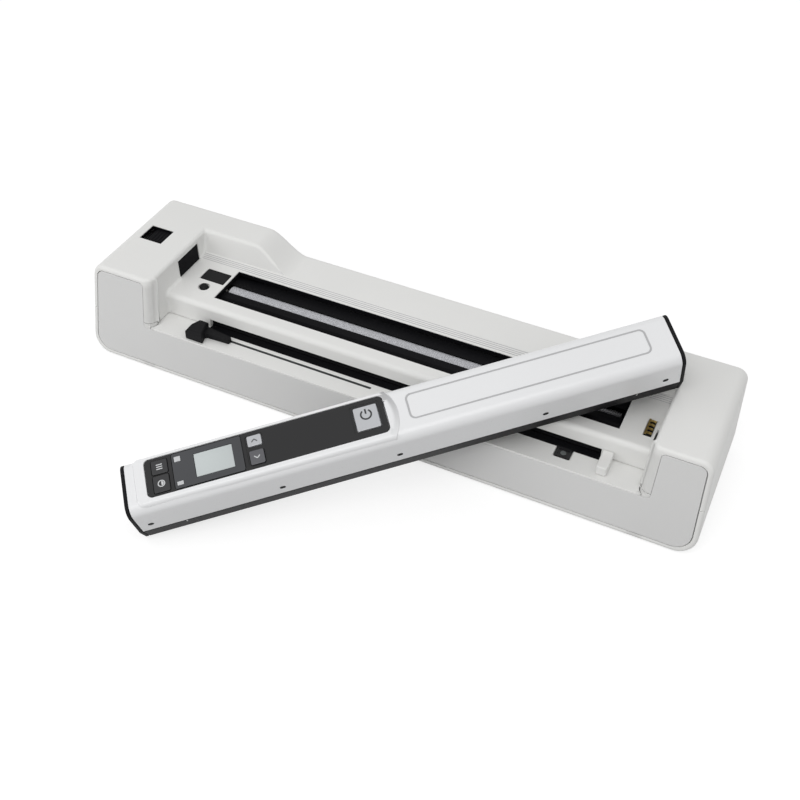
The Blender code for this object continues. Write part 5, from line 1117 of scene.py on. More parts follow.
def front_at(height):
    return -DOCK_DEPTH / 2 + FRONT_LEAN * height / TOWER_HEIGHT


def half_length_at(height):
    return DOCK_LENGTH / 2 + END_FLARE * (1 - height / TOWER_HEIGHT)


def draft_at(height):
    return TOWER_DRAFT * (TOWER_HEIGHT - height)


def faces_at(height, inset=0.0):
    """X of the towers' inner faces at a height, drawn in by inset."""
    return LEFT_FACE_X + draft_at(height) + inset, RIGHT_FACE_X - draft_at(height) - inset


def follow_front(item):
    """Leans a slab that starts at Y = 0 so that it starts at the dock's front face."""
    return reshape(item, lambda co: Vector((co.x, co.y + front_at(co.z), co.z)))


def lean_front_points(item, depth):
    """Leans only the points of the front half by the front face's slope."""

    def move(co):
        if co.y < 0:
            co.y = front_at(co.z) + depth
        return co

    return reshape(item, move)


def dock_outline(inset):
    corners = [
        (-half_length_at(FOOT_PROUD) + inset, FOOT_PROUD + inset, BOTTOM_RADIUS - inset),
        (half_length_at(FOOT_PROUD) - inset, FOOT_PROUD + inset, BOTTOM_RADIUS - inset),
        (half_length_at(TOWER_HEIGHT) - inset, TOWER_HEIGHT - inset, TOP_RADIUS - inset),
        (-half_length_at(TOWER_HEIGHT) + inset, TOWER_HEIGHT - inset, TOP_RADIUS - inset),
    ]
    return rounded(corners, settings("dock").arc_steps)


def dock_block():
    solid = slab(dock_outline(0), -DOCK_DEPTH / 2, DOCK_BACK_Y, "Y")
    return lean_front_points(solid, 0)


def dock_space():
    space = slab(dock_outline(WALL), -DOCK_DEPTH / 2, DOCK_BACK_Y - WALL, "Y")
    return lean_front_points(space, FRONT_WALL)


def whole_box(low, high):
    """A box over the whole dock between two heights."""
    reach = DOCK_LENGTH / 2 + END_FLARE + OVERRUN
    depth = DOCK_DEPTH / 2 + OVERRUN
    return block((-reach, reach), (-depth, depth), (low, high))


def cradle(grow):
    """The space over ledge, ridge, deck and rear wall, made larger all round by grow."""
    low = LEDGE_BOTTOM - OVERRUN
    high = TOWER_HEIGHT + OVERRUN
    front = -DOCK_DEPTH / 2 - OVERRUN
    ridge = RIDGE_Y + grow
    deck = DECK_HEIGHT - grow
    centre = (ridge + RIDGE_RADIUS, deck - RIDGE_RADIUS)
    outline = [(front, high), (front, low), (ridge, low)]
    outline += arc(centre, RIDGE_RADIUS, math.pi, math.pi / 2, settings("dock").arc_steps)
    outline += [
        (REAR_FOOT_Y + grow, deck),
        (REAR_INNER_Y + grow, REAR_WALL_HEIGHT - grow),
        (REAR_INNER_Y + REAR_LEAN + grow, high),
    ]
    space = slab(outline, LEFT_FACE_X - grow, RIGHT_FACE_X + grow, "X")

    def draft(co):
        co.x += math.copysign(draft_at(co.z), -co.x)
        return co

    return reshape(space, draft)


def low_wall(grow):
    """The space over the low middle of the rear wall, with an S curve down from each tower."""
    steps = settings("dock").fall_steps
    left = LEFT_FACE_X + RAISED_WALL_LENGTH - grow
    right = RIGHT_FACE_X - RAISED_WALL_LENGTH + grow
    top = TOWER_HEIGHT - grow
    fall = TOWER_HEIGHT - REAR_WALL_HEIGHT
    curve = []
    for i in range(steps + 1):
        share = i / steps
        eased = share * share * (3 - 2 * share)
        curve.append((share * RAISED_SLOPE_LENGTH, top - fall * eased))
    high = TOWER_HEIGHT + OVERRUN
    outline = [(left, high)] + [(left + run, height) for run, height in curve]
    outline += [(right - run, height) for run, height in reversed(curve)] + [(right, high)]
    front = RIDGE_Y if grow else TROUGH_BACK_Y
    return slab(outline, front, DOCK_BACK_Y + OVERRUN, "Y")


def mouth_outline(inset, reach, sweep):
    """The ledge seen from above, widened at its front by a sweep of the towers' rounded corners."""
    steps = settings("dock").arc_steps
    left, right = faces_at(LEDGE_HEIGHT, inset)
    radius = TOWER_CORNER_RADIUS
    corner_y = LEDGE_FRONT_Y + radius
    front_y = LEDGE_FRONT_Y - reach
    left_arc = arc((left - radius, corner_y), radius, 0, -sweep, steps)
    right_arc = arc((right + radius, corner_y), radius, sweep - math.pi, -math.pi, steps)
    front = [(left_arc[-1][0], front_y), (right_arc[0][0], front_y)]
    return left_arc + front + right_arc


def mouth(low, sweep, back, inset=0.0):
    """Cuts the ledge's front end free and rounds the towers' front inner corners."""
    left, right = faces_at(LEDGE_HEIGHT, inset)
    outline = [(left, back), *mouth_outline(0, DOCK_DEPTH / 2, sweep), (right, back)]
    item = slab(outline, low, TOWER_HEIGHT + OVERRUN)

    def move(co):
        rise = co.z - LEDGE_HEIGHT
        co.y += FRONT_LEAN * rise / TOWER_HEIGHT
        co.x += math.copysign(TOWER_DRAFT * rise, co.x)
        return co

    return reshape(item, move)


def panel_outline(inset, inner_inset):
    """The front panel seen from the front, drawn in at its outside and along ledge and towers."""
    rim = PANEL_RIM + inset
    outer = PANEL_CORNER_RADIUS - inset
    inner = PANEL_CORNER_RADIUS + inner_inset
    bottom = FOOT_PROUD + rim
    top = TOWER_HEIGHT - rim
    ledge = LEDGE_HEIGHT - PANEL_LEDGE_RIM - inner_inset
    left = LEFT_FACE_X - TOWER_CORNER_RADIUS - PANEL_TOWER_RIM - inner_inset
    right = RIGHT_FACE_X + TOWER_CORNER_RADIUS + PANEL_TOWER_RIM + inner_inset
    corners = [
        (-half_length_at(bottom) + rim, bottom, PANEL_BOTTOM_RADIUS - inset),
        (half_length_at(bottom) - rim, bottom, PANEL_BOTTOM_RADIUS - inset),
        (half_length_at(top) - rim, top, PANEL_TOP_RADIUS - inset),
        (right, top, outer),
        (right, ledge, inner),
        (left, ledge, inner),
        (left, top, outer),
        (-half_length_at(top) + rim, top, PANEL_TOP_RADIUS - inset),
    ]
    return rounded(corners, settings("dock").arc_steps)


def panel_recess():
    return follow_front(slab(panel_outline(0, 0), -OVERRUN, PANEL_THICKNESS + GAP, "Y"))


def four_places(front, inset_x, inset_y):
    """X and Y of four places in the dock, drawn in from its ends, its front and its back."""
    side = DOCK_LENGTH / 2 - inset_x
    front += inset_y
    back = DOCK_BACK_Y - inset_y
    return [(-side, front), (side, front), (-side, back), (side, back)]


def boss_places():
    return four_places(front_at(TOWER_HEIGHT), BOSS_INSET_X, BOSS_INSET_Y)


def foot_places():
    return four_places(-DOCK_DEPTH / 2, FOOT_INSET_X, FOOT_INSET_Y)


def release_opening():
    """X and Y of the opening in the left tower's top."""
    back = DOCK_BACK_Y - RELEASE_FROM_BACK
    return (
        span(-DOCK_LENGTH / 2 + RELEASE_FROM_END, RELEASE_OPENING_LENGTH),
        (back - RELEASE_OPENING_DEPTH, back),
    )


def release_window():
    """Y and Z of the window in the left tower's inner face."""
    back = DOCK_BACK_Y - RELEASE_WINDOW_FROM_BACK
    return (
        (back - RELEASE_WINDOW_DEPTH, back),
        (DECK_HEIGHT + RELEASE_WINDOW_RISE, TOWER_HEIGHT - RELEASE_WINDOW_DROP),
    )


def contact_field():
    right = RIGHT_FACE_X - CONTACT_MARGIN
    return (right - CONTACT_WIDTH, right), span(TROUGH_FRONT_Y + CONTACT_FROM_RIDGE, CONTACT_LENGTH)


def plate_field():
    front = TROUGH_FRONT_Y + PAD_FROM_RIDGE
    return span(LEFT_FACE_X + PAD_MARGIN, PAD_LENGTH), span(front, PAD_DEPTH)


def peg_centre(height):
    return LEFT_FACE_X + PEG_MARGIN, TROUGH_FRONT_Y + PEG_FROM_RIDGE, height


def sensor_field():
    left = RIGHT_FACE_X - SENSOR_MARGIN - SENSOR_WIDTH
    return span(left, SENSOR_WIDTH), span(LEDGE_FRONT_Y + SENSOR_FRONT, SENSOR_DEPTH)


# The dock's shells

def rear_wall_share(place):
    """Lets the rear wall's rounding die out where the S curve runs into the low wall."""
    inner = REAR_FOOT_Y < place.y < REAR_INNER_Y + REAR_LEAN
    if not inner or not LEFT_FACE_X + OVERRUN < place.x < RIGHT_FACE_X - OVERRUN:
        return 1.0
    rise = (place.z - REAR_WALL_HEIGHT) / (FADE_RADII * settings("dock").edge_radius)
    return 0.0 if rise < FADE_END else min(rise, 1.0)


def seam_trim():
    """Trims the cover up to the seam, except the walls that stand behind the ledge."""
    trim = whole_box(LEDGE_BOTTOM - OVERRUN, SEAM_HEIGHT)
    kept = block(
        (LEFT_FACE_X - 2 * WALL, RIGHT_FACE_X + 2 * WALL),
        (front_at(SEAM_HEIGHT) + FRONT_WALL + GAP, RIDGE_Y + 2 * WALL),
        (LEDGE_BOTTOM - 2 * OVERRUN, SEAM_HEIGHT + OVERRUN),
    )
    return carve(trim, kept)


def paper_cuts():
    way = (
        (RIDGE_Y - OVERRUN, RIDGE_Y + WALL + OVERRUN),
        (DOCK_BACK_Y - WALL - OVERRUN, DOCK_BACK_Y + OVERRUN),
    )
    slot = block(SLOT_X, way[0], (LEDGE_BOTTOM, LEDGE_HEIGHT + SLOT_HEIGHT))
    way_out = block(SLOT_X, way[1], span(EXIT_FLOOR, EXIT_HEIGHT))
    trough = block(
        TROUGH_X,
        (TROUGH_FRONT_Y, TROUGH_BACK_Y),
        (DECK_UNDERSIDE - OVERRUN, DECK_HEIGHT + OVERRUN),
    )
    return slot, way_out, trough


def release_cuts():
    window_y, window_z = release_window()
    window = block(about(LEFT_FACE_X, 2 * WALL), window_y, window_z)
    opening_x, opening_y = release_opening()
    high = (TOWER_HEIGHT - 2 * WALL, TOWER_HEIGHT + OVERRUN)
    return window, block(opening_x, opening_y, high)


def deck_pocket(x, y, depth):
    return block(grown(x, GAP), grown(y, GAP), (DECK_HEIGHT - depth, DECK_HEIGHT + OVERRUN))


def deck_cuts():
    contacts = deck_pocket(*contact_field(), CONTACT_POCKET)
    plate = deck_pocket(*plate_field(), PAD_POCKET)
    peg = rod(PEG_RADIUS + GAP, peg_centre(DECK_HEIGHT - PEG_POCKET), OVERRUN)
    right = RIGHT_FACE_X - DECK_SLOT_MARGIN
    slot = deck_pocket(
        (right - DECK_SLOT_WIDTH, right),
        span(TROUGH_FRONT_Y, DECK_SLOT_LENGTH),
        WALL + OVERRUN,
    )
    return contacts, plate, peg, slot


def step_lines(profile, inset, finish):
    """Fine lines along the foot of the rear wall. The profile is in shares of their depth."""
    sizes = settings("dock")
    run = REAR_SLOPE_DEPTH / (sizes.step_lines + 1)
    rise = (REAR_WALL_HEIGHT - DECK_HEIGHT) / (sizes.step_lines + 1)
    section = [(y * sizes.step_depth, z * sizes.step_depth) for y, z in profile]
    line = slab(section, *faces_at(DECK_HEIGHT, OVERLAP + inset), "X")
    first = (0, REAR_FOOT_Y + run, DECK_HEIGHT + rise)
    return row_of(line, sizes.step_lines, first, (0, run, rise), finish)


class DockCover(bpy.types.Operator):
    """Builds the dock's white cover: two end towers, the rear wall's S curve, deck and ridge"""

    bl_idname = "scanner.dock_cover"
    bl_label = "Dock cover"

    def execute(self, context):
        sizes = settings("dock")
        cover = dock_block()
        behind = LEDGE_FRONT_Y + TOWER_CORNER_RADIUS + OVERRUN
        corners = mouth(LEDGE_BOTTOM - OVERRUN, math.pi / 2, behind, OVERRUN)
        carve(cover, cradle(0), corners, low_wall(0))
        soften(cover, sizes.edge_radius, 4, rear_wall_share)
        skin = skin_of(cover)
        carve(cover, whole_box(-OVERRUN, LEDGE_HEIGHT + GAP), seam_trim())
        carve(cover, panel_recess(), *paper_cuts(), *release_cuts(), *deck_cuts())
        space = carve(dock_space(), cradle(WALL), low_wall(WALL))
        carve(cover, space)
        top = TOWER_HEIGHT - WALL + OVERLAP
        start = BOSS_SPLIT + GAP
        depth = FOOT_PROUD + SCREW_SINK + SCREW_HEAD_HEIGHT + SCREW_LENGTH + GAP - start + OVERRUN
        bosses = [rod(BOSS_RADIUS, (x, y, start), top - start) for x, y in boss_places()]
        pilots = [
            rod(SCREW_RADIUS + GAP, (x, y, start - OVERRUN), depth) for x, y in boss_places()
        ]
        carve(add(cover, *bosses), *pilots)

        def cut_edge(place):
            rear_wall = place.y > TROUGH_BACK_Y and place.z > DECK_HEIGHT + MERGE_DISTANCE
            return float(on_skin(skin, place) and not rear_wall)

        carve(cover, step_lines(STEP_GROOVE, 0, "white_plastic"))
        soften(cover, sizes.rim_radius, share=cut_edge)
        place(cover, "dock_cover", "dock", "white_plastic", "upper_housing")
        # a grey fill in each fine groove: painted shade
        fill = step_lines(STEP_SHADE_PROFILE, GAP, "groove_shade_grey")
        place(fill, "step_line_fill", "dock", "grey_plastic", finish="groove_shade_grey")
        return {"FINISHED"}


def usb_box(grow):
    low = DOCK_FLOOR + STANDOFF_HEIGHT + GAP + BOARD_THICKNESS + GAP
    wall = (DOCK_BACK_Y - WALL - OVERRUN, DOCK_BACK_Y + OVERRUN)
    return about(DOCK_USB_X, USB_WIDTH / 2 + grow), wall, grown(span(low, USB_HEIGHT), grow)


def tub_supports():
    """Bosses, board standoffs and the two ribs under the chute, each sunk into the floor."""
    start = DOCK_FLOOR - OVERLAP
    made = [rod(BOSS_RADIUS, (x, y, start), BOSS_SPLIT - start) for x, y in boss_places()]
    half = BOARD_LENGTH / 2 - STANDOFF_INSET
    back = BOARD_BACK_Y - STANDOFF_INSET
    front = BOARD_BACK_Y - BOARD_DEPTH + STANDOFF_INSET
    height = STANDOFF_HEIGHT + OVERLAP
    for x in (BOARD_CENTRE_X - half, BOARD_CENTRE_X + half):
        for y in (front, back):
            made.append(rod(STANDOFF_RADIUS, (x, y, start), height, steps=HOLE_STEPS))
    top = ROLLER_Z - ROLLER_RADIUS - CHUTE_WELL_GAP - CHUTE_THICKNESS - GAP
    for share in RIB_PLACES_SHARE:
        x = share * (TROUGH_X[1] - TROUGH_X[0])
        made.append(block(span(x, RIB_THICKNESS), about(ROLLER_Y, RIB_HALF_WIDTH), (start, top)))
    return made


def tub_holes():
    made = []
    sink = SCREW_SINK + SCREW_HEAD_HEIGHT + GAP + OVERRUN
    for x, y in boss_places():
        bottom = (x, y, FOOT_PROUD - OVERRUN)
        made.append(rod(SCREW_RADIUS + GAP, bottom, BOSS_SPLIT + 2 * OVERRUN))
        made.append(rod(SCREW_HEAD_RADIUS + GAP, bottom, sink))
    deep = FOOT_THICKNESS + GAP + OVERRUN
    for x, y in foot_places():
        made.append(rod(FOOT_RADIUS + GAP, (x, y, -OVERRUN), deep, steps=FOOT_STEPS))
    return made


class DockTub(bpy.types.Operator):
    """Builds the dock's white tub under the seam"""

    bl_idname = "scanner.dock_tub"
    bl_label = "Dock tub"

    def execute(self, context):
        sizes = settings("dock")
        tub = soften(dock_block(), sizes.edge_radius, 4)
        skin = skin_of(tub)
        carve(tub, whole_box(SEAM_HEIGHT - GAP, TOWER_HEIGHT + OVERRUN))
        ledge_cut = mouth(LEDGE_BOTTOM - GAP, LEDGE_CORNER_SWEEP, RIDGE_Y - GAP)
        behind = LEDGE_FRONT_Y + TOWER_CORNER_RADIUS + OVERRUN
        carve(tub, mouth(LEDGE_HEIGHT + GAP, math.pi / 2, behind, OVERRUN))
        carve(tub, ledge_cut, panel_recess())
        carve(tub, block(*usb_box(GAP)), dock_space())
        carve(add(tub, *tub_supports()), *tub_holes())
        soften(tub, sizes.rim_radius, share=lambda place: float(on_skin(skin, place)))
        place(tub, "dock_tub", "dock", "white_plastic", "lower_housing")
        return {"FINISHED"}


class FrontPlate(bpy.types.Operator):
    """Builds the flat grey plate in the dock's front"""

    bl_idname = "scanner.front_plate"
    bl_label = "Front plate"

    def execute(self, context):
        plate = slab(panel_outline(PANEL_GROOVE, PANEL_INNER_GROOVE), 0, PANEL_THICKNESS, "Y")
        soften(follow_front(plate), settings("dock").rim_radius, 3)
        place(plate, "front_plate", "dock", "grey_plastic", "front_panel")
        return {"FINISHED"}


# The ledge and what stands on it

def rounded_block(x, y, z, radius):
    """A block whose upright edges are rounded."""
    outline = rounded(rectangle(x, y, radius), settings("dock").arc_steps)
    return slab(outline, z[0], z[1])


class EntryLedge(bpy.types.Operator):
    """Builds the ledge before the paper slot and the paper sensor's eye in it"""

    bl_idname = "scanner.entry_ledge"
    bl_label = "Entry ledge"

    def execute(self, context):
        wall_y = front_at(SEAM_HEIGHT) + FRONT_WALL + GAP
        back = RIDGE_Y + WALL - GAP
        ear = WALL - GAP
        left, right = faces_at(LEDGE_HEIGHT, GAP)
        outline = [(left - ear, back), (left - ear, wall_y + ear), (left, wall_y)]
        outline += mouth_outline(GAP, 0, LEDGE_CORNER_SWEEP)
        outline += [(right, wall_y), (right + ear, wall_y + ear), (right + ear, back)]
        ledge = slab(outline, LEDGE_BOTTOM, LEDGE_HEIGHT)

        def lean(co):
            if co.y < wall_y - GAP / 2:
                co.y += FRONT_LEAN * (co.z - LEDGE_HEIGHT) / TOWER_HEIGHT
            return co

        reshape(ledge, lean)
        half = GUIDE_SLOT_WIDTH / 2
        slot_x = (GUIDE_STEM_X - GUIDE_STEM_DEPTH / 2 - GAP, LEFT_FACE_X + GUIDE_SLOT_END)
        through = (LEDGE_BOTTOM - OVERRUN, LEDGE_HEIGHT + OVERRUN)
        slot_y = about(GUIDE_LINE_Y, half)
        slot = rounded_block(slot_x, slot_y, through, GUIDE_SLOT_ROUND * half)
        eye_x, eye_y = sensor_field()
        sunk = (LEDGE_HEIGHT - SENSOR_POCKET, LEDGE_HEIGHT + OVERRUN)
        pocket = rounded_block(grown(eye_x, GAP), grown(eye_y, GAP), sunk, EYE_RADIUS + GAP)
        lead_y = (GUIDE_LINE_Y + LEAD_IN_FROM_LINE, back)
        lead_z = (LEDGE_HEIGHT - LEAD_IN_DEPTH, LEDGE_HEIGHT + OVERRUN)
        lead = block(SLOT_X, (lead_y[0], back + OVERRUN), lead_z)
        carve(ledge, panel_recess(), slot, pocket, lead)
        soften(ledge, settings("dock").rim_radius)
        place(ledge, "entry_ledge", "dock", "white_plastic", "paper_ledge")
        # a dark sheet inside the guide slot's walls: painted shade in the slot
        sides = rectangle(slot_x, slot_y, GUIDE_SLOT_ROUND * half, GAP / 10)
        depth = (LEDGE_BOTTOM, LEDGE_HEIGHT - LEAD_IN_SINK)
        slot_shade_sheet = slab(rounded(sides, settings("dock").arc_steps), *depth)
        inside = [grown(pair, -GAP / 2) for pair in (slot_x, slot_y)]
        carve(slot_shade_sheet, rounded_block(*inside, through, SLOT_SHADE_ROUND * half))
        place(slot_shade_sheet, "guide_slot_lining", "dock", "black_plastic", finish="dark_lens_and_slot_shade")
        strip = (LEDGE_HEIGHT - LEAD_IN_DEPTH + GAP / 4, LEDGE_HEIGHT - LEAD_IN_SINK)
        fill = block(grown(SLOT_X, -GAP / 4), grown(lead_y, -GAP / 4), strip)
        soften(fill, settings("dock").rim_radius / 2)
        place(fill, "slot_lead_in", "dock", "black_plastic", finish="liner_and_shade_black")
        self.eye(eye_x, eye_y)
        return {"FINISHED"}

    def eye(self, x, y):
        """A black window, sunk a little in its middle, and the pale lens in the sunk field."""
        rim = settings("dock").rim_radius
        low = LEDGE_HEIGHT - SENSOR_POCKET + GAP
        window = rounded_block(x, y, (low, LEDGE_HEIGHT + SENSOR_PROUD), EYE_RADIUS)
        field = [grown(pair, -EYE_RIM) for pair in (x, y)]
        floor = LEDGE_HEIGHT - EYE_SINK
        carve(window, rounded_block(*field, (floor, LEDGE_HEIGHT + OVERRUN), EYE_RADIUS / 2))
        soften(window, rim / 2)
        place(window, "sensor_eye", "dock", "gloss_black", "sensor_window")
        lens = turned(LENS_PROFILE, steps=SMALL_STEPS)
        lens.data.transform(Matrix.Translation((sum(x) / 2, sum(y) / 2, floor)))
        place(lens, "sensor_lens", "dock", "lens_grey", finish="dark_lens_and_slot_shade")


class EdgeGuides(bpy.types.Operator):
    """Builds the black sliding guide and the white fixed guide of the paper's edges"""

    bl_idname = "scanner.edge_guides"
    bl_label = "Edge guides"

    def execute(self, context):
        self.sliding()
        right = RIGHT_FACE_X - RIGHT_GUIDE_MARGIN
        low = LEDGE_HEIGHT + GAP
        guide = rounded_block(
            (right - RIGHT_GUIDE_WIDTH, right),
            span(LEDGE_FRONT_Y + RIGHT_GUIDE_FRONT, RIGHT_GUIDE_DEPTH),
            span(low, RIGHT_GUIDE_HEIGHT),
            RIGHT_GUIDE_RADIUS,
        )
        soften(guide, 2 * settings("dock").rim_radius, 3)
        place(guide, "fixed_guide", "dock", "white_plastic", "right_guide")
        return {"FINISHED"}

    def sliding(self):
        """A head with bevelled top, a low arm, and a stem and foot that run in the ledge's slot."""
        steps = settings("dock").arc_steps
        x = GUIDE_LEFT_X
        front = GUIDE_LINE_Y - GUIDE_FRONT_DEPTH
        back = GUIDE_LINE_Y + GUIDE_BACK_DEPTH
        middle = (front + back) / 2
        low = LEDGE_HEIGHT + GAP
        high = low + GUIDE_HEIGHT
        back_left, back_right = (x + GUIDE_LENGTH * share for share in GUIDE_BACK_SHARES)
        corner = GUIDE_CORNER
        head_outline = rounded(
            [
                (x, front, corner),
                (x + GUIDE_LENGTH, front, corner / 2),
                (back_right, back, corner / 2),
                (back_left, back, corner),
                (x, middle, corner),
            ],
            steps,
        )
        centre = (x + GUIDE_LENGTH / 2, middle)

        def shrunk(point, size):
            return [core + size * (part - core) for part, core in zip(point, centre)]

        rings = []
        for height, size in ((low, 1.0), (high - GUIDE_BEVEL, 1.0), (high, 1 - GUIDE_BEVEL_SHARE)):
            rings.append([(*shrunk(point, size), height) for point in head_outline])
        head = stacked(rings)
        arm_end = x + GUIDE_LENGTH + GUIDE_ARM_LENGTH
        arm_outline = [
            (centre[0], front + corner, 0),
            (x + GUIDE_LENGTH, middle - corner, 0),
            (arm_end, GUIDE_LINE_Y - GUIDE_BACK_DEPTH, corner),
            (arm_end, GUIDE_LINE_Y, corner),
            (centre[0], back - corner, 0),
        ]
        arm = slab(rounded(arm_outline, steps), low, low + GUIDE_ARM_HEIGHT)
        half = GUIDE_SLOT_WIDTH / 2 - GAP
        deep = LEDGE_BOTTOM - GUIDE_STEM_DEPTH
        narrow = about(GUIDE_STEM_X, GUIDE_STEM_DEPTH / 2)
        wide = about(GUIDE_STEM_X, GUIDE_STEM_DEPTH)
        stem = block(narrow, about(GUIDE_LINE_Y, half), (deep, low + OVERLAP))
        foot = block(wide, about(GUIDE_LINE_Y, GUIDE_SLOT_WIDTH), (deep, LEDGE_BOTTOM - GAP))
        add(head, arm, stem, foot)
        soften(head, settings("dock").rim_radius)
        place(head, "sliding_guide", "paper_guide", "black_plastic", "left_guide")


# The trough, the roller and its shaft

def chute_outline():
    """The chute's section: a lead-in from the slot, a well under the roller and the way out."""
    well = ROLLER_RADIUS + CHUTE_WELL_GAP
    plate = DECK_UNDERSIDE - ROLLER_DROP - CHUTE_DROP
    under = plate - CHUTE_THICKNESS
    outer = well + CHUTE_THICKNESS
    lip = math.acos((plate - ROLLER_Z) / well)
    throat = math.acos((under - ROLLER_Z) / outer)
    centre = (ROLLER_Y, ROLLER_Z)
    entry = (RIDGE_Y + WALL + GAP, LEDGE_HEIGHT - GAP)
    way_out = (DOCK_BACK_Y - WALL - GAP, EXIT_FLOOR)
    up = math.pi / 2
    outline = [entry, (ROLLER_Y - CHUTE_LAND, plate)]
    outline += arc(centre, well, up + lip, up - lip + 2 * math.pi, CHUTE_WELL_STEPS)
    outline += [(ROLLER_Y + CHUTE_LAND, plate), way_out, (way_out[0], way_out[1] - CHUTE_THICKNESS)]
    outline += [(ROLLER_Y + CHUTE_LAND, under)]
    outline += arc(centre, outer, up - throat, up + throat - 2 * math.pi, CHUTE_WELL_STEPS)
    outline += [(ROLLER_Y - CHUTE_LAND, under), (entry[0], entry[1] - CHUTE_THICKNESS)]
    return outline


class TroughLiner(bpy.types.Operator):
    """Builds the black liner under the roller, and thin black sheets over the walls of the trough and the release
    opening that paint shade on them
    """

    bl_idname = "scanner.trough_liner"
    bl_label = "Trough liner"

    def execute(self, context):
        liner = slab(chute_outline(), *CHUTE_X, "X")
        place(liner, "trough_liner", "dock", "black_plastic", "paper_chute", finish="liner_and_shade_black")
        opening = (TROUGH_X, (TROUGH_FRONT_Y, TROUGH_BACK_Y))
        self.lip("trough_lip", opening, (DECK_UNDERSIDE - GAP, DECK_HEIGHT - SHADE_SHEET_SINK), TROUGH_SHADE_SHEET)
        height = (TOWER_HEIGHT - WALL, TOWER_HEIGHT - SHADE_SHEET_SINK)
        self.lip("release_lip", release_opening(), height, RELEASE_SHADE_SHEET)
        return {"FINISHED"}

    def lip(self, name, opening, height, thickness):
        """A thin black sheet just inside an opening's walls, which paints shade on them."""
        clear = GAP / 10
        outer = rectangle(*opening, 0, clear)
        lip = slab(rounded(outer, 1), *height)
        inner = rectangle(*opening, 0, clear + thickness)
        carve(lip, slab(rounded(inner, 1), height[0] - OVERRUN, height[1] + OVERRUN))
        place(lip, name, "dock", "black_plastic", finish="liner_and_shade_black")


class DriveRoller(bpy.types.Operator):
    """Builds the ringed rubber roller and its steel shaft with the ringed collar"""

    bl_idname = "scanner.drive_roller"
    bl_label = "Drive roller"

    def execute(self, context):
        sizes = settings("roller")
        roller = ringed(ROLLER_X, ROLLER_RADIUS, sizes.ring_pitch, sizes.ring_depth, "grey_rubber")
        bore_start = (ROLLER_X[0] - OVERRUN, ROLLER_Y, ROLLER_Z)
        bore_length = ROLLER_X[1] - ROLLER_X[0] + 2 * OVERRUN
        carve(roller, rod(ROLLER_BORE_RADIUS, bore_start, bore_length, "X"))
        place(roller, "drive_roller", "feed_roller", "grey_rubber", "feed_roller")
        self.shaft(sizes)
        return {"FINISHED"}

    def shaft(self, sizes):
        left = CHUTE_X[0] - GAP - BRACKET_THICKNESS - JOURNAL_OUT
        gear_end = CHUTE_X[1] + GAP + BRACKET_THICKNESS + GEAR_STAND_OFF + GEAR_WIDTH
        right = gear_end + JOURNAL_OUT
        chamfer = SHAFT_RADIUS / 5
        profile = [
            (SHAFT_RADIUS - chamfer, left),
            (SHAFT_RADIUS, left + chamfer),
            (SHAFT_RADIUS, right - chamfer),
            (SHAFT_RADIUS - chamfer, right),
        ]
        shaft = turned(profile, (0, ROLLER_Y, ROLLER_Z), "X")
        collar_x = span(ROLLER_X[1] + GAP, COLLAR_LENGTH)
        add(shaft, ringed(collar_x, COLLAR_RADIUS, sizes.collar_pitch, sizes.collar_depth, "steel"))
        place(shaft, "drive_shaft", "feed_roller", "steel", "roller_shaft", finish="dark_steel")


# Small pieces on the deck, the release, the feet and the screws

class DeckPieces(bpy.types.Operator):
    """Builds the contact block and its gold fingers, the bare black plate and the peg beside it"""

    bl_idname = "scanner.deck_pieces"
    bl_label = "Deck pieces"

    def execute(self, context):
        rim = settings("dock").rim_radius
        self.contacts(rim)
        low = DECK_HEIGHT - PAD_POCKET + GAP
        plate = rounded_block(*plate_field(), span(low, PAD_THICKNESS), 2 * rim)
        soften(plate, rim / 2)
        place(plate, "cradle_plate", "dock", "gloss_black", "cradle_pad", finish="plate_black")
        low = DECK_HEIGHT - PEG_POCKET + GAP
        peg = turned([(radius, low + rise) for radius, rise in PEG_PROFILE], steps=PEG_STEPS)
        middle = Matrix.Translation((*peg_centre(0)[:2], 0))
        peg.data.transform(middle @ Matrix.Rotation(PEG_TURN, 4, "Z"))
        soften(peg, rim)
        place(peg, "guide_peg", "dock", "black_plastic", "locating_peg")
        return {"FINISHED"}

    def contacts(self, rim):
        x, y = contact_field()
        low = DECK_HEIGHT - CONTACT_POCKET + GAP
        body = rounded_block(x, y, (low, DECK_HEIGHT), rim)
        soften(body, rim / 2)
        place(body, "finger_block", "dock", "black_plastic", "contact_block")
        base = DECK_HEIGHT + GAP
        pitch = (y[1] - y[0]) / CONTACT_COUNT
        width = pitch * (FINGER_SHARES[1] - FINGER_SHARES[0])
        start = x[0] + CONTACT_BAR / 2
        length = x[1] - start
        upper, lower = [], []
        for i in range(FINGER_STEPS + 1):
            share = i / FINGER_STEPS
            arch = CONTACT_THICKNESS * math.sin(math.pi * share) ** 2
            x_along, middle = start + share * length, base + arch / 2
            upper.append((x_along, middle + CONTACT_THICKNESS / 2 + CONTACT_PROUD * share))
            lower.append((x_along, middle - CONTACT_PROUD))
        finger = slab(upper + lower[::-1], 0, width, "Y")
        first = (0, y[0] + FINGER_SHARES[0] * pitch, 0)
        fingers = row_of(finger, CONTACT_COUNT, first, (0, pitch, 0), "gold")
        bar = block((x[0], x[0] + CONTACT_BAR), grown(y, -GAP), span(base, CONTACT_THICKNESS))
        add(bar, fingers)
        place(bar, "gold_fingers", "dock", "gold", "contact_springs")


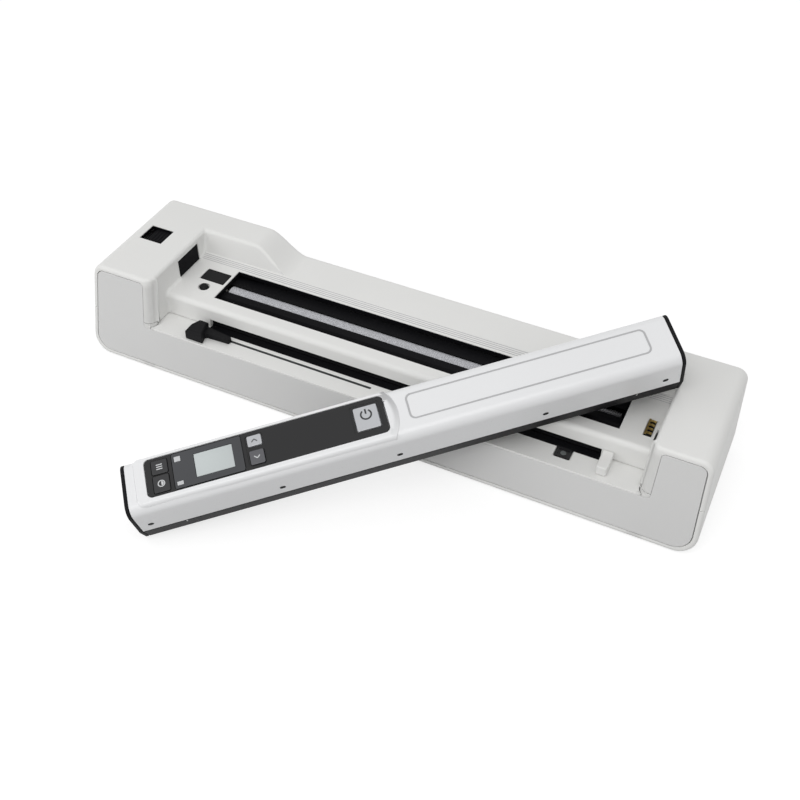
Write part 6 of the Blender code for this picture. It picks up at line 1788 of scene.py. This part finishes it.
class Latch(bpy.types.Operator):
    """Builds the release with its ribbed pad and the nose that shows in the tower's window"""

    bl_idname = "scanner.latch"
    bl_label = "Latch"

    def execute(self, context):
        sizes = settings("dock")
        rim = sizes.rim_radius
        opening_x, opening_y = release_opening()
        window_y, window_z = release_window()
        ceiling = TOWER_HEIGHT - WALL - GAP
        nose_y = grown(window_y, -GAP)
        left = opening_x[0] + RELEASE_TRAVEL - RELEASE_BODY_MARGIN
        right = LEFT_FACE_X - WALL - GAP
        latch = block((left, right), nose_y, (ceiling - RELEASE_BODY_HEIGHT, ceiling))
        pad_x = (opening_x[0] + RELEASE_TRAVEL + GAP, opening_x[1] - GAP)
        pad_y = grown(opening_y, -GAP)
        pad_top = TOWER_HEIGHT - PAD_SINK
        pad = rounded_block(pad_x, pad_y, (ceiling - OVERLAP, pad_top - RIB_HEIGHT), 4 * rim)
        nose = block((right - WALL, LEFT_FACE_X - LATCH_SINK), nose_y, grown(window_z, -GAP))

        def follow_face(co):
            co.x += draft_at(co.z) if co.x > right else 0
            return co

        reshape(nose, follow_face)
        count = sizes.grip_ribs
        pitch = (pad_x[1] - pad_x[0]) / (count + 1)
        half = pitch / 4
        rib_low = pad_top - 2 * RIB_HEIGHT
        profile = [(-half, rib_low), (half, rib_low), (half / 2, pad_top), (-half / 2, pad_top)]
        rib = slab(profile, pad_y[0] + 4 * rim, pad_y[1] - 4 * rim, "Y")
        ribs = row_of(rib, count, (pad_x[0] + pitch, 0, 0), (pitch, 0, 0), "liner_and_shade_black")
        add(latch, pad, nose, ribs)
        soften(latch, rim / 2)
        # The latch takes the darkest, dullest black of the mouldings: painted shade where it sits inside the
        # tower.
        names = ("release_latch", "release", "black_plastic", "release_slider")
        place(latch, *names, finish="liner_and_shade_black")
        return {"FINISHED"}


class FeetAndScrews(bpy.types.Operator):
    """Builds the four rubber feet and the four screws under the dock"""

    bl_idname = "scanner.feet_and_screws"
    bl_label = "Feet and screws"

    def execute(self, context):
        feet = turned(FOOT_PROFILE, steps=FOOT_STEPS)
        self.four("rubber_feet", feet, foot_places(), "black_rubber", "rubber_foot")
        low = FOOT_PROUD + SCREW_SINK
        neck = low + SCREW_HEAD_HEIGHT
        tip = neck + SCREW_LENGTH
        chamfer = SCREW_RADIUS / 4
        profile = [
            (SCREW_HEAD_RADIUS - chamfer, low),
            (SCREW_HEAD_RADIUS, low + chamfer),
            (SCREW_HEAD_RADIUS, neck),
            (SCREW_RADIUS, neck),
            (SCREW_RADIUS, tip - chamfer),
            (SCREW_RADIUS - chamfer, tip),
        ]
        screw = turned(profile, steps=SMALL_STEPS)
        reach, half = SCREW_CROSS_SHARE * SCREW_HEAD_RADIUS, SCREW_HEAD_RADIUS / 8
        deep = (low - OVERRUN, low + SCREW_HEAD_HEIGHT / 2)
        carve(screw, block((-reach, reach), (-half, half), deep))
        carve(screw, block((-half, half), (-reach, reach), deep))
        self.four("base_screws", screw, boss_places(), "steel", "base_screw")
        return {"FINISHED"}

    def four(self, name, piece, places, slot, node_name):
        """Four copies of the piece, which stand for nodes 1 to 4 of that name."""
        copies = copies_at(piece, [(x, y, 0) for x, y in places], slot)
        place(copies, name, "dock", slot, *[f"{node_name}_{i}" for i in range(1, 5)])


class SocketTongues(bpy.types.Operator):
    """Builds the black tongues inside the dock's and the wand's sockets"""

    bl_idname = "scanner.socket_tongues"
    bl_label = "Socket tongues"

    def execute(self, context):
        low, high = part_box("usb_socket")
        middle = ((low.x + high.x) / 2, (low.z + high.z) / 2)
        self.tongue("dock", middle, high.y - DOCK.translation.y)
        middle = (WAND_USB_U, WAND_USB_HEIGHT + USB_HEIGHT / 2)
        self.tongue("wand", middle, WAND_WIDTH / 2 - GAP)
        return {"FINISHED"}

    def tongue(self, body, middle, mouth_y):
        across = about(middle[0], USB_WIDTH / 2 - TONGUE_MARGIN)
        deep = (mouth_y - TONGUE_DEPTH, mouth_y - TONGUE_MARGIN / 2)
        made = block(across, deep, about(middle[1], TONGUE_HALF_HEIGHT))
        soften(made, settings("dock").rim_radius / 2)
        place(made, f"{body}_socket_tongue", body, "black_plastic")


# The wand's shells

def shell_outline():
    """The upper shell's section, a channel that is open below."""
    side = WAND_WIDTH / 2
    inner = side - WAND_WALL
    roof = WAND_HEIGHT - WAND_TOP_WALL
    inner_radius = WAND_EDGE_RADIUS - WAND_WALL
    corners = [
        (side, SHELL_BOTTOM, 0),
        (side, WAND_HEIGHT, WAND_EDGE_RADIUS),
        (-side, WAND_HEIGHT, WAND_EDGE_RADIUS),
        (-side, SHELL_BOTTOM, 0),
        (-inner, SHELL_BOTTOM, 0),
        (-inner, roof, inner_radius),
        (inner, roof, inner_radius),
        (inner, SHELL_BOTTOM, 0),
    ]
    return rounded(corners, settings("wand").arc_steps)


def whole_section(inset=0.0):
    """The wand's full section, shell and base together."""
    side = WAND_WIDTH / 2 - inset
    foot = side - WAND_BASE_TAPER
    corners = [
        (-foot, inset, 0),
        (foot, inset, 0),
        (side, WAND_BASE_HEIGHT, 0),
        (side, WAND_HEIGHT - inset, WAND_EDGE_RADIUS - inset),
        (-side, WAND_HEIGHT - inset, WAND_EDGE_RADIUS - inset),
        (-side, WAND_BASE_HEIGHT, 0),
    ]
    return rounded(corners, settings("wand").arc_steps)


def surround_outline(left, front, back, right):
    """The raised field round the panel, each side drawn in by its value. Its right end bulges."""
    steps = settings("wand").arc_steps
    low, high = SURROUND_U[0] + left, SURROUND_U[1] - right
    half = SURROUND_WIDTH / 2
    radius = (half * half + SURROUND_BULGE * SURROUND_BULGE) / (2 * SURROUND_BULGE)
    centre = (high + SURROUND_BULGE - radius, 0)
    front_v, back_v = front - half, half - back
    spread_front = math.asin(front_v / radius)
    spread_back = math.asin(back_v / radius)
    start = (centre[0] + radius * math.cos(spread_back), back_v, 0)
    corner = SURROUND_RADIUS - left
    left_end = rounded([start, (low, back_v, corner), (low, front_v, corner)], steps)
    return left_end + arc(centre, radius, spread_front, spread_back, 2 * steps)[:-1]


def surround():
    """The surround's skin, rounded at its front edge and sloped at its right end."""
    sizes = settings("wand")
    low, high = WAND_HEIGHT - 2 * sizes.shoulder, WAND_TOP - sizes.shoulder
    drawn_in = {low: (0, 0, 0, 0), high: (0, 0, 0, 0)}
    for angle in SURROUND_ANGLES:
        turn = math.radians(angle)
        height = WAND_TOP - sizes.shoulder * (1 - math.sin(turn))
        front = sizes.shoulder * (1 - math.cos(turn))
        right = sizes.slope * max((height - WAND_HEIGHT) / SURROUND_HEIGHT, 0.0)
        drawn_in[height] = (SURROUND_LEFT_SHARE * front, front, SURROUND_BACK_SHARE * front, right)
    rings = []
    for height, sides in drawn_in.items():
        rings.append([(u, v, height) for u, v in surround_outline(*sides)])
    return stacked(rings)


def line_ring(low, high):
    """A closed ring along the line round the wand's right half."""
    steps = settings("wand").arc_steps
    outer = slab(rounded(rectangle(LINE_U, LINE_V, LINE_RADIUS), steps), low, high)
    inside = rounded(rectangle(LINE_U, LINE_V, LINE_RADIUS, LINE_WIDTH), steps)
    return carve(outer, slab(inside, low - OVERRUN, high + OVERRUN))


def door_outline(inset):
    corners = rectangle(BATTERY_COVER_U, BATTERY_COVER_W, BATTERY_COVER_RADIUS, inset)
    return rounded(corners, settings("wand").arc_steps)


def battery_cuts():
    side = WAND_WIDTH / 2
    pocket = slab(door_outline(0), side - BATTERY_COVER_THICKNESS - GAP, side + OVERRUN, "Y")
    door = block(
        grown(BATTERY_COVER_U, -BATTERY_COVER_LIP),
        (side - WAND_WALL - OVERRUN, side),
        grown(BATTERY_COVER_W, -BATTERY_COVER_LIP),
    )
    return pocket, door


def side_hole_places(depth):
    front = -WAND_WIDTH / 2 + depth
    return [(share * WAND_LENGTH / 2, front, SIDE_HOLE_HEIGHT) for share in SIDE_HOLE_SHARES]


def side_hole(inset, depth):
    """A long round-ended solid whose front is at Y = 0, for the side holes and the painted shadows in them."""
    radius = SIDE_HOLE_RADIUS - inset
    reach = (-SIDE_HOLE_HALF_LENGTH + inset, SIDE_HOLE_HALF_LENGTH - inset)
    corners = rectangle(reach, (-radius, radius), SIDE_HOLE_ROUND * radius)
    return slab(rounded(corners, SIDE_HOLE_STEPS), 0, depth, "Y")


class WandCover(bpy.types.Operator):
    """Builds the wand's white shell with the raised surround, the groove and the side holes"""

    bl_idname = "scanner.wand_cover"
    bl_label = "Wand cover"

    def execute(self, context):
        sizes = settings("wand")
        steps = sizes.arc_steps
        cover = slab(shell_outline(), -SHELL_END, SHELL_END, "X")
        add(cover, surround())
        recess = rounded(rectangle(PANEL_U, PANEL_V, PANEL_RADIUS), steps)
        side = WAND_WIDTH / 2
        usb = about(WAND_USB_U, USB_WIDTH / 2 + GAP)
        usb_z = grown(span(WAND_USB_HEIGHT, USB_HEIGHT), GAP)
        inner_low = WAND_HEIGHT - WAND_TOP_WALL - OVERRUN
        inner = rounded(rectangle(PANEL_U, PANEL_V, PANEL_RADIUS, PANEL_LIP), steps)
        carve(
            cover,
            slab(recess, PANEL_BOTTOM - GAP, WAND_TOP + OVERRUN),
            slab(inner, inner_low, WAND_TOP),
            line_ring(WAND_HEIGHT - LINE_DEPTH, WAND_TOP),
            *battery_cuts(),
            block(usb, (side - WAND_WALL - OVERRUN, side + OVERRUN), usb_z),
        )
        points = side_hole_places(-OVERRUN)
        hole = side_hole(0, OVERRUN + SIDE_HOLE_DEPTH)
        carve(cover, copies_at(hole, points, "wand_white"))
        soften(cover, sizes.rim_radius)
        place(cover, "wand_cover", "wand", "white_plastic", "wand_shell", finish="wand_white")
        # a black piece deep in each side hole: painted shadow
        one_hole_shadow = side_hole(GAP / 4, SIDE_HOLE_DEPTH / 3)
        hole_shadow_copies = copies_at(one_hole_shadow, side_hole_places(SIDE_HOLE_DEPTH / 12), "shadow_black")
        place(hole_shadow_copies, "side_hole_plugs", "wand", "black_plastic", finish="shadow_black")
        # a grey ring in the line's groove: painted shade
        fill = line_ring(WAND_HEIGHT - 1.5 * LINE_DEPTH, WAND_HEIGHT - LINE_DEPTH / 3)
        place(fill, "line_fill", "wand", "grey_plastic", finish="groove_shade_grey")
        return {"FINISHED"}


def base_outline(inset):
    side = WAND_WIDTH / 2 - inset
    foot = side - WAND_BASE_TAPER
    return [(-foot, 0), (foot, 0), (side, WAND_BASE_HEIGHT), (-side, WAND_BASE_HEIGHT)]


class WandSole(bpy.types.Operator):
    """Builds the wand's black base and the two end plates"""

    bl_idname = "scanner.wand_sole"
    bl_label = "Wand sole"

    def execute(self, context):
        sizes = settings("wand")
        sole = slab(base_outline(0), -SHELL_END, SHELL_END, "X")
        soften(sole, sizes.rim_radius)
        end = WAND_LENGTH / 2 - BASE_END_BLOCK
        inside = slab(base_outline(WAND_WALL), -end, end, "X")

        def raise_floor(co):
            co.z = WAND_FLOOR if co.z < WAND_FLOOR else WAND_BASE_HEIGHT + OVERRUN
            return co

        carve(sole, reshape(inside, raise_floor))
        add(sole, *self.posts())
        halves = (WAND_LENGTH / 2 - SENSOR_GLASS_FROM_END, SENSOR_GLASS_WIDTH / 2)
        open_field = [about(0, half - SENSOR_GLASS_LIP) for half in halves]
        window = block(*open_field, (-OVERRUN, WAND_FLOOR))
        glass_field = [about(0, half + GAP) for half in halves]
        pocket = block(*glass_field, (SENSOR_GLASS_LEDGE, WAND_FLOOR + OVERRUN))
        carve(sole, window, pocket, *self.wheel_wells())
        place(sole, "wand_sole", "wand", "black_plastic", "wand_base")
        outer = WAND_LENGTH / 2
        inner = outer - END_CAP_THICKNESS
        for side, low, high in (("left", -outer, -inner), ("right", inner, outer)):
            plate = soften(slab(whole_section(), low, high, "X"), sizes.rim_radius)
            place(plate, f"end_plate_{side}", "wand", "black_plastic", f"end_cap_{side}")
        return {"FINISHED"}

    def posts(self):
        low, high = WAND_BOARD_U
        made = []
        for share in WAND_POST_SHARES:
            u = low + share * (high - low)
            for side in (-1, 1):
                inner = side * (WAND_BOARD_HALF_WIDTH - WAND_POST_DEPTH / 2)
                outer = side * (WAND_WIDTH / 2 - WAND_WALL - GAP)
                v = (min(inner, outer), max(inner, outer))
                height = (WAND_BASE_HEIGHT / 2, WAND_BOARD_HEIGHT - GAP)
                made.append(block(span(u, WAND_POST_WIDTH), v, height))
        return made

    def wheel_wells(self):
        made = []
        half = WHEEL_WIDTH / 2 + GAP
        radius = WHEEL_RADIUS + GAP
        reach = half + AXLE_OUT + GAP
        for centre in (-WHEEL_U, WHEEL_U):
            low_to_top = (-OVERRUN, WHEEL_W + radius)
            made.append(block(about(centre, half), about(WHEEL_V, radius), low_to_top))
            start = (centre - reach, WHEEL_V, WHEEL_W)
            made.append(rod(AXLE_RADIUS + GAP, start, 2 * reach, "X", HOLE_STEPS))
        return made


# The wand's panel, display and keys

def on_panel(shares):
    """The U pair and the V pair of an item on the panel."""
    along, across = shares
    return (
        tuple(PANEL_U[0] + share * (PANEL_U[1] - PANEL_U[0]) for share in along),
        tuple(PANEL_V[0] + share * (PANEL_V[1] - PANEL_V[0]) for share in across),
    )


def panel_slab(u, v, radius, inset, low, high):
    outline = rounded(rectangle(u, v, radius, inset), settings("wand").arc_steps)
    return slab(outline, low, high)


class KeyPanel(bpy.types.Operator):
    """Builds the glossy black panel with the display's pocket and the key holes"""

    bl_idname = "scanner.key_panel"
    bl_label = "Key panel"

    def execute(self, context):
        sizes = settings("wand")
        panel = panel_slab(PANEL_U, PANEL_V, PANEL_RADIUS, GAP, PANEL_BOTTOM, PANEL_TOP)
        above = PANEL_TOP + OVERRUN
        cuts = [
            panel_slab(*on_panel(BEZEL_SHARES), BEZEL_RADIUS, -GAP, BEZEL_FLOOR, above)
        ]
        for name, shares in KEY_SHARES.items():
            below = PANEL_BOTTOM - OVERRUN
            cuts.append(panel_slab(*on_panel(shares), KEY_RADIUS, -GAP, below, above))
        carve(panel, *cuts)
        for shares in KEY_FIELDS:
            field = panel_slab(*on_panel(shares), 2 * KEY_RADIUS, 0, PANEL_TOP - FIELD_DEPTH, above)
            carve(panel, field)
        soften(panel, sizes.rim_radius / 2)
        place(panel, "key_panel", "wand", "gloss_black", "control_panel")
        return {"FINISHED"}


class DisplayPieces(bpy.types.Operator):
    """Builds the display's frame, its liquid crystal window and the two indicator lenses"""

    bl_idname = "scanner.display_pieces"
    bl_label = "Display"

    def execute(self, context):
        rim = settings("wand").rim_radius
        low = BEZEL_FLOOR + GAP
        high = low + BEZEL_THICKNESS
        frame = panel_slab(*on_panel(BEZEL_SHARES), BEZEL_RADIUS, 0, low, high)
        items = [("display_glass", GLASS_SHARES, GLASS_THICKNESS, "display_window", "display_grey")]
        for name, shares in LENS_SHARES.items():
            items.append((name, shares, LENS_THICKNESS, name.replace("lens", "light"), "lens_grey"))
        for subpart, shares, thickness, name, slot in items:
            u, v = on_panel(shares)
            v = grown(v, -LENS_DRAWN_IN) if subpart in LENS_SHARES else v
            opening = panel_slab(u, v, rim, -GAP / 2, low - OVERRUN, high + OVERRUN)
            carve(frame, opening)
            made = panel_slab(u, v, rim, 0, low, low + thickness)
            soften(made, rim / 3)
            place(made, name, "wand", slot, subpart)
        soften(frame, rim / 2)
        names = ("display_frame", "wand", "black_plastic", "display_bezel")
        place(frame, *names, finish="display_frame")
        return {"FINISHED"}


def ring_part(centre, radius, width, start, end):
    """The outline of a stroke that follows a circle from one angle to another."""
    outer = arc(centre, radius + width / 2, start, end, 2 * HALF_RING_STEPS)
    return outer + arc(centre, radius - width / 2, end, start, 2 * HALF_RING_STEPS)


def stroke(first, last, width):
    """The outline of a straight stroke between two points."""
    along = Vector(last) - Vector(first)
    side = Vector((-along.y, along.x)).normalized() * width / 2
    corners = ((first, 1), (first, -1), (last, -1), (last, 1))
    return [tuple(Vector(point) + way * side) for point, way in corners]


def power_mark(centre, reach, width):
    up = math.pi / 2
    ring = ring_part(centre, reach, width, up + POWER_MARK_GAP, up + 2 * math.pi - POWER_MARK_GAP)
    low, high = ((centre[0], centre[1] + share * reach) for share in POWER_BAR_SHARES)
    return [ring, stroke(low, high, width)]


def chevron_mark(centre, reach, width, way):
    tip = (centre[0], centre[1] + way * reach / 2)
    low = centre[1] - way * reach / 2
    left, right = (centre[0] - reach, low), (centre[0] + reach, low)
    return [stroke(left, tip, width), stroke(tip, right, width)]


def chevron_up(centre, reach, width):
    return chevron_mark(centre, reach, width, 1)


def chevron_down(centre, reach, width):
    return chevron_mark(centre, reach, width, -1)


def list_mark(centre, reach, width):
    """Three lines of a list."""
    lines = []
    for row in (-1, 0, 1):
        height = centre[1] + row * LIST_ROW_SHARE * reach
        lines.append(stroke((centre[0] - reach, height), (centre[0] + reach, height), width))
    return lines


def shade_mark(centre, reach, width):
    """A ring with one half filled."""
    half = arc(centre, SHADE_FILL_SHARE * reach, -math.pi / 2, math.pi / 2, HALF_RING_STEPS)
    return [ring_part(centre, reach, width, 0, NEARLY_CLOSED), half]


class Keys(bpy.types.Operator):
    """Builds the five keys with their flanges and stems, and the generic marks printed on them"""

    bl_idname = "scanner.keys"
    bl_label = "Keys"

    def execute(self, context):
        sizes = settings("wand")
        flange_top = PANEL_BOTTOM - KEY_TRAVEL
        flange_low = flange_top - KEY_FLANGE_THICKNESS
        top = PANEL_TOP + KEY_PROUD
        thin, bold = THIN_STROKE * sizes.mark_width, BOLD_STROKE * sizes.mark_width
        marks = {
            "menu_key": (list_mark, LIST_REACH, thin, 0.0, "print_white"),
            "color_key": (shade_mark, SHADE_REACH, thin, 0.0, "print_white"),
            "up_key": (chevron_up, CHEVRON_REACH, thin, 0.0, "print_dark"),
            "down_key": (chevron_down, CHEVRON_REACH, thin, 0.0, "print_white"),
            "scan_key": (power_mark, POWER_MARK_REACH, bold, POWER_MARK_SHIFT, "print_dark"),
        }
        for name, shares in KEY_SHARES.items():
            u, v = on_panel(shares)
            cap = panel_slab(u, v, KEY_RADIUS, 0, flange_low + OVERLAP / 2, top)
            soften(cap, sizes.rim_radius, 3)
            flange = block(grown(u, KEY_FLANGE), grown(v, KEY_FLANGE), (flange_low, flange_top))
            stem_u = grown(u, -(u[1] - u[0]) * KEY_STEM_SHARE / 2)
            stem_v = grown(v, -(v[1] - v[0]) * KEY_STEM_SHARE / 2)
            stem = block(stem_u, stem_v, (KEY_STEM_LOW, flange_low + OVERLAP))
            add(cap, flange, stem)
            slot = "dark_key" if name in ("menu_key", "color_key") else "silver_key"
            finish = "grey_key" if name == "down_key" else slot
            place(cap, f"{name}_cap", name, slot, name, finish=finish)
            draw, reach, width, shift, ink = marks[name]
            centre = ((u[0] + u[1]) / 2, (v[0] + v[1]) / 2 + shift)
            height = (top - sizes.mark_proud, top + sizes.mark_proud)
            strokes = [slab(part, *height) for part in draw(centre, reach, width)]
            mark = strokes[0]
            add(mark, *strokes[1:])
            place(mark, f"{name}_mark", name, "black_plastic", finish=ink)
        return {"FINISHED"}


# The wand's back side and underside

class BatteryLid(bpy.types.Operator):
    """Builds the battery cover with its grip grooves"""

    bl_idname = "scanner.battery_lid"
    bl_label = "Battery lid"

    def execute(self, context):
        sizes = settings("wand")
        side = WAND_WIDTH / 2
        lid = slab(door_outline(GAP), side - BATTERY_COVER_THICKNESS, side, "Y")
        low, high = grown(BATTERY_COVER_W, -GRIP_MARGIN)
        deep = BATTERY_COVER_THICKNESS / 3
        groove = block((0, GRIP_PITCH / 2), (side - deep, side + OVERRUN), (low, high))
        first = (BATTERY_COVER_U[1] - GRIP_MARGIN - sizes.grip_ribs * GRIP_PITCH, 0, 0)
        grooves = row_of(groove, sizes.grip_ribs, first, (GRIP_PITCH, 0, 0), "wand_white")
        carve(lid, grooves)
        soften(lid, sizes.rim_radius / 2)
        names = ("battery_lid", "battery_cover", "white_plastic", "battery_cover")
        place(lid, *names, finish="wand_white")
        return {"FINISHED"}


class GuideWheels(bpy.types.Operator):
    """Builds the two grooved rollers under the wand"""

    bl_idname = "scanner.guide_wheels"
    bl_label = "Guide wheels"

    def execute(self, context):
        half = WHEEL_WIDTH / 2
        end = half + AXLE_OUT
        edge = WHEEL_RADIUS / 8
        groove = WHEEL_RADIUS - edge
        half_profile = [
            (AXLE_RADIUS, -end),
            (AXLE_RADIUS, -half),
            (WHEEL_RADIUS - edge, -half),
            (WHEEL_RADIUS, edge - half),
            (WHEEL_RADIUS, -half / 2 - edge),
            (groove, -half / 2 - edge / 2),
            (groove, -half / 2 + edge / 2),
            (WHEEL_RADIUS, -half / 2 + edge),
        ]
        profile = half_profile + [(radius, -x) for radius, x in half_profile[::-1]]
        for end_name, side in (("left", -1), ("right", 1)):
            body = f"guide_roller_{end_name}"
            wheel = turned(profile, (side * WHEEL_U, WHEEL_V, WHEEL_W), "X", WHEEL_STEPS)
            place(wheel, f"guide_wheel_{end_name}", body, "black_rubber", body)
        return {"FINISHED"}


class ScanMarks(bpy.types.Operator):
    """Builds the small pale marks on the sole's sides that show how wide a page is read"""

    bl_idname = "scanner.scan_marks"
    bl_label = "Scan marks"

    def execute(self, context):
        proud = settings("wand").mark_proud
        for side_name, way in (("front", -1), ("back", 1)):
            mark = block(about(0, SCAN_MARK_WIDTH / 2), (-2 * proud, proud), SCAN_MARK_W)
            lay = Matrix.Diagonal((1, way, 1, 1))
            mark.data.transform(lay)

            def follow_side(co, way=way):
                taper = WAND_BASE_TAPER * (1 - co.z / WAND_BASE_HEIGHT)
                return Vector((co.x, co.y + way * (WAND_WIDTH / 2 - taper), co.z))

            reshape(mark, follow_side)
            if way < 0:
                mark.data.flip_normals()
            marks = copies_at(mark, [(-SCAN_MARK_U, 0, 0), (SCAN_MARK_U, 0, 0)], "print_white")
            place(marks, f"scan_marks_{side_name}", "wand", "black_plastic", finish="print_white")
        return {"FINISHED"}


# Stage and camera

class Stage(bpy.types.Operator):
    """Sets out the pale floor, the even sky, two soft lamps and the camera"""

    bl_idname = "scanner.stage"
    bl_label = "Stage"

    def execute(self, context):
        context.scene.view_settings.view_transform = "Standard"
        look = settings("stage")
        self.floor(look)
        self.sky(look.sky)
        for name, power in (("key", look.key_power), ("fill", look.fill_power)):
            self.lamp(f"{name}_lamp", *LAMPS[name], power)
        self.camera()
        return {"FINISHED"}

    def floor(self, look):
        side = about(0, look.floor_size / 2)
        floor = block(side, side, (-OVERRUN, 0))
        made, tree, shader = shader_of("pale floor")
        inputs = {
            "Base Color": FLOOR_COLOUR,
            "Roughness": FLOOR_ROUGHNESS,
            "Specular IOR Level": FLOOR_GLOSS,
            "Emission Color": WHITE,
            "Emission Strength": self.seen_directly(tree, look.floor_glow),
        }
        feed(tree, shader, inputs)
        floor.data.materials.append(made)

    def seen_directly(self, tree, strength):
        """Strength for rays from the camera, or mirrored or let through, and none for the light."""
        path = tree.nodes.new("ShaderNodeLightPath").outputs
        seen = maths(tree, "MAXIMUM", path["Is Camera Ray"], path["Is Glossy Ray"])
        return product(tree, maths(tree, "MAXIMUM", seen, path["Is Transmission Ray"]), strength)

    def sky(self, strength):
        world = bpy.data.worlds.new("even sky")
        bpy.context.scene.world = world
        world.use_nodes = True
        tree = world.node_tree
        total = maths(tree, "ADD", self.seen_directly(tree, 1 - strength), strength)
        feed(tree, tree.nodes["Background"], {"Color": WHITE, "Strength": total})

    def lamp(self, name, where, size, power):
        light = bpy.data.lights.new(name, "AREA")
        light.shape = "DISK"
        light.size = size
        light.energy = power
        made = linked(name, light)
        made.location = where
        made.rotation_euler = (-Vector(where)).to_track_quat("-Z", "Y").to_euler()

    def camera(self):
        lens = bpy.data.cameras.new("photo_camera")
        lens.lens = CAMERA_LENS
        lens.sensor_width = CAMERA_SENSOR
        made = linked("photo_camera", lens)
        turn = Matrix((CAMERA_RIGHT, CAMERA_UP, CAMERA_BACK)).transposed().to_4x4()
        made.matrix_world = Matrix.Translation(CAMERA_PLACE) @ turn
        bpy.context.scene.camera = made


# The add-on

OPERATORS = (
    DockCover,
    DockTub,
    FrontPlate,
    EntryLedge,
    EdgeGuides,
    TroughLiner,
    DriveRoller,
    DeckPieces,
    Latch,
    FeetAndScrews,
    SocketTongues,
    WandCover,
    WandSole,
    KeyPanel,
    DisplayPieces,
    Keys,
    BatteryLid,
    GuideWheels,
    ScanMarks,
    Stage,
)
GROUPS = {
    "scanner_dock": DockSizes,
    "scanner_roller": RollerSizes,
    "scanner_wand": WandSizes,
    "scanner_finishes": Finishes,
    "scanner_stage": StageSettings,
}


class ScannerPanel(bpy.types.Panel):
    """Lists the scanner's sizes, colours and pieces"""

    bl_idname = "VIEW3D_PT_scanner"
    bl_label = "Portable document scanner"
    bl_space_type = "VIEW_3D"
    bl_region_type = "UI"
    bl_category = "Scanner"

    def draw(self, context):
        for group in GROUPS:
            column = self.layout.column(align=True)
            values = getattr(context.scene, group)
            for name in values.bl_rna.properties.keys():
                if name not in ("rna_type", "name"):
                    column.prop(values, name)
        for operator in OPERATORS:
            self.layout.operator(operator.bl_idname)


def register():
    for group in GROUPS.values():
        bpy.utils.register_class(group)
    for operator in OPERATORS:
        bpy.utils.register_class(operator)
    bpy.utils.register_class(ScannerPanel)
    for name, group in GROUPS.items():
        setattr(bpy.types.Scene, name, PointerProperty(type=group))


def unregister():
    for name in GROUPS:
        delattr(bpy.types.Scene, name)
    bpy.utils.unregister_class(ScannerPanel)
    for operator in reversed(OPERATORS):
        bpy.utils.unregister_class(operator)
    for group in reversed(GROUPS.values()):
        bpy.utils.unregister_class(group)


def main():
    register()
    make_finishes()
    for operator in OPERATORS:
        family, name = operator.bl_idname.split(".")
        getattr(getattr(bpy.ops, family), name)()


if __name__ == "__main__":
    main()
